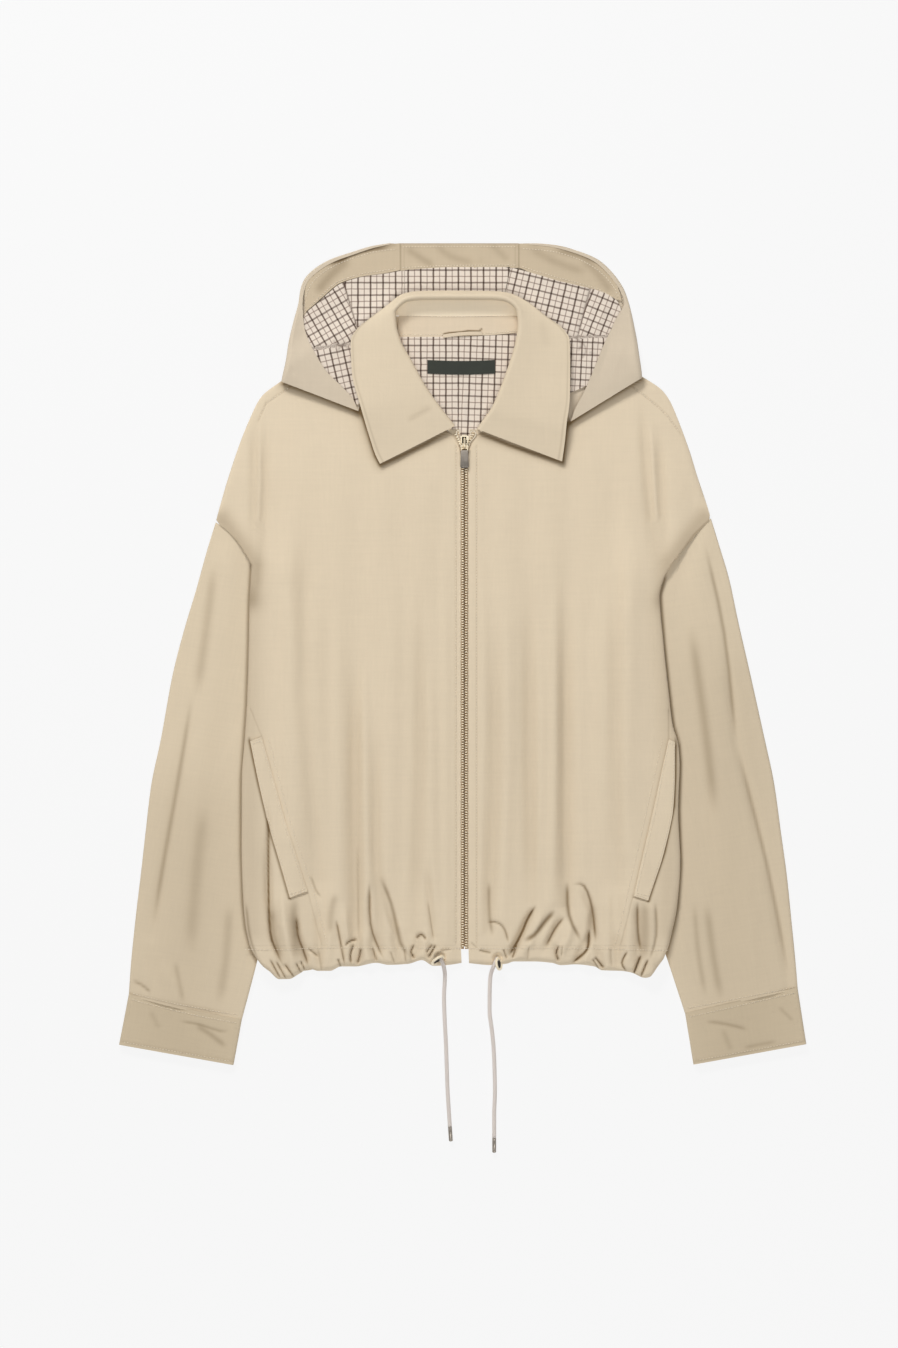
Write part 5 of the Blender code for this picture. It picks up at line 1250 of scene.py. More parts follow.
def check_lining(name, base, dark, thin):
    """A plain two-weight check: bold and thin lines by turns both ways, darker where two lines cross."""
    finish = Finish(name, base, 0.9, Sheen_Weight=0.08, Specular_IOR_Level=0.2)
    cloth_place = finish.place("grain")
    wobble = finish.noise(cloth_place, 160.0, 1.0)
    across, down, _ = finish.split(cloth_place)
    across = across + (wobble - 0.5) * CHECK_WOBBLE * MM
    down = down + (0.5 - wobble) * CHECK_WOBBLE * MM
    pitch = CHECK_PITCH * MM
    bold = [way.line(pitch * 2, BOLD_WIDTH * MM) for way in (across, down)]
    fine = [(way + pitch).line(pitch * 2, THIN_WIDTH * MM) for way in (across, down)]
    weave = finish.noise(cloth_place, 1900.0, 1.0)
    warm = finish.noise(cloth_place, 25.0, 2.0)
    ground = finish.blend(weave * 0.35 + warm * 0.3, base, darker(base, 0.86))
    lines = fine[0].math("MAXIMUM", fine[1])
    colour = finish.blend(lines * 0.66, ground, thin)
    colour = finish.blend(bold[0].math("MAXIMUM", bold[1] * 0.82) * 0.9, colour, dark)
    colour = finish.blend(bold[0] * bold[1] * 0.9, colour, darker(dark, 0.5))
    colour = finish.blend(fine[0] * fine[1] * 0.5, colour, darker(dark, 0.8))
    # Shade painted into the lining's creases, towards the dark line colour.
    finish.set("Base Color", finish.blend(finish.painted_shade_mask() * 0.7, colour, dark))
    finish.bump((warm, 0.3), (weave, 0.05))
    return finish.material


def ribbed_tape(name, colour):
    """Woven tape: ribs along it with a twill slant."""
    finish = Finish(name, colour, 0.9, Sheen_Weight=0.1, Specular_IOR_Level=0.2)
    across, down, _ = finish.split(finish.place("grain"))
    ribs = across.wave(TAPE_RIB * MM) * 0.6 + (down + across).wave(TAPE_SLANT * MM) * 0.4
    woven = finish.blend(ribs, darker(colour, 0.82), colour)
    # A shadow painted down the tapes' middle, under and between the teeth.
    finish.set("Base Color", finish.blend(finish.painted_shade_mask(), woven, TAPE_SHADOW))
    finish.bump((ribs, 0.12))
    return finish.material


def woven_label(name, colour):
    """A dark satin-woven label, left bare."""
    finish = Finish(name, colour, 0.62, Sheen_Weight=0.2, Specular_IOR_Level=0.35)
    cloth_place = finish.place("grain")
    across, down, _ = finish.split(cloth_place)
    ribs = across.wave(0.55 * MM) * 0.5 + down.wave(0.4 * MM) * 0.5
    mottled = finish.noise(cloth_place, 90.0, 3.0)
    shade = ribs * 0.3 + mottled * 0.5
    finish.set("Base Color", finish.blend(shade, darker(colour, 0.8), darker(colour, 1.5)))
    finish.bump((mottled, 0.15), (ribs, 0.04))
    return finish.material


def thread(name, colour):
    """Polished sewing thread, laid in short twisted stitches."""
    finish = Finish(name, colour, 0.7, Sheen_Weight=0.1, Specular_IOR_Level=0.3)
    across, down, _ = finish.split(finish.place("object"))
    twist = (across + down).wave(THREAD_TWIST * MM)
    finish.set("Base Color", finish.blend(twist, darker(colour, 0.86), colour))
    return finish.material


def braid(name, colour):
    """A round braided cord: two sets of strands that cross over one another."""
    finish = Finish(name, colour, 0.85, Sheen_Weight=0.2, Specular_IOR_Level=0.2)
    along_cord, round_cord, _ = finish.split(finish.place("grain"))
    strands = ((along_cord + round_cord).wave(BRAID_PITCH * MM)).math(
        "MAXIMUM", (along_cord - round_cord).wave(BRAID_PITCH * MM))
    fuzz = finish.noise(finish.place("object"), 900.0, 2.0)
    shade = strands * 0.7 + fuzz * 0.3
    finish.set("Base Color", finish.blend(shade, darker(colour, 0.72), darker(colour, 1.08)))
    finish.bump((strands, 0.3))
    return finish.material


def metal(name, colour, roughness, wear=0.15, metallic=0.8):
    """Plated metal with fine brushing and rubbed patches."""
    finish = Finish(name, colour, roughness, Metallic=metallic)
    spot = finish.place("object")
    rubbed = finish.noise(spot, 240.0, 4.0, 0.6)
    brushed = finish.noise(finish.turned(spot, 0.0, (1.0, 0.08, 1.0)), 2600.0, 2.0)
    finish.set("Base Color", finish.blend(rubbed, darker(colour, 1 - wear), darker(colour, 1 + wear)))
    finish.set("Roughness", roughness + (rubbed - 0.5) * 0.25 + (brushed - 0.5) * 0.15)
    finish.bump((brushed, 0.01))
    return finish.material


def tab_metal(name, colour, pale):
    """The pull tab's metal: frame pale like the slider, then satin with painted shade to its rolled end."""
    finish = Finish(name, colour, 0.6, Metallic=0.7)
    spot = finish.place("object")
    _, up, _ = finish.split(spot)
    run = ((ORIGIN_DOWN - TAB_HEAD) * MM - up) / ((TAB_FOOT - TAB_HEAD) * MM)
    inside = (run * 40.0).math("MINIMUM", 1.0).math("MAXIMUM", 0.0)
    rubbed = finish.noise(spot, 300.0, 4.0, 0.6)
    # The lip is bumped and carries a painted highlight; the satin gets rubbed wear and shade painted darker
    # towards the rolled end.
    lip = 1 - ((run - 0.93).math("ABSOLUTE") * 40.0).math("MINIMUM", 1.0)
    wear_and_painted_shade = (run * 0.75 + rubbed * 0.5 - lip * 0.6).math("MINIMUM", 1.0).math("MAXIMUM", 0.0)
    satin = finish.blend(wear_and_painted_shade, darker(colour, 1.3), darker(colour, 0.4))
    finish.set("Base Color", finish.blend(inside, pale, satin))
    finish.set("Roughness", 0.5 + rubbed * 0.15)
    finish.bump((lip, 0.25), (rubbed, 0.03))
    return finish.material


def pale_floor(name, colour):
    finish = Finish(name, colour, 0.95, Specular_IOR_Level=0.1)
    grain = finish.noise(finish.place("object"), 300.0, 2.0)
    finish.set("Base Color", finish.blend(grain * 0.2, colour, darker(colour, 0.985)))
    finish.shader.inputs["Emission Color"].default_value = (1, 1, 1, 1)
    finish.shader.inputs["Emission Strength"].default_value = FLOOR_GLOW
    return finish.material


FINISHES = {}


def finish_of(kind):
    """Each material is made once, the first time that a piece asks for it."""
    colours = bpy.context.scene.jacket_colours
    makers = {
        "twill": lambda: twill("twill", colours.twill),
        **{other: lambda other=other: twill(f"{other}_twill", getattr(colours, other)) for other in TWILLS},
        "check": lambda: check_lining("check_lining", colours.lining, colours.bold_line, colours.thin_line),
        "label": lambda: woven_label("woven_label", colours.label),
        "tape": lambda: ribbed_tape("zip_tape_weave", colours.tape),
        "thread": lambda: thread("sewing_thread", colours.thread),
        "cord": lambda: braid("cord_braid", colours.cord),
        "brass": lambda: metal("pale_brass", colours.brass, 0.42),
        "tooth": lambda: metal("tooth_brass", colours.tooth, 0.4, 0.06, 0.1),
        "tab": lambda: tab_metal("pull_tab_metal", colours.gunmetal, colours.brass),
        "gunmetal": lambda: metal("gunmetal", colours.gunmetal, 0.38),
        "hole": lambda: twill("eyelet_hole", colours.hole, source="object"),
        "floor": lambda: pale_floor("floor_paper", colours.floor),
    }
    if kind not in FINISHES:
        FINISHES[kind] = makers[kind]()
    return FINISHES[kind]


# ---------------------------------------------------------------- body

def row_levels(*spans):
    """The levels of a front's rows, from spans of start, end and step down to the casing seam."""
    return np.concatenate([*(np.arange(*span) for span in spans), [HEM_SEAM]])


def shares_of(rows_down):
    return (rows_down - rows_down[0]) / (rows_down[-1] - rows_down[0])


# The shade painted on a front from its creases, folds, seams and edges.
def front_shade(side):
    return lambda across, down: fold_shade(CREASES[side], FRONT_SEAMS[side], across, down, FOLDS[side])


def front(side):
    """A front panel: from its neckline and shoulder to the casing seam, in beyond the pocket seam."""
    levels = row_levels((FRONT_TOP, EDGES_FROM, ROW_STEP), (EDGES_FROM, EDGES_TO, EDGES_STEP),
                        (EDGES_TO, FINE_FROM, ROW_STEP), (FINE_FROM, HEM_SEAM, FINE_STEP))

    def surface(u, v):
        down = levels[0] + v * (levels[-1] - levels[0])
        outer = np.where(down > POCKET_TOP, across_at(POCKET_SEAM[side], down), body_edge(side, down))
        across = outer + (across_at(CENTRE[side], down) - outer) * u
        return across, down, front_height(side, across, down)

    return cloth(f"front_{side}", leading(190, 12, 0.05), shares_of(levels), surface, THIN,
                 flip=side == "right", shade=front_shade(side))


def side_front(side):
    levels = row_levels((POCKET_TOP, FINE_FROM, ROW_STEP), (FINE_FROM, HEM_SEAM, FINE_STEP))

    def surface(u, v):
        down = levels[0] + v * (levels[-1] - levels[0])
        outer, inner = body_edge(side, down), across_at(POCKET_SEAM[side], down)
        across = outer + (inner - outer) * u
        return across, down, front_height(side, across, down)

    return cloth(f"side_front_{side}", leading(64, 12, 0.16), shares_of(levels), surface, THIN,
                 flip=side == "right", shade=front_shade(side))


def hem_front(side):
    """The gathered casing, its lower edge rolled under."""
    last, first = HEM_EDGE[side][-1].across, HEM_EDGE[side][0].across
    edge_foot, centre_foot = (first, last) if side == "left" else (last, first)

    def surface(u, v):
        drop = 1 - (1 - v) ** HEM_EASE
        edge_top, centre_top = body_edge(side, HEM_SEAM), across_at(CENTRE[side], HEM_SEAM)
        foot = edge_foot + (centre_foot - edge_foot) * u
        top = edge_top + (centre_top - edge_top) * u
        across = top + (foot - top) * drop
        down = HEM_SEAM + HEM_BELOW + (hem_down(side, foot) - HEM_SEAM - HEM_BELOW) * drop
        return across, down, front_height(side, across, down)

    return cloth(f"hem_front_{side}", leading(190, 10, 0.06), even(26), surface, THIN, flip=side == "right",
                 shade=front_shade(side))


def back_panel(name, top, foot, columns, levels):
    """A flat panel of the back between the side outlines, down to foot(across)."""
    def surface(u, v):
        outer = body_edge("left", top + 0 * v) + BACK_INSET
        across = outer + (body_edge("right", top + 0 * v) - BACK_INSET - outer) * u
        down = top + (foot(across) - top) * v
        outer = body_edge("left", down) + BACK_INSET
        across = outer + (body_edge("right", down) - BACK_INSET - outer) * u
        return across, down, climb(across, down)

    return cloth(name, even(columns), even(levels), surface, THIN, outside=False)


# ---------------------------------------------------------------- sleeves

def tube_outline(height, top_points, foot_points):
    """A flattened tube's outline as arrays of share across and height, and which points lie on top."""
    radius = height / 2
    turn = np.linspace(0, pi / 2, 7)
    far = radius / TUBE_WIDTH
    corner_share, corner_high = far * (1 - np.cos(turn)), radius * (1 + np.sin(turn))
    top_share = np.concatenate([corner_share, np.linspace(far, 1 - far, top_points)[1:-1],
                                1 - corner_share[::-1]])
    top_high = np.concatenate([corner_high, np.full(top_points - 2, height), corner_high[::-1]])
    foot_share = np.concatenate([1 - corner_share[1:], np.linspace(1 - far, far, foot_points)[1:-1],
                                 corner_share[::-1]])
    foot_high = np.concatenate([height - corner_high[1:], np.zeros(foot_points - 2),
                                height - corner_high[::-1]])
    return np.concatenate([top_share, foot_share]), np.concatenate([top_high, foot_high]), len(top_share)


def tube_rise(side, crown, creases, share, v, across, down):
    """What the crown, folds, creases and seams add to the top of a flattened tube."""
    rise = np.zeros(np.shape(across))
    if crown:
        bulge = np.sin(pi * np.minimum(1.0, share / CROWN_SHARE)) ** 2
        rise = rise + crown * smooth_step(v / SLEEVE_EASE) * bulge
        visible = 1 - smooth_step((share - FOLDS_END) / FOLDS_FADE)
        rise = rise + FOLD_GAIN * visible * sum(fold_rise(fold, across, down) for fold in SLEEVE_FOLDS[side])
    edge = smooth_step(share * TUBE_WIDTH / TUBE_EDGE) * smooth_step((1 - share) * TUBE_WIDTH / TUBE_EDGE)
    return rise + crease_rise(creases, across, down) * edge + seam_dip(SLEEVE_SEAMS[side], across, down)


def tube_top(side, table, height, crown, creases, share, v):
    across, down = sleeve_point(along(table, v), share)
    return across, down, height + tube_rise(side, crown, creases, share, v, across, down)


def flat_tube(name, side, table, height, crown, levels, creases):
    """A sleeve or cuff: a flattened tube through its rows, open at both ends."""
    share_of, high_of, top_count = tube_outline(height, TUBE_TOP_POINTS, TUBE_FOOT_POINTS)
    count = len(share_of) - 1
    lean = atan2(table[-1].out_across - table[0].out_across, table[-1].out_down - table[0].out_down)

    def surface(u, v):
        index = np.rint(u * count).astype(int)
        share, high = share_of[index], high_of[index]
        across, down = sleeve_point(along(table, v), share)
        top = (index > TUBE_CORNER) & (index < top_count - 1 - TUBE_CORNER)
        rise = tube_rise(side, crown, creases, share, v, across, down)
        return across, down, np.where(top, np.maximum(high + rise, TUBE_LEAST), high)

    def grain(u, v, across, down):
        sign = np.where(np.rint(u * count) < top_count, 1, -1)
        return (across * cos(lean) - down * sin(lean)) * sign, -across * sin(lean) - down * cos(lean)

    def shade(across, down):
        return fold_shade(creases, SLEEVE_SEAMS[side], across, down)

    return cloth(name, even(count), even(levels), surface, THIN, grain, ring=True, flip=side == "right",
                 shade=shade)


def tucked(table, outer, inner):
    """A tube's rows with the ends of the first moved up under the piece above, so that no gap shows there."""
    first, second = table[:2]
    moved = {}
    for end, reach in (("out", outer), ("in", inner)):
        names = (f"{end}_across", f"{end}_down")
        steps = [getattr(first, name) - getattr(second, name) for name in names]
        for name, step in zip(names, steps):
            moved[name] = getattr(first, name) + step * reach / hypot(*steps)
    return [first._replace(**moved), *table[1:]]


# ---------------------------------------------------------------- hood

def hood_side(side):
    """The shell of a hood side: along the table, round the outer fold and back as the flap."""
    def surface(u, v):
        row = along(HOOD_SIDES[side], v)
        base_out = hood_height(row.out_across, row.out_down)
        low = ROLL_LOW * (1 - smooth_step((row.out_down - ROLL_LOW_TO) / ROLL_LOW_FADE))
        radius = (FLAP_LEVEL + row.swell - low) / 2
        run = np.hypot(row.out_across - row.in_across, row.out_down - row.in_down)
        toward = (row.in_across - row.out_across) / run, (row.in_down - row.out_down) / run
        centre = row.out_across + toward[0] * radius, row.out_down + toward[1] * radius
        t = np.clip(u / FLAP_TURN, 0, 1)
        lower = (row.in_across + (centre[0] - row.in_across) * t, row.in_down + (centre[1] - row.in_down) * t)
        lower = (*lower, hood_height(*lower))
        angle = pi * np.clip((u - FLAP_TURN) / (FLAP_START - FLAP_TURN), 0, 1)
        round_it = (centre[0] - toward[0] * np.sin(angle) * radius,
                    centre[1] - toward[1] * np.sin(angle) * radius,
                    base_out + radius - radius * np.cos(angle))
        t = np.clip((u - FLAP_START) / (1 - FLAP_START), 0, 1)
        across = centre[0] + (row.flap_across - centre[0]) * t
        down = centre[1] + (row.flap_down - centre[1]) * t
        shoulder = smooth_step((row.flap_down - FRONT_TOP + FLAP_SHOULDER) / FLAP_SHOULDER)
        level = base_out + (hood_height(across, down) + row.swell * (1 - t) ** 2 - base_out) * shoulder
        creased = crease_rise(HOOD_CREASES[side], across, down) * smooth_step(t / FLAP_EASE)
        level = level + FLAP_LEVEL - low + creased
        flap = (across, down, level)
        return [np.where(u < FLAP_TURN, a, np.where(u < FLAP_START, b, c))
                for a, b, c in zip(lower, round_it, flap)]

    def grain(u, v, across, down):
        return np.where(u < FLAP_TURN, across, FLAP_GRAIN - across), -down

    shares = np.concatenate([np.linspace(0, FLAP_TURN, 25), np.linspace(FLAP_TURN, FLAP_START, 13)[1:],
                             np.linspace(FLAP_START, 1, 41)[1:]])
    return cloth(f"hood_side_{side}", shares, even(100), surface, THIN, grain, flip=side == "right")


def strip(name, table, columns, levels, level, grain=None, flip=False, tuck=(0, 0), rise=0.0, shade=None):
    """A flat-lying strip between its two edge curves, its underside at level(across, down).

    tuck holds the shares of its width by which it runs on under its neighbours at either edge.
    """
    def surface(u, v):
        row = along(table, v)
        u = u * (1 + tuck[0] + tuck[1]) - tuck[0]
        across, down = between(row, u)
        return across, down, level(across, down) + rise * (1 - smooth_step(u / RISE_REACH))

    return cloth(name, even(columns), even(levels), surface, THIN, grain, outside=False, flip=flip,
                 shade=shade)


def turned_check(zones):
    """The check's places on the cloth, turned by zone: each zone starts past its line, round its pivot."""
    def grain(u, v, across, down):
        x, y = np.array(across, float), np.array(down, float)
        flat_x, flat_y = x.copy(), y.copy()
        for zone in zones:
            turn = radians(zone.turn)
            dx, dy = x - zone.pivot_across, y - zone.pivot_down
            new_x = zone.pivot_across + zone.shift_across + (dx * cos(turn) + dy * sin(turn)) * zone.stretch
            new_y = zone.pivot_down + zone.shift_down - dx * sin(turn) + dy * cos(turn)
            line_x, line_y = zone.foot_across - zone.head_across, zone.foot_down - zone.head_down
            length = hypot(line_x, line_y)
            past = ((x - zone.head_across) * line_y - (y - zone.head_down) * line_x) / length * zone.side
            ahead = ((x - zone.head_across) * line_x + (y - zone.head_down) * line_y) / length ** 2
            soft = zone.sharp + (zone.soft - zone.sharp) * smooth_step(1 - ahead / 0.5)
            share = smooth_step(past / soft + 0.5)
            flat_x, flat_y = flat_x + (new_x - flat_x) * share, flat_y + (new_y - flat_y) * share
        return flat_x, -flat_y

    return grain


def lining_level(creases):
    return lambda across, down: (hood_height(across, down) + LINING_LEVEL
                                 + np.maximum(crease_rise(creases, across, down), LINING_DEEPEST))


# ---------------------------------------------------------------- collar and neck

def roll_centre(row):
    run = np.hypot(row.edge_across - row.roll_across, row.edge_down - row.roll_down)
    out = (row.edge_across - row.roll_across) / run, (row.edge_down - row.roll_down) / run
    return (row.roll_across + out[0] * COLLAR_ROLL, row.roll_down + out[1] * COLLAR_ROLL,
            row.roll_high - COLLAR_ROLL), out


def leaf_surface(u, v):
    """The fall of the collar: up its hook, over the roll, then down to its outer edge."""
    row = along(COLLAR, v)
    centre, out = roll_centre(row)
    rise = np.clip(u / LEAF_HOOK, 0, 1)
    angle = pi / 2 * np.clip((u - LEAF_HOOK) / (LEAF_FALL - LEAF_HOOK), 0, 1)
    back = COLLAR_ROLL * np.cos(angle)
    t = np.clip((u - LEAF_FALL) / (1 - LEAF_FALL), 0, 1)
    across = centre[0] - out[0] * back * (t == 0) + (row.edge_across - centre[0]) * t
    down = centre[1] - out[1] * back * (t == 0) + (row.edge_down - centre[1]) * t
    high = np.where(t > 0, row.edge_high + (row.roll_high - row.edge_high) * (1 - t) ** FALL_CURVE,
                    centre[2] - COLLAR_HOOK * (1 - rise) + COLLAR_ROLL * np.sin(angle))
    high = high + crease_rise(COLLAR_CREASES, across, down) * smooth_step(t / LEAF_EASE) + LEAF_LIFT * t ** 2
    return across, down, high


def collar_leaf():
    shares = np.concatenate([[0, LEAF_HOOK / 2], np.linspace(LEAF_HOOK, LEAF_FALL, 10),
                             np.linspace(LEAF_FALL, 1, 46)[1:]])
    # Shade painted along the furrow of the collar's topstitching, besides that in its creases.
    sewn_at = np.full(90, 1 - COLLAR_STITCH / LEAF_REACH)
    edge_across, edge_down, _ = leaf_surface(sewn_at, np.linspace(0, 1, 90))
    sewn = [Stitch(list(zip(edge_across, edge_down)), False, 0.0, 0.22, 0.8)]
    return cloth("collar_leaf", shares, even(170), leaf_surface, COLLAR_WALL, flip=True,
                 shade=lambda across, down: fold_shade(COLLAR_CREASES, sewn, across, down))


def stand_surface(u, v):
    row = along(COLLAR, v)
    centre, out = roll_centre(row)
    top = centre[0] - out[0] * STAND_INSIDE, centre[1] - out[1] * STAND_INSIDE, centre[2] - STAND_BELOW
    seam_high = row.seam_high - SEAM_LOW
    return (row.seam_across + (top[0] - row.seam_across) * u, row.seam_down + (top[1] - row.seam_down) * u,
            seam_high + (top[2] - seam_high) * u ** STAND_BOW)


def neck_facing_level(across, down):
    return SHELL_WALL + LAYER_GAP + crease_rise(FACING_CREASES, across, down)


def back_lining():
    """The check lining on the inside of the back, as far as the neck opening shows it."""
    left, right = BACK_LINING["left"], BACK_LINING["right"]

    def surface(u, v):
        top = along(NECK_FACING, u).in_down
        down = top + (left[-1].down - top) * v
        across = across_at(left, down) * (1 - u) + across_at(right, down) * u
        creased = crease_rise(BACK_CREASES, across, down)
        return across, down, SHELL_WALL + LAYER_GAP + np.maximum(0, BACK_LINING_RISE + creased)

    return cloth("lining_back", even(70), even(60), surface, THIN, turned_check(BACK_CHECK), outside=False)


def label():
    across, down, width, depth = LABEL_BOX
    high = SHELL_WALL + LAYER_GAP + LINING_WALL + TRIM_GAP

    def surface(u, v):
        bow, ripple = np.sin(pi * u), LABEL_RIPPLE * np.sin(3 * pi * u) ** 2
        return across + width * u, down + depth * v + LABEL_BOW * (bow - 1), high + ripple

    return cloth("label", even(40), even(8), surface, LABEL_WALL, outside=False)


def hanger_loop():
    across, down, width, drop = LOOP_ENDS
    high = SHELL_WALL + LAYER_GAP + FACING_WALL + TRIM_GAP

    def surface(u, v):
        slack = np.sin(pi * u)
        return (across + width * u, down + drop * u + LOOP_WIDTH * (v - 0.5) - LOOP_SAG * slack,
                high + LOOP_RISE * slack)

    return cloth("hanger_loop", even(40), even(8), surface, THIN, outside=False)


def welt_surface(side):
    def surface(u, v):
        across, down = between(along(WELTS[side], v), u)
        crown = WELT_CROWN * (np.sin(pi * u) ** WELT_ROUND - 1)
        crown = crown * smooth_step(v / WELT_END) * smooth_step((1 - v) / WELT_END)
        return across, down, front_height(side, across, down) + WELT_RISE + crown

    return surface


def pocket_welt(side):
    return cloth(f"pocket_welt_{side}", even(14), even(90), welt_surface(side), THIN, flip=side == "right")


# ---------------------------------------------------------------- sewing and hard pieces

def joined(name, template, places, turns):
    """Copies of a template's faces at many places, each with its own three axes, in one mesh."""
    points, faces = template
    laid = np.einsum("pk,nkj->npj", points, turns) + places[:, None, :]
    count = len(points)
    mesh = bpy.data.meshes.new(name)
    mesh.from_pydata(laid.reshape(-1, 3).tolist(), [],
                     [tuple(i + n * count for i in face) for n in range(len(places)) for face in faces])
    mesh.update()
    return new_piece(name, mesh)


def stitch_template(radius):
    """One stitch, a thread that dips into the cloth at both ends, in millimetres along X."""
    sides, rings = 5, ((-1.15, 0.03, -0.16), (-0.6, 1.0, 0.05), (0.6, 1.0, 0.05), (1.15, 0.03, -0.16))
    points = [(x, radius * size * cos(2 * pi * k / sides), radius * size * sin(2 * pi * k / sides) + z)
              for x, size, z in rings for k in range(sides)]
    faces = [(r * sides + k, r * sides + (k + 1) % sides,
              (r + 1) * sides + (k + 1) % sides, (r + 1) * sides + k)
             for r in range(len(rings) - 1) for k in range(sides)]
    faces += [tuple(reversed(range(sides))), tuple(range(len(points) - sides, len(points)))]
    return np.array(points), faces


def sew(name, lines, gap, radius):
    """Rows of stitches along lines of places on the cloth, gap millimetres apart."""
    places, turns = [], []
    for path in lines:
        run = run_of(path)
        at = np.arange(gap * MM, run[-1] - gap * MM / 2, gap * MM)
        spots = np.stack([np.interp(at, run, path[:, k]) for k in range(3)], axis=1)
        ahead = np.stack([np.interp(at + STITCH_AHEAD * MM, run, path[:, k]) for k in range(3)], axis=1)
        way = ahead - spots
        way /= np.maximum(np.linalg.norm(way, axis=1), 1e-9)[:, None]
        across_way = np.cross(np.array([0.0, 0.0, 1.0]), way)
        across_way /= np.maximum(np.linalg.norm(across_way, axis=1), 1e-9)[:, None]
        sway = STITCH_WANDER * MM * np.sin(np.arange(len(at)) * STITCH_TURN)[:, None]
        places.append(spots + across_way * sway + np.array([0, 0, THREAD_LIFT * MM]))
        length = gap / TEMPLATE_GAP
        turns.append(np.stack([way * length, across_way, np.cross(way, across_way)], axis=1) * MM)
    return joined(name, stitch_template(radius), np.concatenate(places), np.concatenate(turns))


def plan_path(points, height):
    """A line of layout positions as closely spaced places on a surface."""
    points = np.array(points, float)
    run = run_of(points)
    at = np.linspace(0, run[-1], max(2, int(run[-1] / PATH_STEP)))
    across, down = np.interp(at, run, points[:, 0]), np.interp(at, run, points[:, 1])
    return place(across, down, height(across, down))


def bevelled_block(size, bevel, segments=1):
    """A primitive cube scaled to a size in millimetres and bevelled, as a template for joined()."""
    clear_selection()
    bpy.ops.mesh.primitive_cube_add(size=1)
    block = bpy.context.object
    bpy.ops.object.mode_set(mode="EDIT")
    bpy.ops.mesh.select_all(action="SELECT")
    bpy.ops.transform.resize(value=size)
    bpy.ops.mesh.bevel(offset=bevel, segments=segments, affect="EDGES")
    bpy.ops.object.mode_set(mode="OBJECT")
    template = np.array([v.co for v in block.data.vertices]), [tuple(p.vertices) for p in block.data.polygons]
    bpy.data.objects.remove(block)
    return template


def zip_teeth(pitch):
    """Two rows of teeth that mesh down the middle, each tooth a bevelled block that clasps its tape."""
    template = bevelled_block(TOOTH_SIZE, TOOTH_BEVEL)
    downs = np.arange(ZIP_TOP + pitch / 2, ZIP_END - pitch / 2, pitch / 2)
    sides = np.where(np.arange(len(downs)) % 2, 1, -1)
    places = place(ZIP_ACROSS + sides * TOOTH_OUT, downs, CHAIN_LEVEL + CHAIN_THICK / 2)
    turns = np.broadcast_to(np.eye(3) * MM, (len(downs), 3, 3))
    return joined("zip_chain_teeth", template, places, turns)


def open_teeth(side):
    """The few teeth above the slider, on the tapes that flare apart."""
    sign = inward(side)
    template = bevelled_block(TOOTH_SIZE, OPEN_BEVEL)
    shares = np.linspace(0, 1, OPEN_TEETH)
    downs = OPEN_FROM + (OPEN_TO - OPEN_FROM) * shares
    across = ZIP_ACROSS - sign * (OPEN_APART + OPEN_FLARE * (1 - shares) ** 1.5)
    places = place(across, downs, TAPE_LEVEL + TAPE_WALL + OPEN_RISE)
    lean = sign * OPEN_LEAN * (1 - shares)
    turns = np.array([[[cos(a), sin(a), 0], [-sin(a), cos(a), 0], [0, 0, 1]] for a in lean]) * MM
    return joined(f"zip_open_teeth_{side}", template, places, turns)


def zip_tape(side):
    sign = inward(side)

    def surface(u, v):
        down = TAPE_TOP + (ZIP_END - TAPE_TOP) * v
        narrow = np.where(down < ZIP_TOP, TAPE_NARROW * (ZIP_TOP - down) / (ZIP_TOP - TAPE_TOP), 0.0)
        aside = (TAPE_ASIDE - TAPE_INNER) * smooth_step((ZIP_TOP + 2 - down) / 3)
        inner = ZIP_ACROSS - sign * (TAPE_INNER + aside)
        return inner - sign * (TAPE_WIDTH - narrow) * (1 - u), down, np.full(np.shape(u), TAPE_LEVEL)

    # Where the tapes' shadow is painted: down the middle, under and between the teeth.
    middle = [Stitch(((ZIP_ACROSS, ZIP_TOP), (ZIP_ACROSS, ZIP_END)), False, 0.0, 1.0, 3.0)]
    return cloth(f"zip_tape_{side}", even(16), even(70), surface, TAPE_WALL, outside=False,
                 flip=side == "right", shade=lambda across, down: fold_shade([], middle, across, down))


def cord_route(side):
    """The drawcord's free end from its eyelet to its tip, as the solids lay it."""
    shares = np.linspace(0, 1, CORD_POINTS)
    row = along(CORDS[side], shares)
    return place(row.across, row.down, row.high)


def cord_tip(side):
    """The tip: a thin metal sleeve rolled onto the cord, with a rounded end and two crimped rings."""
    table = CORDS[side]
    end, before = table[-1], table[-2]
    run = hypot(end.across - before.across, end.down - before.down)
    step = (end.across - before.across) / run, (end.down - before.down) / run
    reach, size = np.array(TIP_SHAPE).T
    path = place(end.across + step[0] * reach, end.down + step[1] * reach, end.high)
    return loose_tube(f"cord_tip_{side}", path, TIP_RADIUS * MM * size, 20)


def tilted(piece, ring):
    """Leans a flat piece round the ring's axis in plan and moves it to the ring's middle."""
    lean = Matrix.Rotation(radians(ring.lean), 3, Vector((cos(radians(ring.way)), sin(radians(ring.way)), 0)))
    middle = Vector(place(ring.across, ring.down, ring.high).tolist())
    for vert in piece.data.vertices:
        vert.co = lean @ vert.co + middle
    return piece


def eyelet(side):
    """A rolled metal ring, tilted with the gathered casing it is set in."""
    ring = EYELET_RINGS[side]
    clear_selection()
    bpy.ops.mesh.primitive_torus_add(major_radius=ring.radius * MM, minor_radius=ring.wire * MM,
                                     major_segments=48, minor_segments=14)
    piece = bpy.context.object
    piece.name = f"eyelet_ring_{side}"
    piece.data.shade_smooth()
    return tilted(piece, ring)


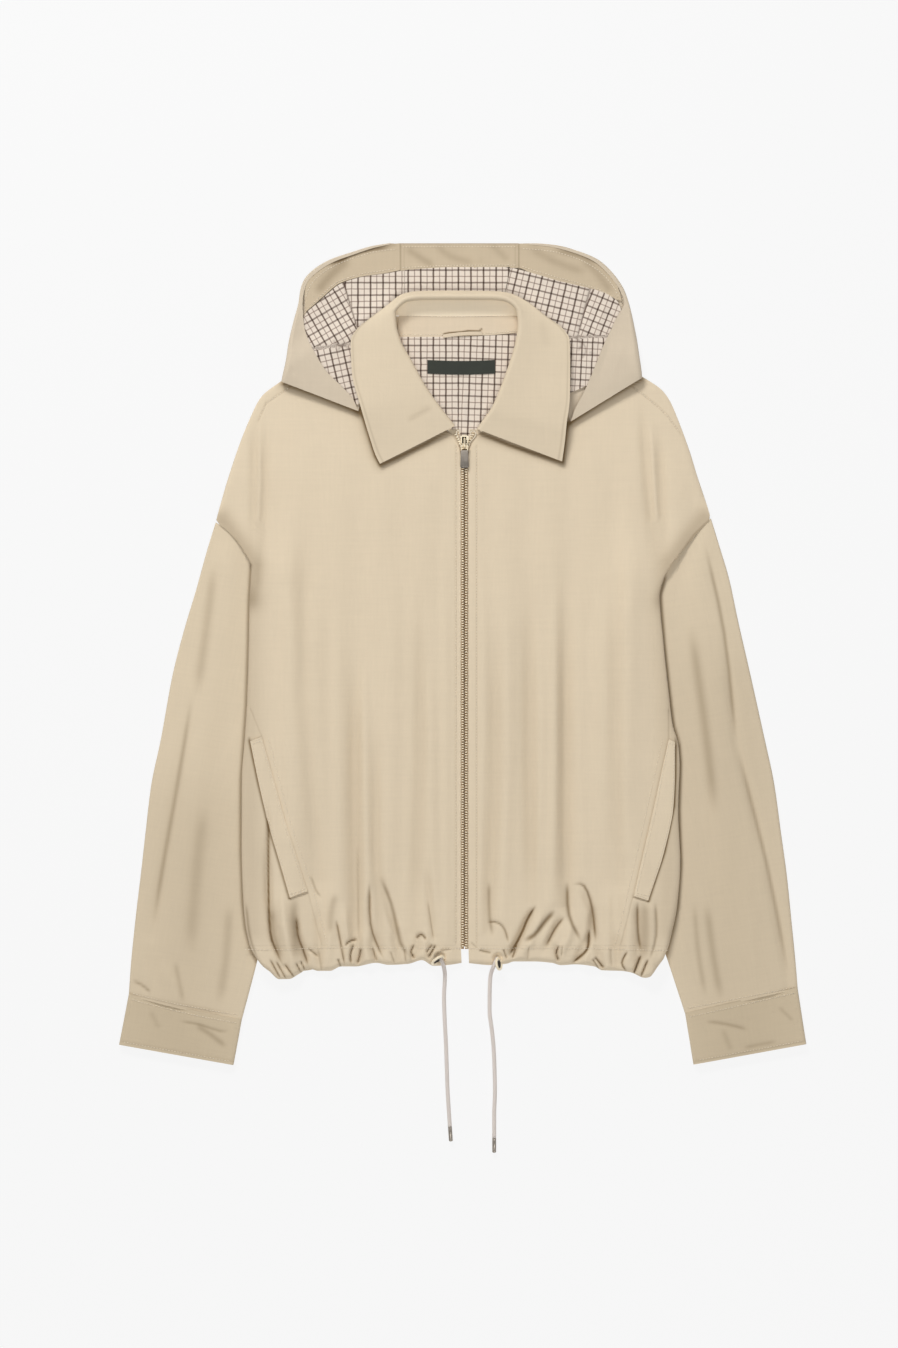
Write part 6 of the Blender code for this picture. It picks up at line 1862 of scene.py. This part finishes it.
# A dark disc in the ring: painted shade standing in for the shadowed inside of the eyelet.
def eyelet_hole(side):
    ring = EYELET_RINGS[side]
    clear_selection()
    bpy.ops.mesh.primitive_circle_add(vertices=32, radius=ring.radius * MM, fill_type="NGON")
    hole = bpy.context.object
    hole.name = f"eyelet_hole_{side}"
    solid = hole.modifiers.new("Wall", "SOLIDIFY")
    solid.thickness = HOLE_WALL * MM
    apply_modifiers(hole)
    return tilted(hole, ring)


def tape_curl(side):
    """The tape's rolled edge, curling over at its cut top."""
    route = finer_route(TAPE_CURLS[side], 6)
    high = TAPE_LEVEL + TAPE_WALL + CURL_LEVEL + np.linspace(0, CURL_RISE, len(route))
    return loose_tube(f"zip_tape_curl_{side}", place(route[:, 0], route[:, 1], high), CURL_RADIUS * MM, 8)


def slider_blocks(name, blocks):
    """Bevelled blocks on the slider's top plate, in one mesh."""
    points, faces = [], []
    for block in blocks:
        laid, sides = bevelled_block((block.width, block.depth, block.thick), BLOCK_BEVEL, 2)
        level = SLIDER_LEVEL + SLIDER_SIZE[2] + block.low + block.thick / 2
        middle = np.array((block.across - ZIP_ACROSS, SLIDER_MIDDLE - block.down, level))
        faces += [tuple(i + sum(map(len, points)) for i in face) for face in sides]
        points.append(laid + middle)
    return joined(name, (np.concatenate(points), faces), place(ZIP_ACROSS, [SLIDER_MIDDLE], [0.0]),
                  np.eye(3)[None] * MM)


def smooth_solid(node, kind, body):
    """A merged copy of a CAD solid with its hard edges eased."""
    source = bpy.data.objects[node]
    bm = bmesh.new()
    bm.from_mesh(source.data)
    bmesh.ops.remove_doubles(bm, verts=bm.verts, dist=0.00001)
    bmesh.ops.dissolve_limit(bm, angle_limit=radians(1.5), verts=bm.verts, edges=bm.edges)
    sharp = [edge for edge in bm.edges if edge.is_manifold and edge.calc_face_angle() > radians(EASED_FROM)]
    bmesh.ops.bevel(bm, geom=sharp, offset=EASED_EDGE * MM, segments=2, affect="EDGES", profile=0.5,
                    clamp_overlap=True)
    mesh = bpy.data.meshes.new(node + "_eased")
    bm.to_mesh(mesh)
    bm.free()
    piece = new_piece(node + "_eased", mesh)
    clear_selection()
    piece.select_set(True)
    bpy.context.view_layer.objects.active = piece
    bpy.ops.object.shade_smooth_by_angle(angle=radians(SOLID_SHARP))
    return take(piece, finish_of(kind), [node], body)


# ---------------------------------------------------------------- where the sewing runs

def on_front(side):
    return lambda across, down: front_height(side, across, down)


def tube_row(side, table, height, crown, creases, v):
    """A row of places across the top of a sleeve or cuff."""
    share = np.linspace(0.02, 0.97, 70)
    return place(*tube_top(side, table, height, crown, creases, share, np.full(70, v)))


def strip_row(table, u, level, start=0.0, end=1.0):
    """A row along a strip at a share of its width, on its upper face."""
    across, down = between(along(table, np.linspace(start, end, 90)), u)
    return place(across, down, level(across, down) + THIN)


def sewing_lines():
    """The rows of stitches that show, by the piece they are sewn on."""
    lines = {}
    for side in SIDES:
        sign = inward(side)
        height = on_front(side)
        lines[f"front_stitches_{side}"] = [plan_path(line.points, height) for line in FRONT_SEAMS[side]
                                           if line.sewn]
        seam = [(row.across + POCKET_STITCH * sign, row.down) for row in POCKET_SEAM[side]
                if row.down > POCKET_STITCH_FROM]
        lines[f"pocket_stitches_{side}"] = [plan_path(seam, height)]
        welt = welt_surface(side)
        v = np.linspace(0.01, 0.99, 80)
        for u in (0.1, 0.88):
            lines[f"pocket_stitches_{side}"].append(place(*welt(np.full(80, u), v)))
        for v in (0.008, 0.022, 0.978, 0.992):
            lines[f"pocket_stitches_{side}"].append(place(*welt(np.linspace(0, 1, 14), np.full(14, v))))
        cuff = side, CUFFS[side], CUFF_HEIGHT, 0.0, CUFF_CREASES[side]
        lines[f"cuff_stitches_{side}"] = [tube_row(*cuff, v) for v in (0.05, 0.93)]
        sleeve = side, SLEEVES[side], SLEEVE_HEIGHT, SLEEVE_CROWN, SLEEVE_CREASES[side]
        lines[f"cuff_stitches_{side}"].append(tube_row(*sleeve, 0.991))
        level = lining_level(HOOD_TOP_CREASES)
        lines[f"hood_stitches_{side}"] = [strip_row(HOOD_FACINGS[side], u, level, 0.02, 0.97)
                                          for u in (0.1, 0.9)]
    level = lining_level(HOOD_TOP_CREASES)
    lines["hood_stitches_centre"] = [strip_row(HOOD_FACINGS["centre"], u, level) for u in (0.1, 0.9)]
    lines["neck_stitches"] = [strip_row(NECK_FACING, u, neck_facing_level) for u in (0.06, 0.9)]
    v = np.linspace(0.004, 0.996, 600)
    run = COLLAR_STITCH / LEAF_REACH
    lines["collar_stitches"] = [place(*leaf_surface(np.full(600, 1 - run), v))]
    u = np.linspace(0.3, 1 - run, 40)
    lines["collar_stitches"] += [place(*leaf_surface(u, np.full(40, v))) for v in (0.004, 0.996)]
    return lines


# ---------------------------------------------------------------- what a user would change

def swatch(name, description, colour):
    return bpy.props.FloatVectorProperty(name=name, description=description, default=colour,
                                         subtype="COLOR", size=3, min=0, max=1)


def length(name, description, millimetres):
    return bpy.props.FloatProperty(name=name, description=description, default=millimetres * MM,
                                   subtype="DISTANCE", unit="LENGTH", min=0)


class JacketColours(bpy.types.PropertyGroup):
    """The jacket's colours, as linear red, green and blue."""

    twill: swatch("Front twill", "The twill of the fronts and back", (0.770, 0.645, 0.472))
    sleeve: swatch("Sleeve twill", "The twill of the sleeves and cuffs", (0.745, 0.622, 0.450))
    hood: swatch("Hood twill", "The twill of the hood's shell", (0.660, 0.558, 0.425))
    facing: swatch("Facing twill", "The twill inside the hood's opening and the neck", (0.600, 0.490, 0.345))
    collar: swatch("Collar twill", "The twill of the collar's fall", (0.745, 0.625, 0.458))
    # Brighter than the other twills: painted light that makes up for the shadow the collar's roll casts on
    # the stand.
    stand: swatch("Stand twill", "The twill of the collar's stand and the neck's facing", (1.0, 0.860, 0.650))
    neck: swatch("Neck facing twill", "The twill of the facing inside the neck", (0.735, 0.612, 0.455))
    # Darker than the sleeves' twill: painted shade for the light that falls off towards the bottom.
    cuff: swatch("Cuff twill", "The twill of the cuffs", (0.672, 0.556, 0.392))
    lining: swatch("Lining ground", "The check lining's pale ground", (0.840, 0.735, 0.625))
    bold_line: swatch("Bold lines", "The check's bold lines", (0.085, 0.045, 0.030))
    thin_line: swatch("Thin lines", "The check's thin lines", (0.200, 0.122, 0.092))
    label: swatch("Label", "The bare woven label", (0.026, 0.030, 0.022))
    tape: swatch("Zip tape", "The zip's woven tapes", (0.760, 0.640, 0.470))
    thread: swatch("Thread", "The sewing thread", (0.900, 0.800, 0.640))
    cord: swatch("Drawcord", "The braided drawcords", (0.830, 0.750, 0.690))
    brass: swatch("Zip metal", "The zip's slider", (0.930, 0.820, 0.620))
    tooth: swatch("Teeth", "The zip's teeth and the eyelets' rings", (1.0, 0.880, 0.660))
    gunmetal: swatch("Dark metal", "The pull tab and the drawcords' tips", (0.395, 0.350, 0.300))
    # The colour of the painted shade inside the eyelets and in the slider's slot.
    hole: swatch("Eyelet hole", "The dark inside of the eyelets", (0.030, 0.024, 0.018))
    floor: swatch("Floor", "The plain surface that the jacket lies on", (0.08, 0.08, 0.08))


class JacketSizes(bpy.types.PropertyGroup):
    """The sizes of the jacket's sewing, zip teeth and camera."""

    thread_radius: length("Thread radius", "Half the thickness of the sewing thread", 0.34)
    tooth_pitch: length("Tooth pitch", "The distance between two teeth on one tape", 2.5)
    stitch_gap: length("Stitch length", "The distance between two stitches in a row", 3.0)
    camera_height: length("Camera height", "How far above the surface the camera looks down from", 5000)


# ---------------------------------------------------------------- operators

def soft_light(name, place_at, size, power):
    """A large rectangular light that faces the jacket's middle."""
    bpy.ops.object.light_add(type="AREA", location=place_at)
    light = bpy.context.object
    light.name = name
    light.data.shape = "RECTANGLE"
    light.data.size, light.data.size_y = size
    light.data.energy = power
    light.rotation_euler = (-Vector(place_at)).to_track_quat("-Z", "Y").to_euler()
    return light


class JACKET_OT_stage(bpy.types.Operator):
    """Set the camera straight above, a pale floor and one large soft light from the top of the picture"""
    bl_idname = "jacket.stage"
    bl_label = "Stage"

    def execute(self, context):
        scene = context.scene
        height = scene.jacket_sizes.camera_height
        bpy.ops.object.camera_add(location=(VIEW_X, VIEW_Y, height), rotation=(0, 0, 0))
        camera = context.object
        camera.name = "camera"
        camera.data.sensor_fit = "VERTICAL"
        camera.data.sensor_height = SENSOR
        camera.data.lens = SENSOR * (height - VIEW_LEVEL) / VIEW_TALL
        camera.data.clip_end = 4 * height
        scene.camera = camera
        lights = [soft_light("key", KEY_AT, KEY_SIZE, KEY_POWER),
                  soft_light("fill", FILL_AT, FILL_SIZE, FILL_POWER)]
        world = bpy.data.worlds.new("studio")
        world.use_nodes = True
        world.node_tree.nodes["Background"].inputs["Color"].default_value = (1.0, 1.0, 1.0, 1)
        world.node_tree.nodes["Background"].inputs["Strength"].default_value = WORLD_STRENGTH
        scene.world = world
        scene.view_settings.view_transform = "Standard"
        clear_selection()
        bpy.ops.mesh.primitive_plane_add(size=12, location=(0, 0, FLOOR_LEVEL * MM))
        floor = context.object
        floor.name = "floor"
        floor.data.transform(floor.matrix_world)
        floor.matrix_world.identity()
        floor.data.materials.append(finish_of("floor"))
        return {"FINISHED"}


class JACKET_OT_drawcords(bpy.types.Operator):
    """Lay the two drawcords' free ends from their eyelets, each with its metal tip"""
    bl_idname = "jacket.drawcords"
    bl_label = "Drawcords"

    def execute(self, context):
        for side in SIDES:
            route = finer_route(cord_route(side))
            cord = loose_tube(f"drawcord_{side}", route, CORD_RADIUS * MM, 12)
            take(cord, finish_of("cord"), [f"drawcord_{side}"])
            tip = cord_tip(side)
            take(tip, finish_of("gunmetal"), [f"cord_tip_{side}"])
        return {"FINISHED"}


class JACKET_OT_fronts(bpy.types.Operator):
    """Lay the two fronts and the side fronts beyond the slanted pocket seams"""
    bl_idname = "jacket.fronts"
    bl_label = "Fronts"

    def execute(self, context):
        for side in SIDES:
            take(front(side), finish_of("twill"), [f"front_{side}"])
            take(side_front(side), finish_of("twill"), [f"side_front_{side}"])
        return {"FINISHED"}


class JACKET_OT_hem(bpy.types.Operator):
    """Gather the hem casing, front and back"""
    bl_idname = "jacket.hem"
    bl_label = "Hem casing"

    def execute(self, context):
        for side in SIDES:
            take(hem_front(side), finish_of("twill"), [f"hem_front_{side}"])
        take(back_panel("hem_back", BACK_HEM_SEAM + SEAM_GAP,
                        lambda across: hem_down("back", across) - HEM_TUCK, 120, 12),
             finish_of("twill"), ["hem_back"])
        return {"FINISHED"}


class JACKET_OT_back(bpy.types.Operator):
    """Lay the back"""
    bl_idname = "jacket.back"
    bl_label = "Back"

    def execute(self, context):
        take(back_panel("back", BACK_TOP, lambda across: BACK_HEM_SEAM, 60, 80), finish_of("twill"), ["back"])
        return {"FINISHED"}


class JACKET_OT_sleeves(bpy.types.Operator):
    """Lay the sleeves and cuffs, each a flattened tube"""
    bl_idname = "jacket.sleeves"
    bl_label = "Sleeves and cuffs"

    def execute(self, context):
        for side in SIDES:
            sleeve = flat_tube(f"sleeve_{side}", side, tucked(SLEEVES[side], 0.0, SLEEVE_TUCK), SLEEVE_HEIGHT,
                               SLEEVE_CROWN, 130, SLEEVE_CREASES[side])
            take(sleeve, finish_of("sleeve"), [f"sleeve_{side}"])
            cuff = flat_tube(f"cuff_{side}", side, tucked(CUFFS[side], CUFF_TUCK, CUFF_TUCK), CUFF_HEIGHT,
                             0.0, 40, CUFF_CREASES[side])
            take(cuff, finish_of("cuff"), [f"cuff_{side}"])
        return {"FINISHED"}


class JACKET_OT_hood(bpy.types.Operator):
    """Spread the hood: its shell, the facing of its opening and its check lining"""
    bl_idname = "jacket.hood"
    bl_label = "Hood"

    def execute(self, context):
        across, down, width, depth = HOOD_CENTRE

        def surface(u, v):
            return across + width * u, down + depth * v, 0 * u

        take(cloth("hood_centre", even(40), even(24), surface, THIN, outside=False), finish_of("hood"),
             ["hood_centre"])
        for side in SIDES:
            take(hood_side(side), finish_of("hood"), [f"hood_side_{side}"])
        for side in ("left", "centre", "right"):
            flip = side != "left"
            creases = LINING_CREASES.get(side, [])
            facing = strip(f"hood_facing_{side}", HOOD_FACINGS[side], 16, 120, lining_level(HOOD_TOP_CREASES),
                           flip=flip, tuck=(0.14 if side != "centre" else 0, 0.02), rise=FACING_RISE,
                           shade=lambda across, down: fold_shade(HOOD_TOP_CREASES, HOOD_SEAMS, across, down))
            take(facing, finish_of("facing"), [f"hood_facing_{side}"])
            lining = strip(f"hood_lining_{side}", HOOD_LININGS[side], *LINING_CELLS[side],
                           lining_level(creases), grain=turned_check(LINING_CHECK[side]), flip=flip,
                           tuck=(0.01, 0), shade=lambda across, down: fold_shade(creases, [], across, down))
            take(lining, finish_of("check"), [f"hood_lining_{side}"])
        return {"FINISHED"}


class JACKET_OT_collar(bpy.types.Operator):
    """Roll the collar, with its stand and what shows inside the neck"""
    bl_idname = "jacket.collar"
    bl_label = "Collar and neck"

    def execute(self, context):
        take(collar_leaf(), finish_of("collar"), ["collar_leaf"])
        stand = cloth("collar_stand", even(12), even(160), stand_surface, STAND_WALL, flip=True)
        take(stand, finish_of("stand"), ["collar_stand"])
        facing = strip("neck_facing", NECK_FACING, 30, 100, neck_facing_level, flip=True,
                       shade=lambda across, down: fold_shade([], NECK_SEAMS, across, down))
        take(facing, finish_of("neck"), ["neck_facing"])
        take(back_lining(), finish_of("check"), ["lining_back"])
        take(label(), finish_of("label"), ["label"])
        take(hanger_loop(), finish_of("neck"), ["hanger_loop"])
        return {"FINISHED"}


class JACKET_OT_pockets(bpy.types.Operator):
    """Lay the two slanted pocket welts"""
    bl_idname = "jacket.pockets"
    bl_label = "Pocket welts"

    def execute(self, context):
        for side in SIDES:
            take(pocket_welt(side), finish_of("twill"), [f"pocket_welt_{side}"])
        return {"FINISHED"}


class JACKET_OT_zip(bpy.types.Operator):
    """Run the zip: its tapes, teeth and slider, and the pull tab that swings on it"""
    bl_idname = "jacket.zip"
    bl_label = "Zip"

    def execute(self, context):
        for side in SIDES:
            take(zip_tape(side), finish_of("tape"), [f"zip_tape_{side}"])
            take(open_teeth(side), finish_of("tooth"))
            take(tape_curl(side), finish_of("thread"))
        pitch = context.scene.jacket_sizes.tooth_pitch / MM
        take(zip_teeth(pitch), finish_of("tooth"), ["zip_chain"])
        for name, (kind, blocks) in SLIDER_BLOCKS.items():
            take(slider_blocks(name, blocks), finish_of(kind))
        smooth_solid("zip_slider", "brass", BODY)
        smooth_solid("zip_pull", "tab", PULL)
        return {"FINISHED"}


class JACKET_OT_eyelets(bpy.types.Operator):
    """Set the two eyelets in the casing"""
    bl_idname = "jacket.eyelets"
    bl_label = "Eyelets"

    def execute(self, context):
        for side in SIDES:
            take(eyelet(side), finish_of("tooth"), [f"eyelet_{side}"])
            take(eyelet_hole(side), finish_of("hole"))
        return {"FINISHED"}


class JACKET_OT_sewing(bpy.types.Operator):
    """Sew the rows of stitches that show"""
    bl_idname = "jacket.sewing"
    bl_label = "Sewing"

    def execute(self, context):
        sizes = context.scene.jacket_sizes
        for name, lines in sewing_lines().items():
            take(sew(name, lines, sizes.stitch_gap / MM, sizes.thread_radius / MM), finish_of("thread"))
        return {"FINISHED"}


MAKERS = (JACKET_OT_stage, JACKET_OT_drawcords, JACKET_OT_back, JACKET_OT_fronts, JACKET_OT_hem,
          JACKET_OT_sleeves, JACKET_OT_hood, JACKET_OT_collar, JACKET_OT_pockets, JACKET_OT_zip,
          JACKET_OT_eyelets, JACKET_OT_sewing)


class JACKET_PT_pieces(bpy.types.Panel):
    """The jacket's pieces, colours and sizes"""
    bl_label = "Hooded zip jacket"
    bl_space_type = "VIEW_3D"
    bl_region_type = "UI"
    bl_category = "Jacket"

    def draw(self, context):
        column = self.layout.column()
        for kind in MAKERS:
            column.operator(kind.bl_idname)
        for group in (context.scene.jacket_colours, context.scene.jacket_sizes):
            for name in group.__annotations__:
                column.prop(group, name)


def register():
    for kind in (JacketColours, JacketSizes, *MAKERS, JACKET_PT_pieces):
        bpy.utils.register_class(kind)
    bpy.types.Scene.jacket_colours = bpy.props.PointerProperty(type=JacketColours)
    bpy.types.Scene.jacket_sizes = bpy.props.PointerProperty(type=JacketSizes)


def unregister():
    del bpy.types.Scene.jacket_sizes, bpy.types.Scene.jacket_colours
    for kind in reversed((JacketColours, JacketSizes, *MAKERS, JACKET_PT_pieces)):
        bpy.utils.unregister_class(kind)


def main():
    register()
    bpy.ops.jacket.stage()
    bpy.ops.jacket.drawcords()
    bpy.ops.jacket.back()
    bpy.ops.jacket.fronts()
    bpy.ops.jacket.hem()
    bpy.ops.jacket.sleeves()
    bpy.ops.jacket.hood()
    bpy.ops.jacket.collar()
    bpy.ops.jacket.pockets()
    bpy.ops.jacket.zip()
    bpy.ops.jacket.eyelets()
    bpy.ops.jacket.sewing()


if __name__ == "__main__":
    main()
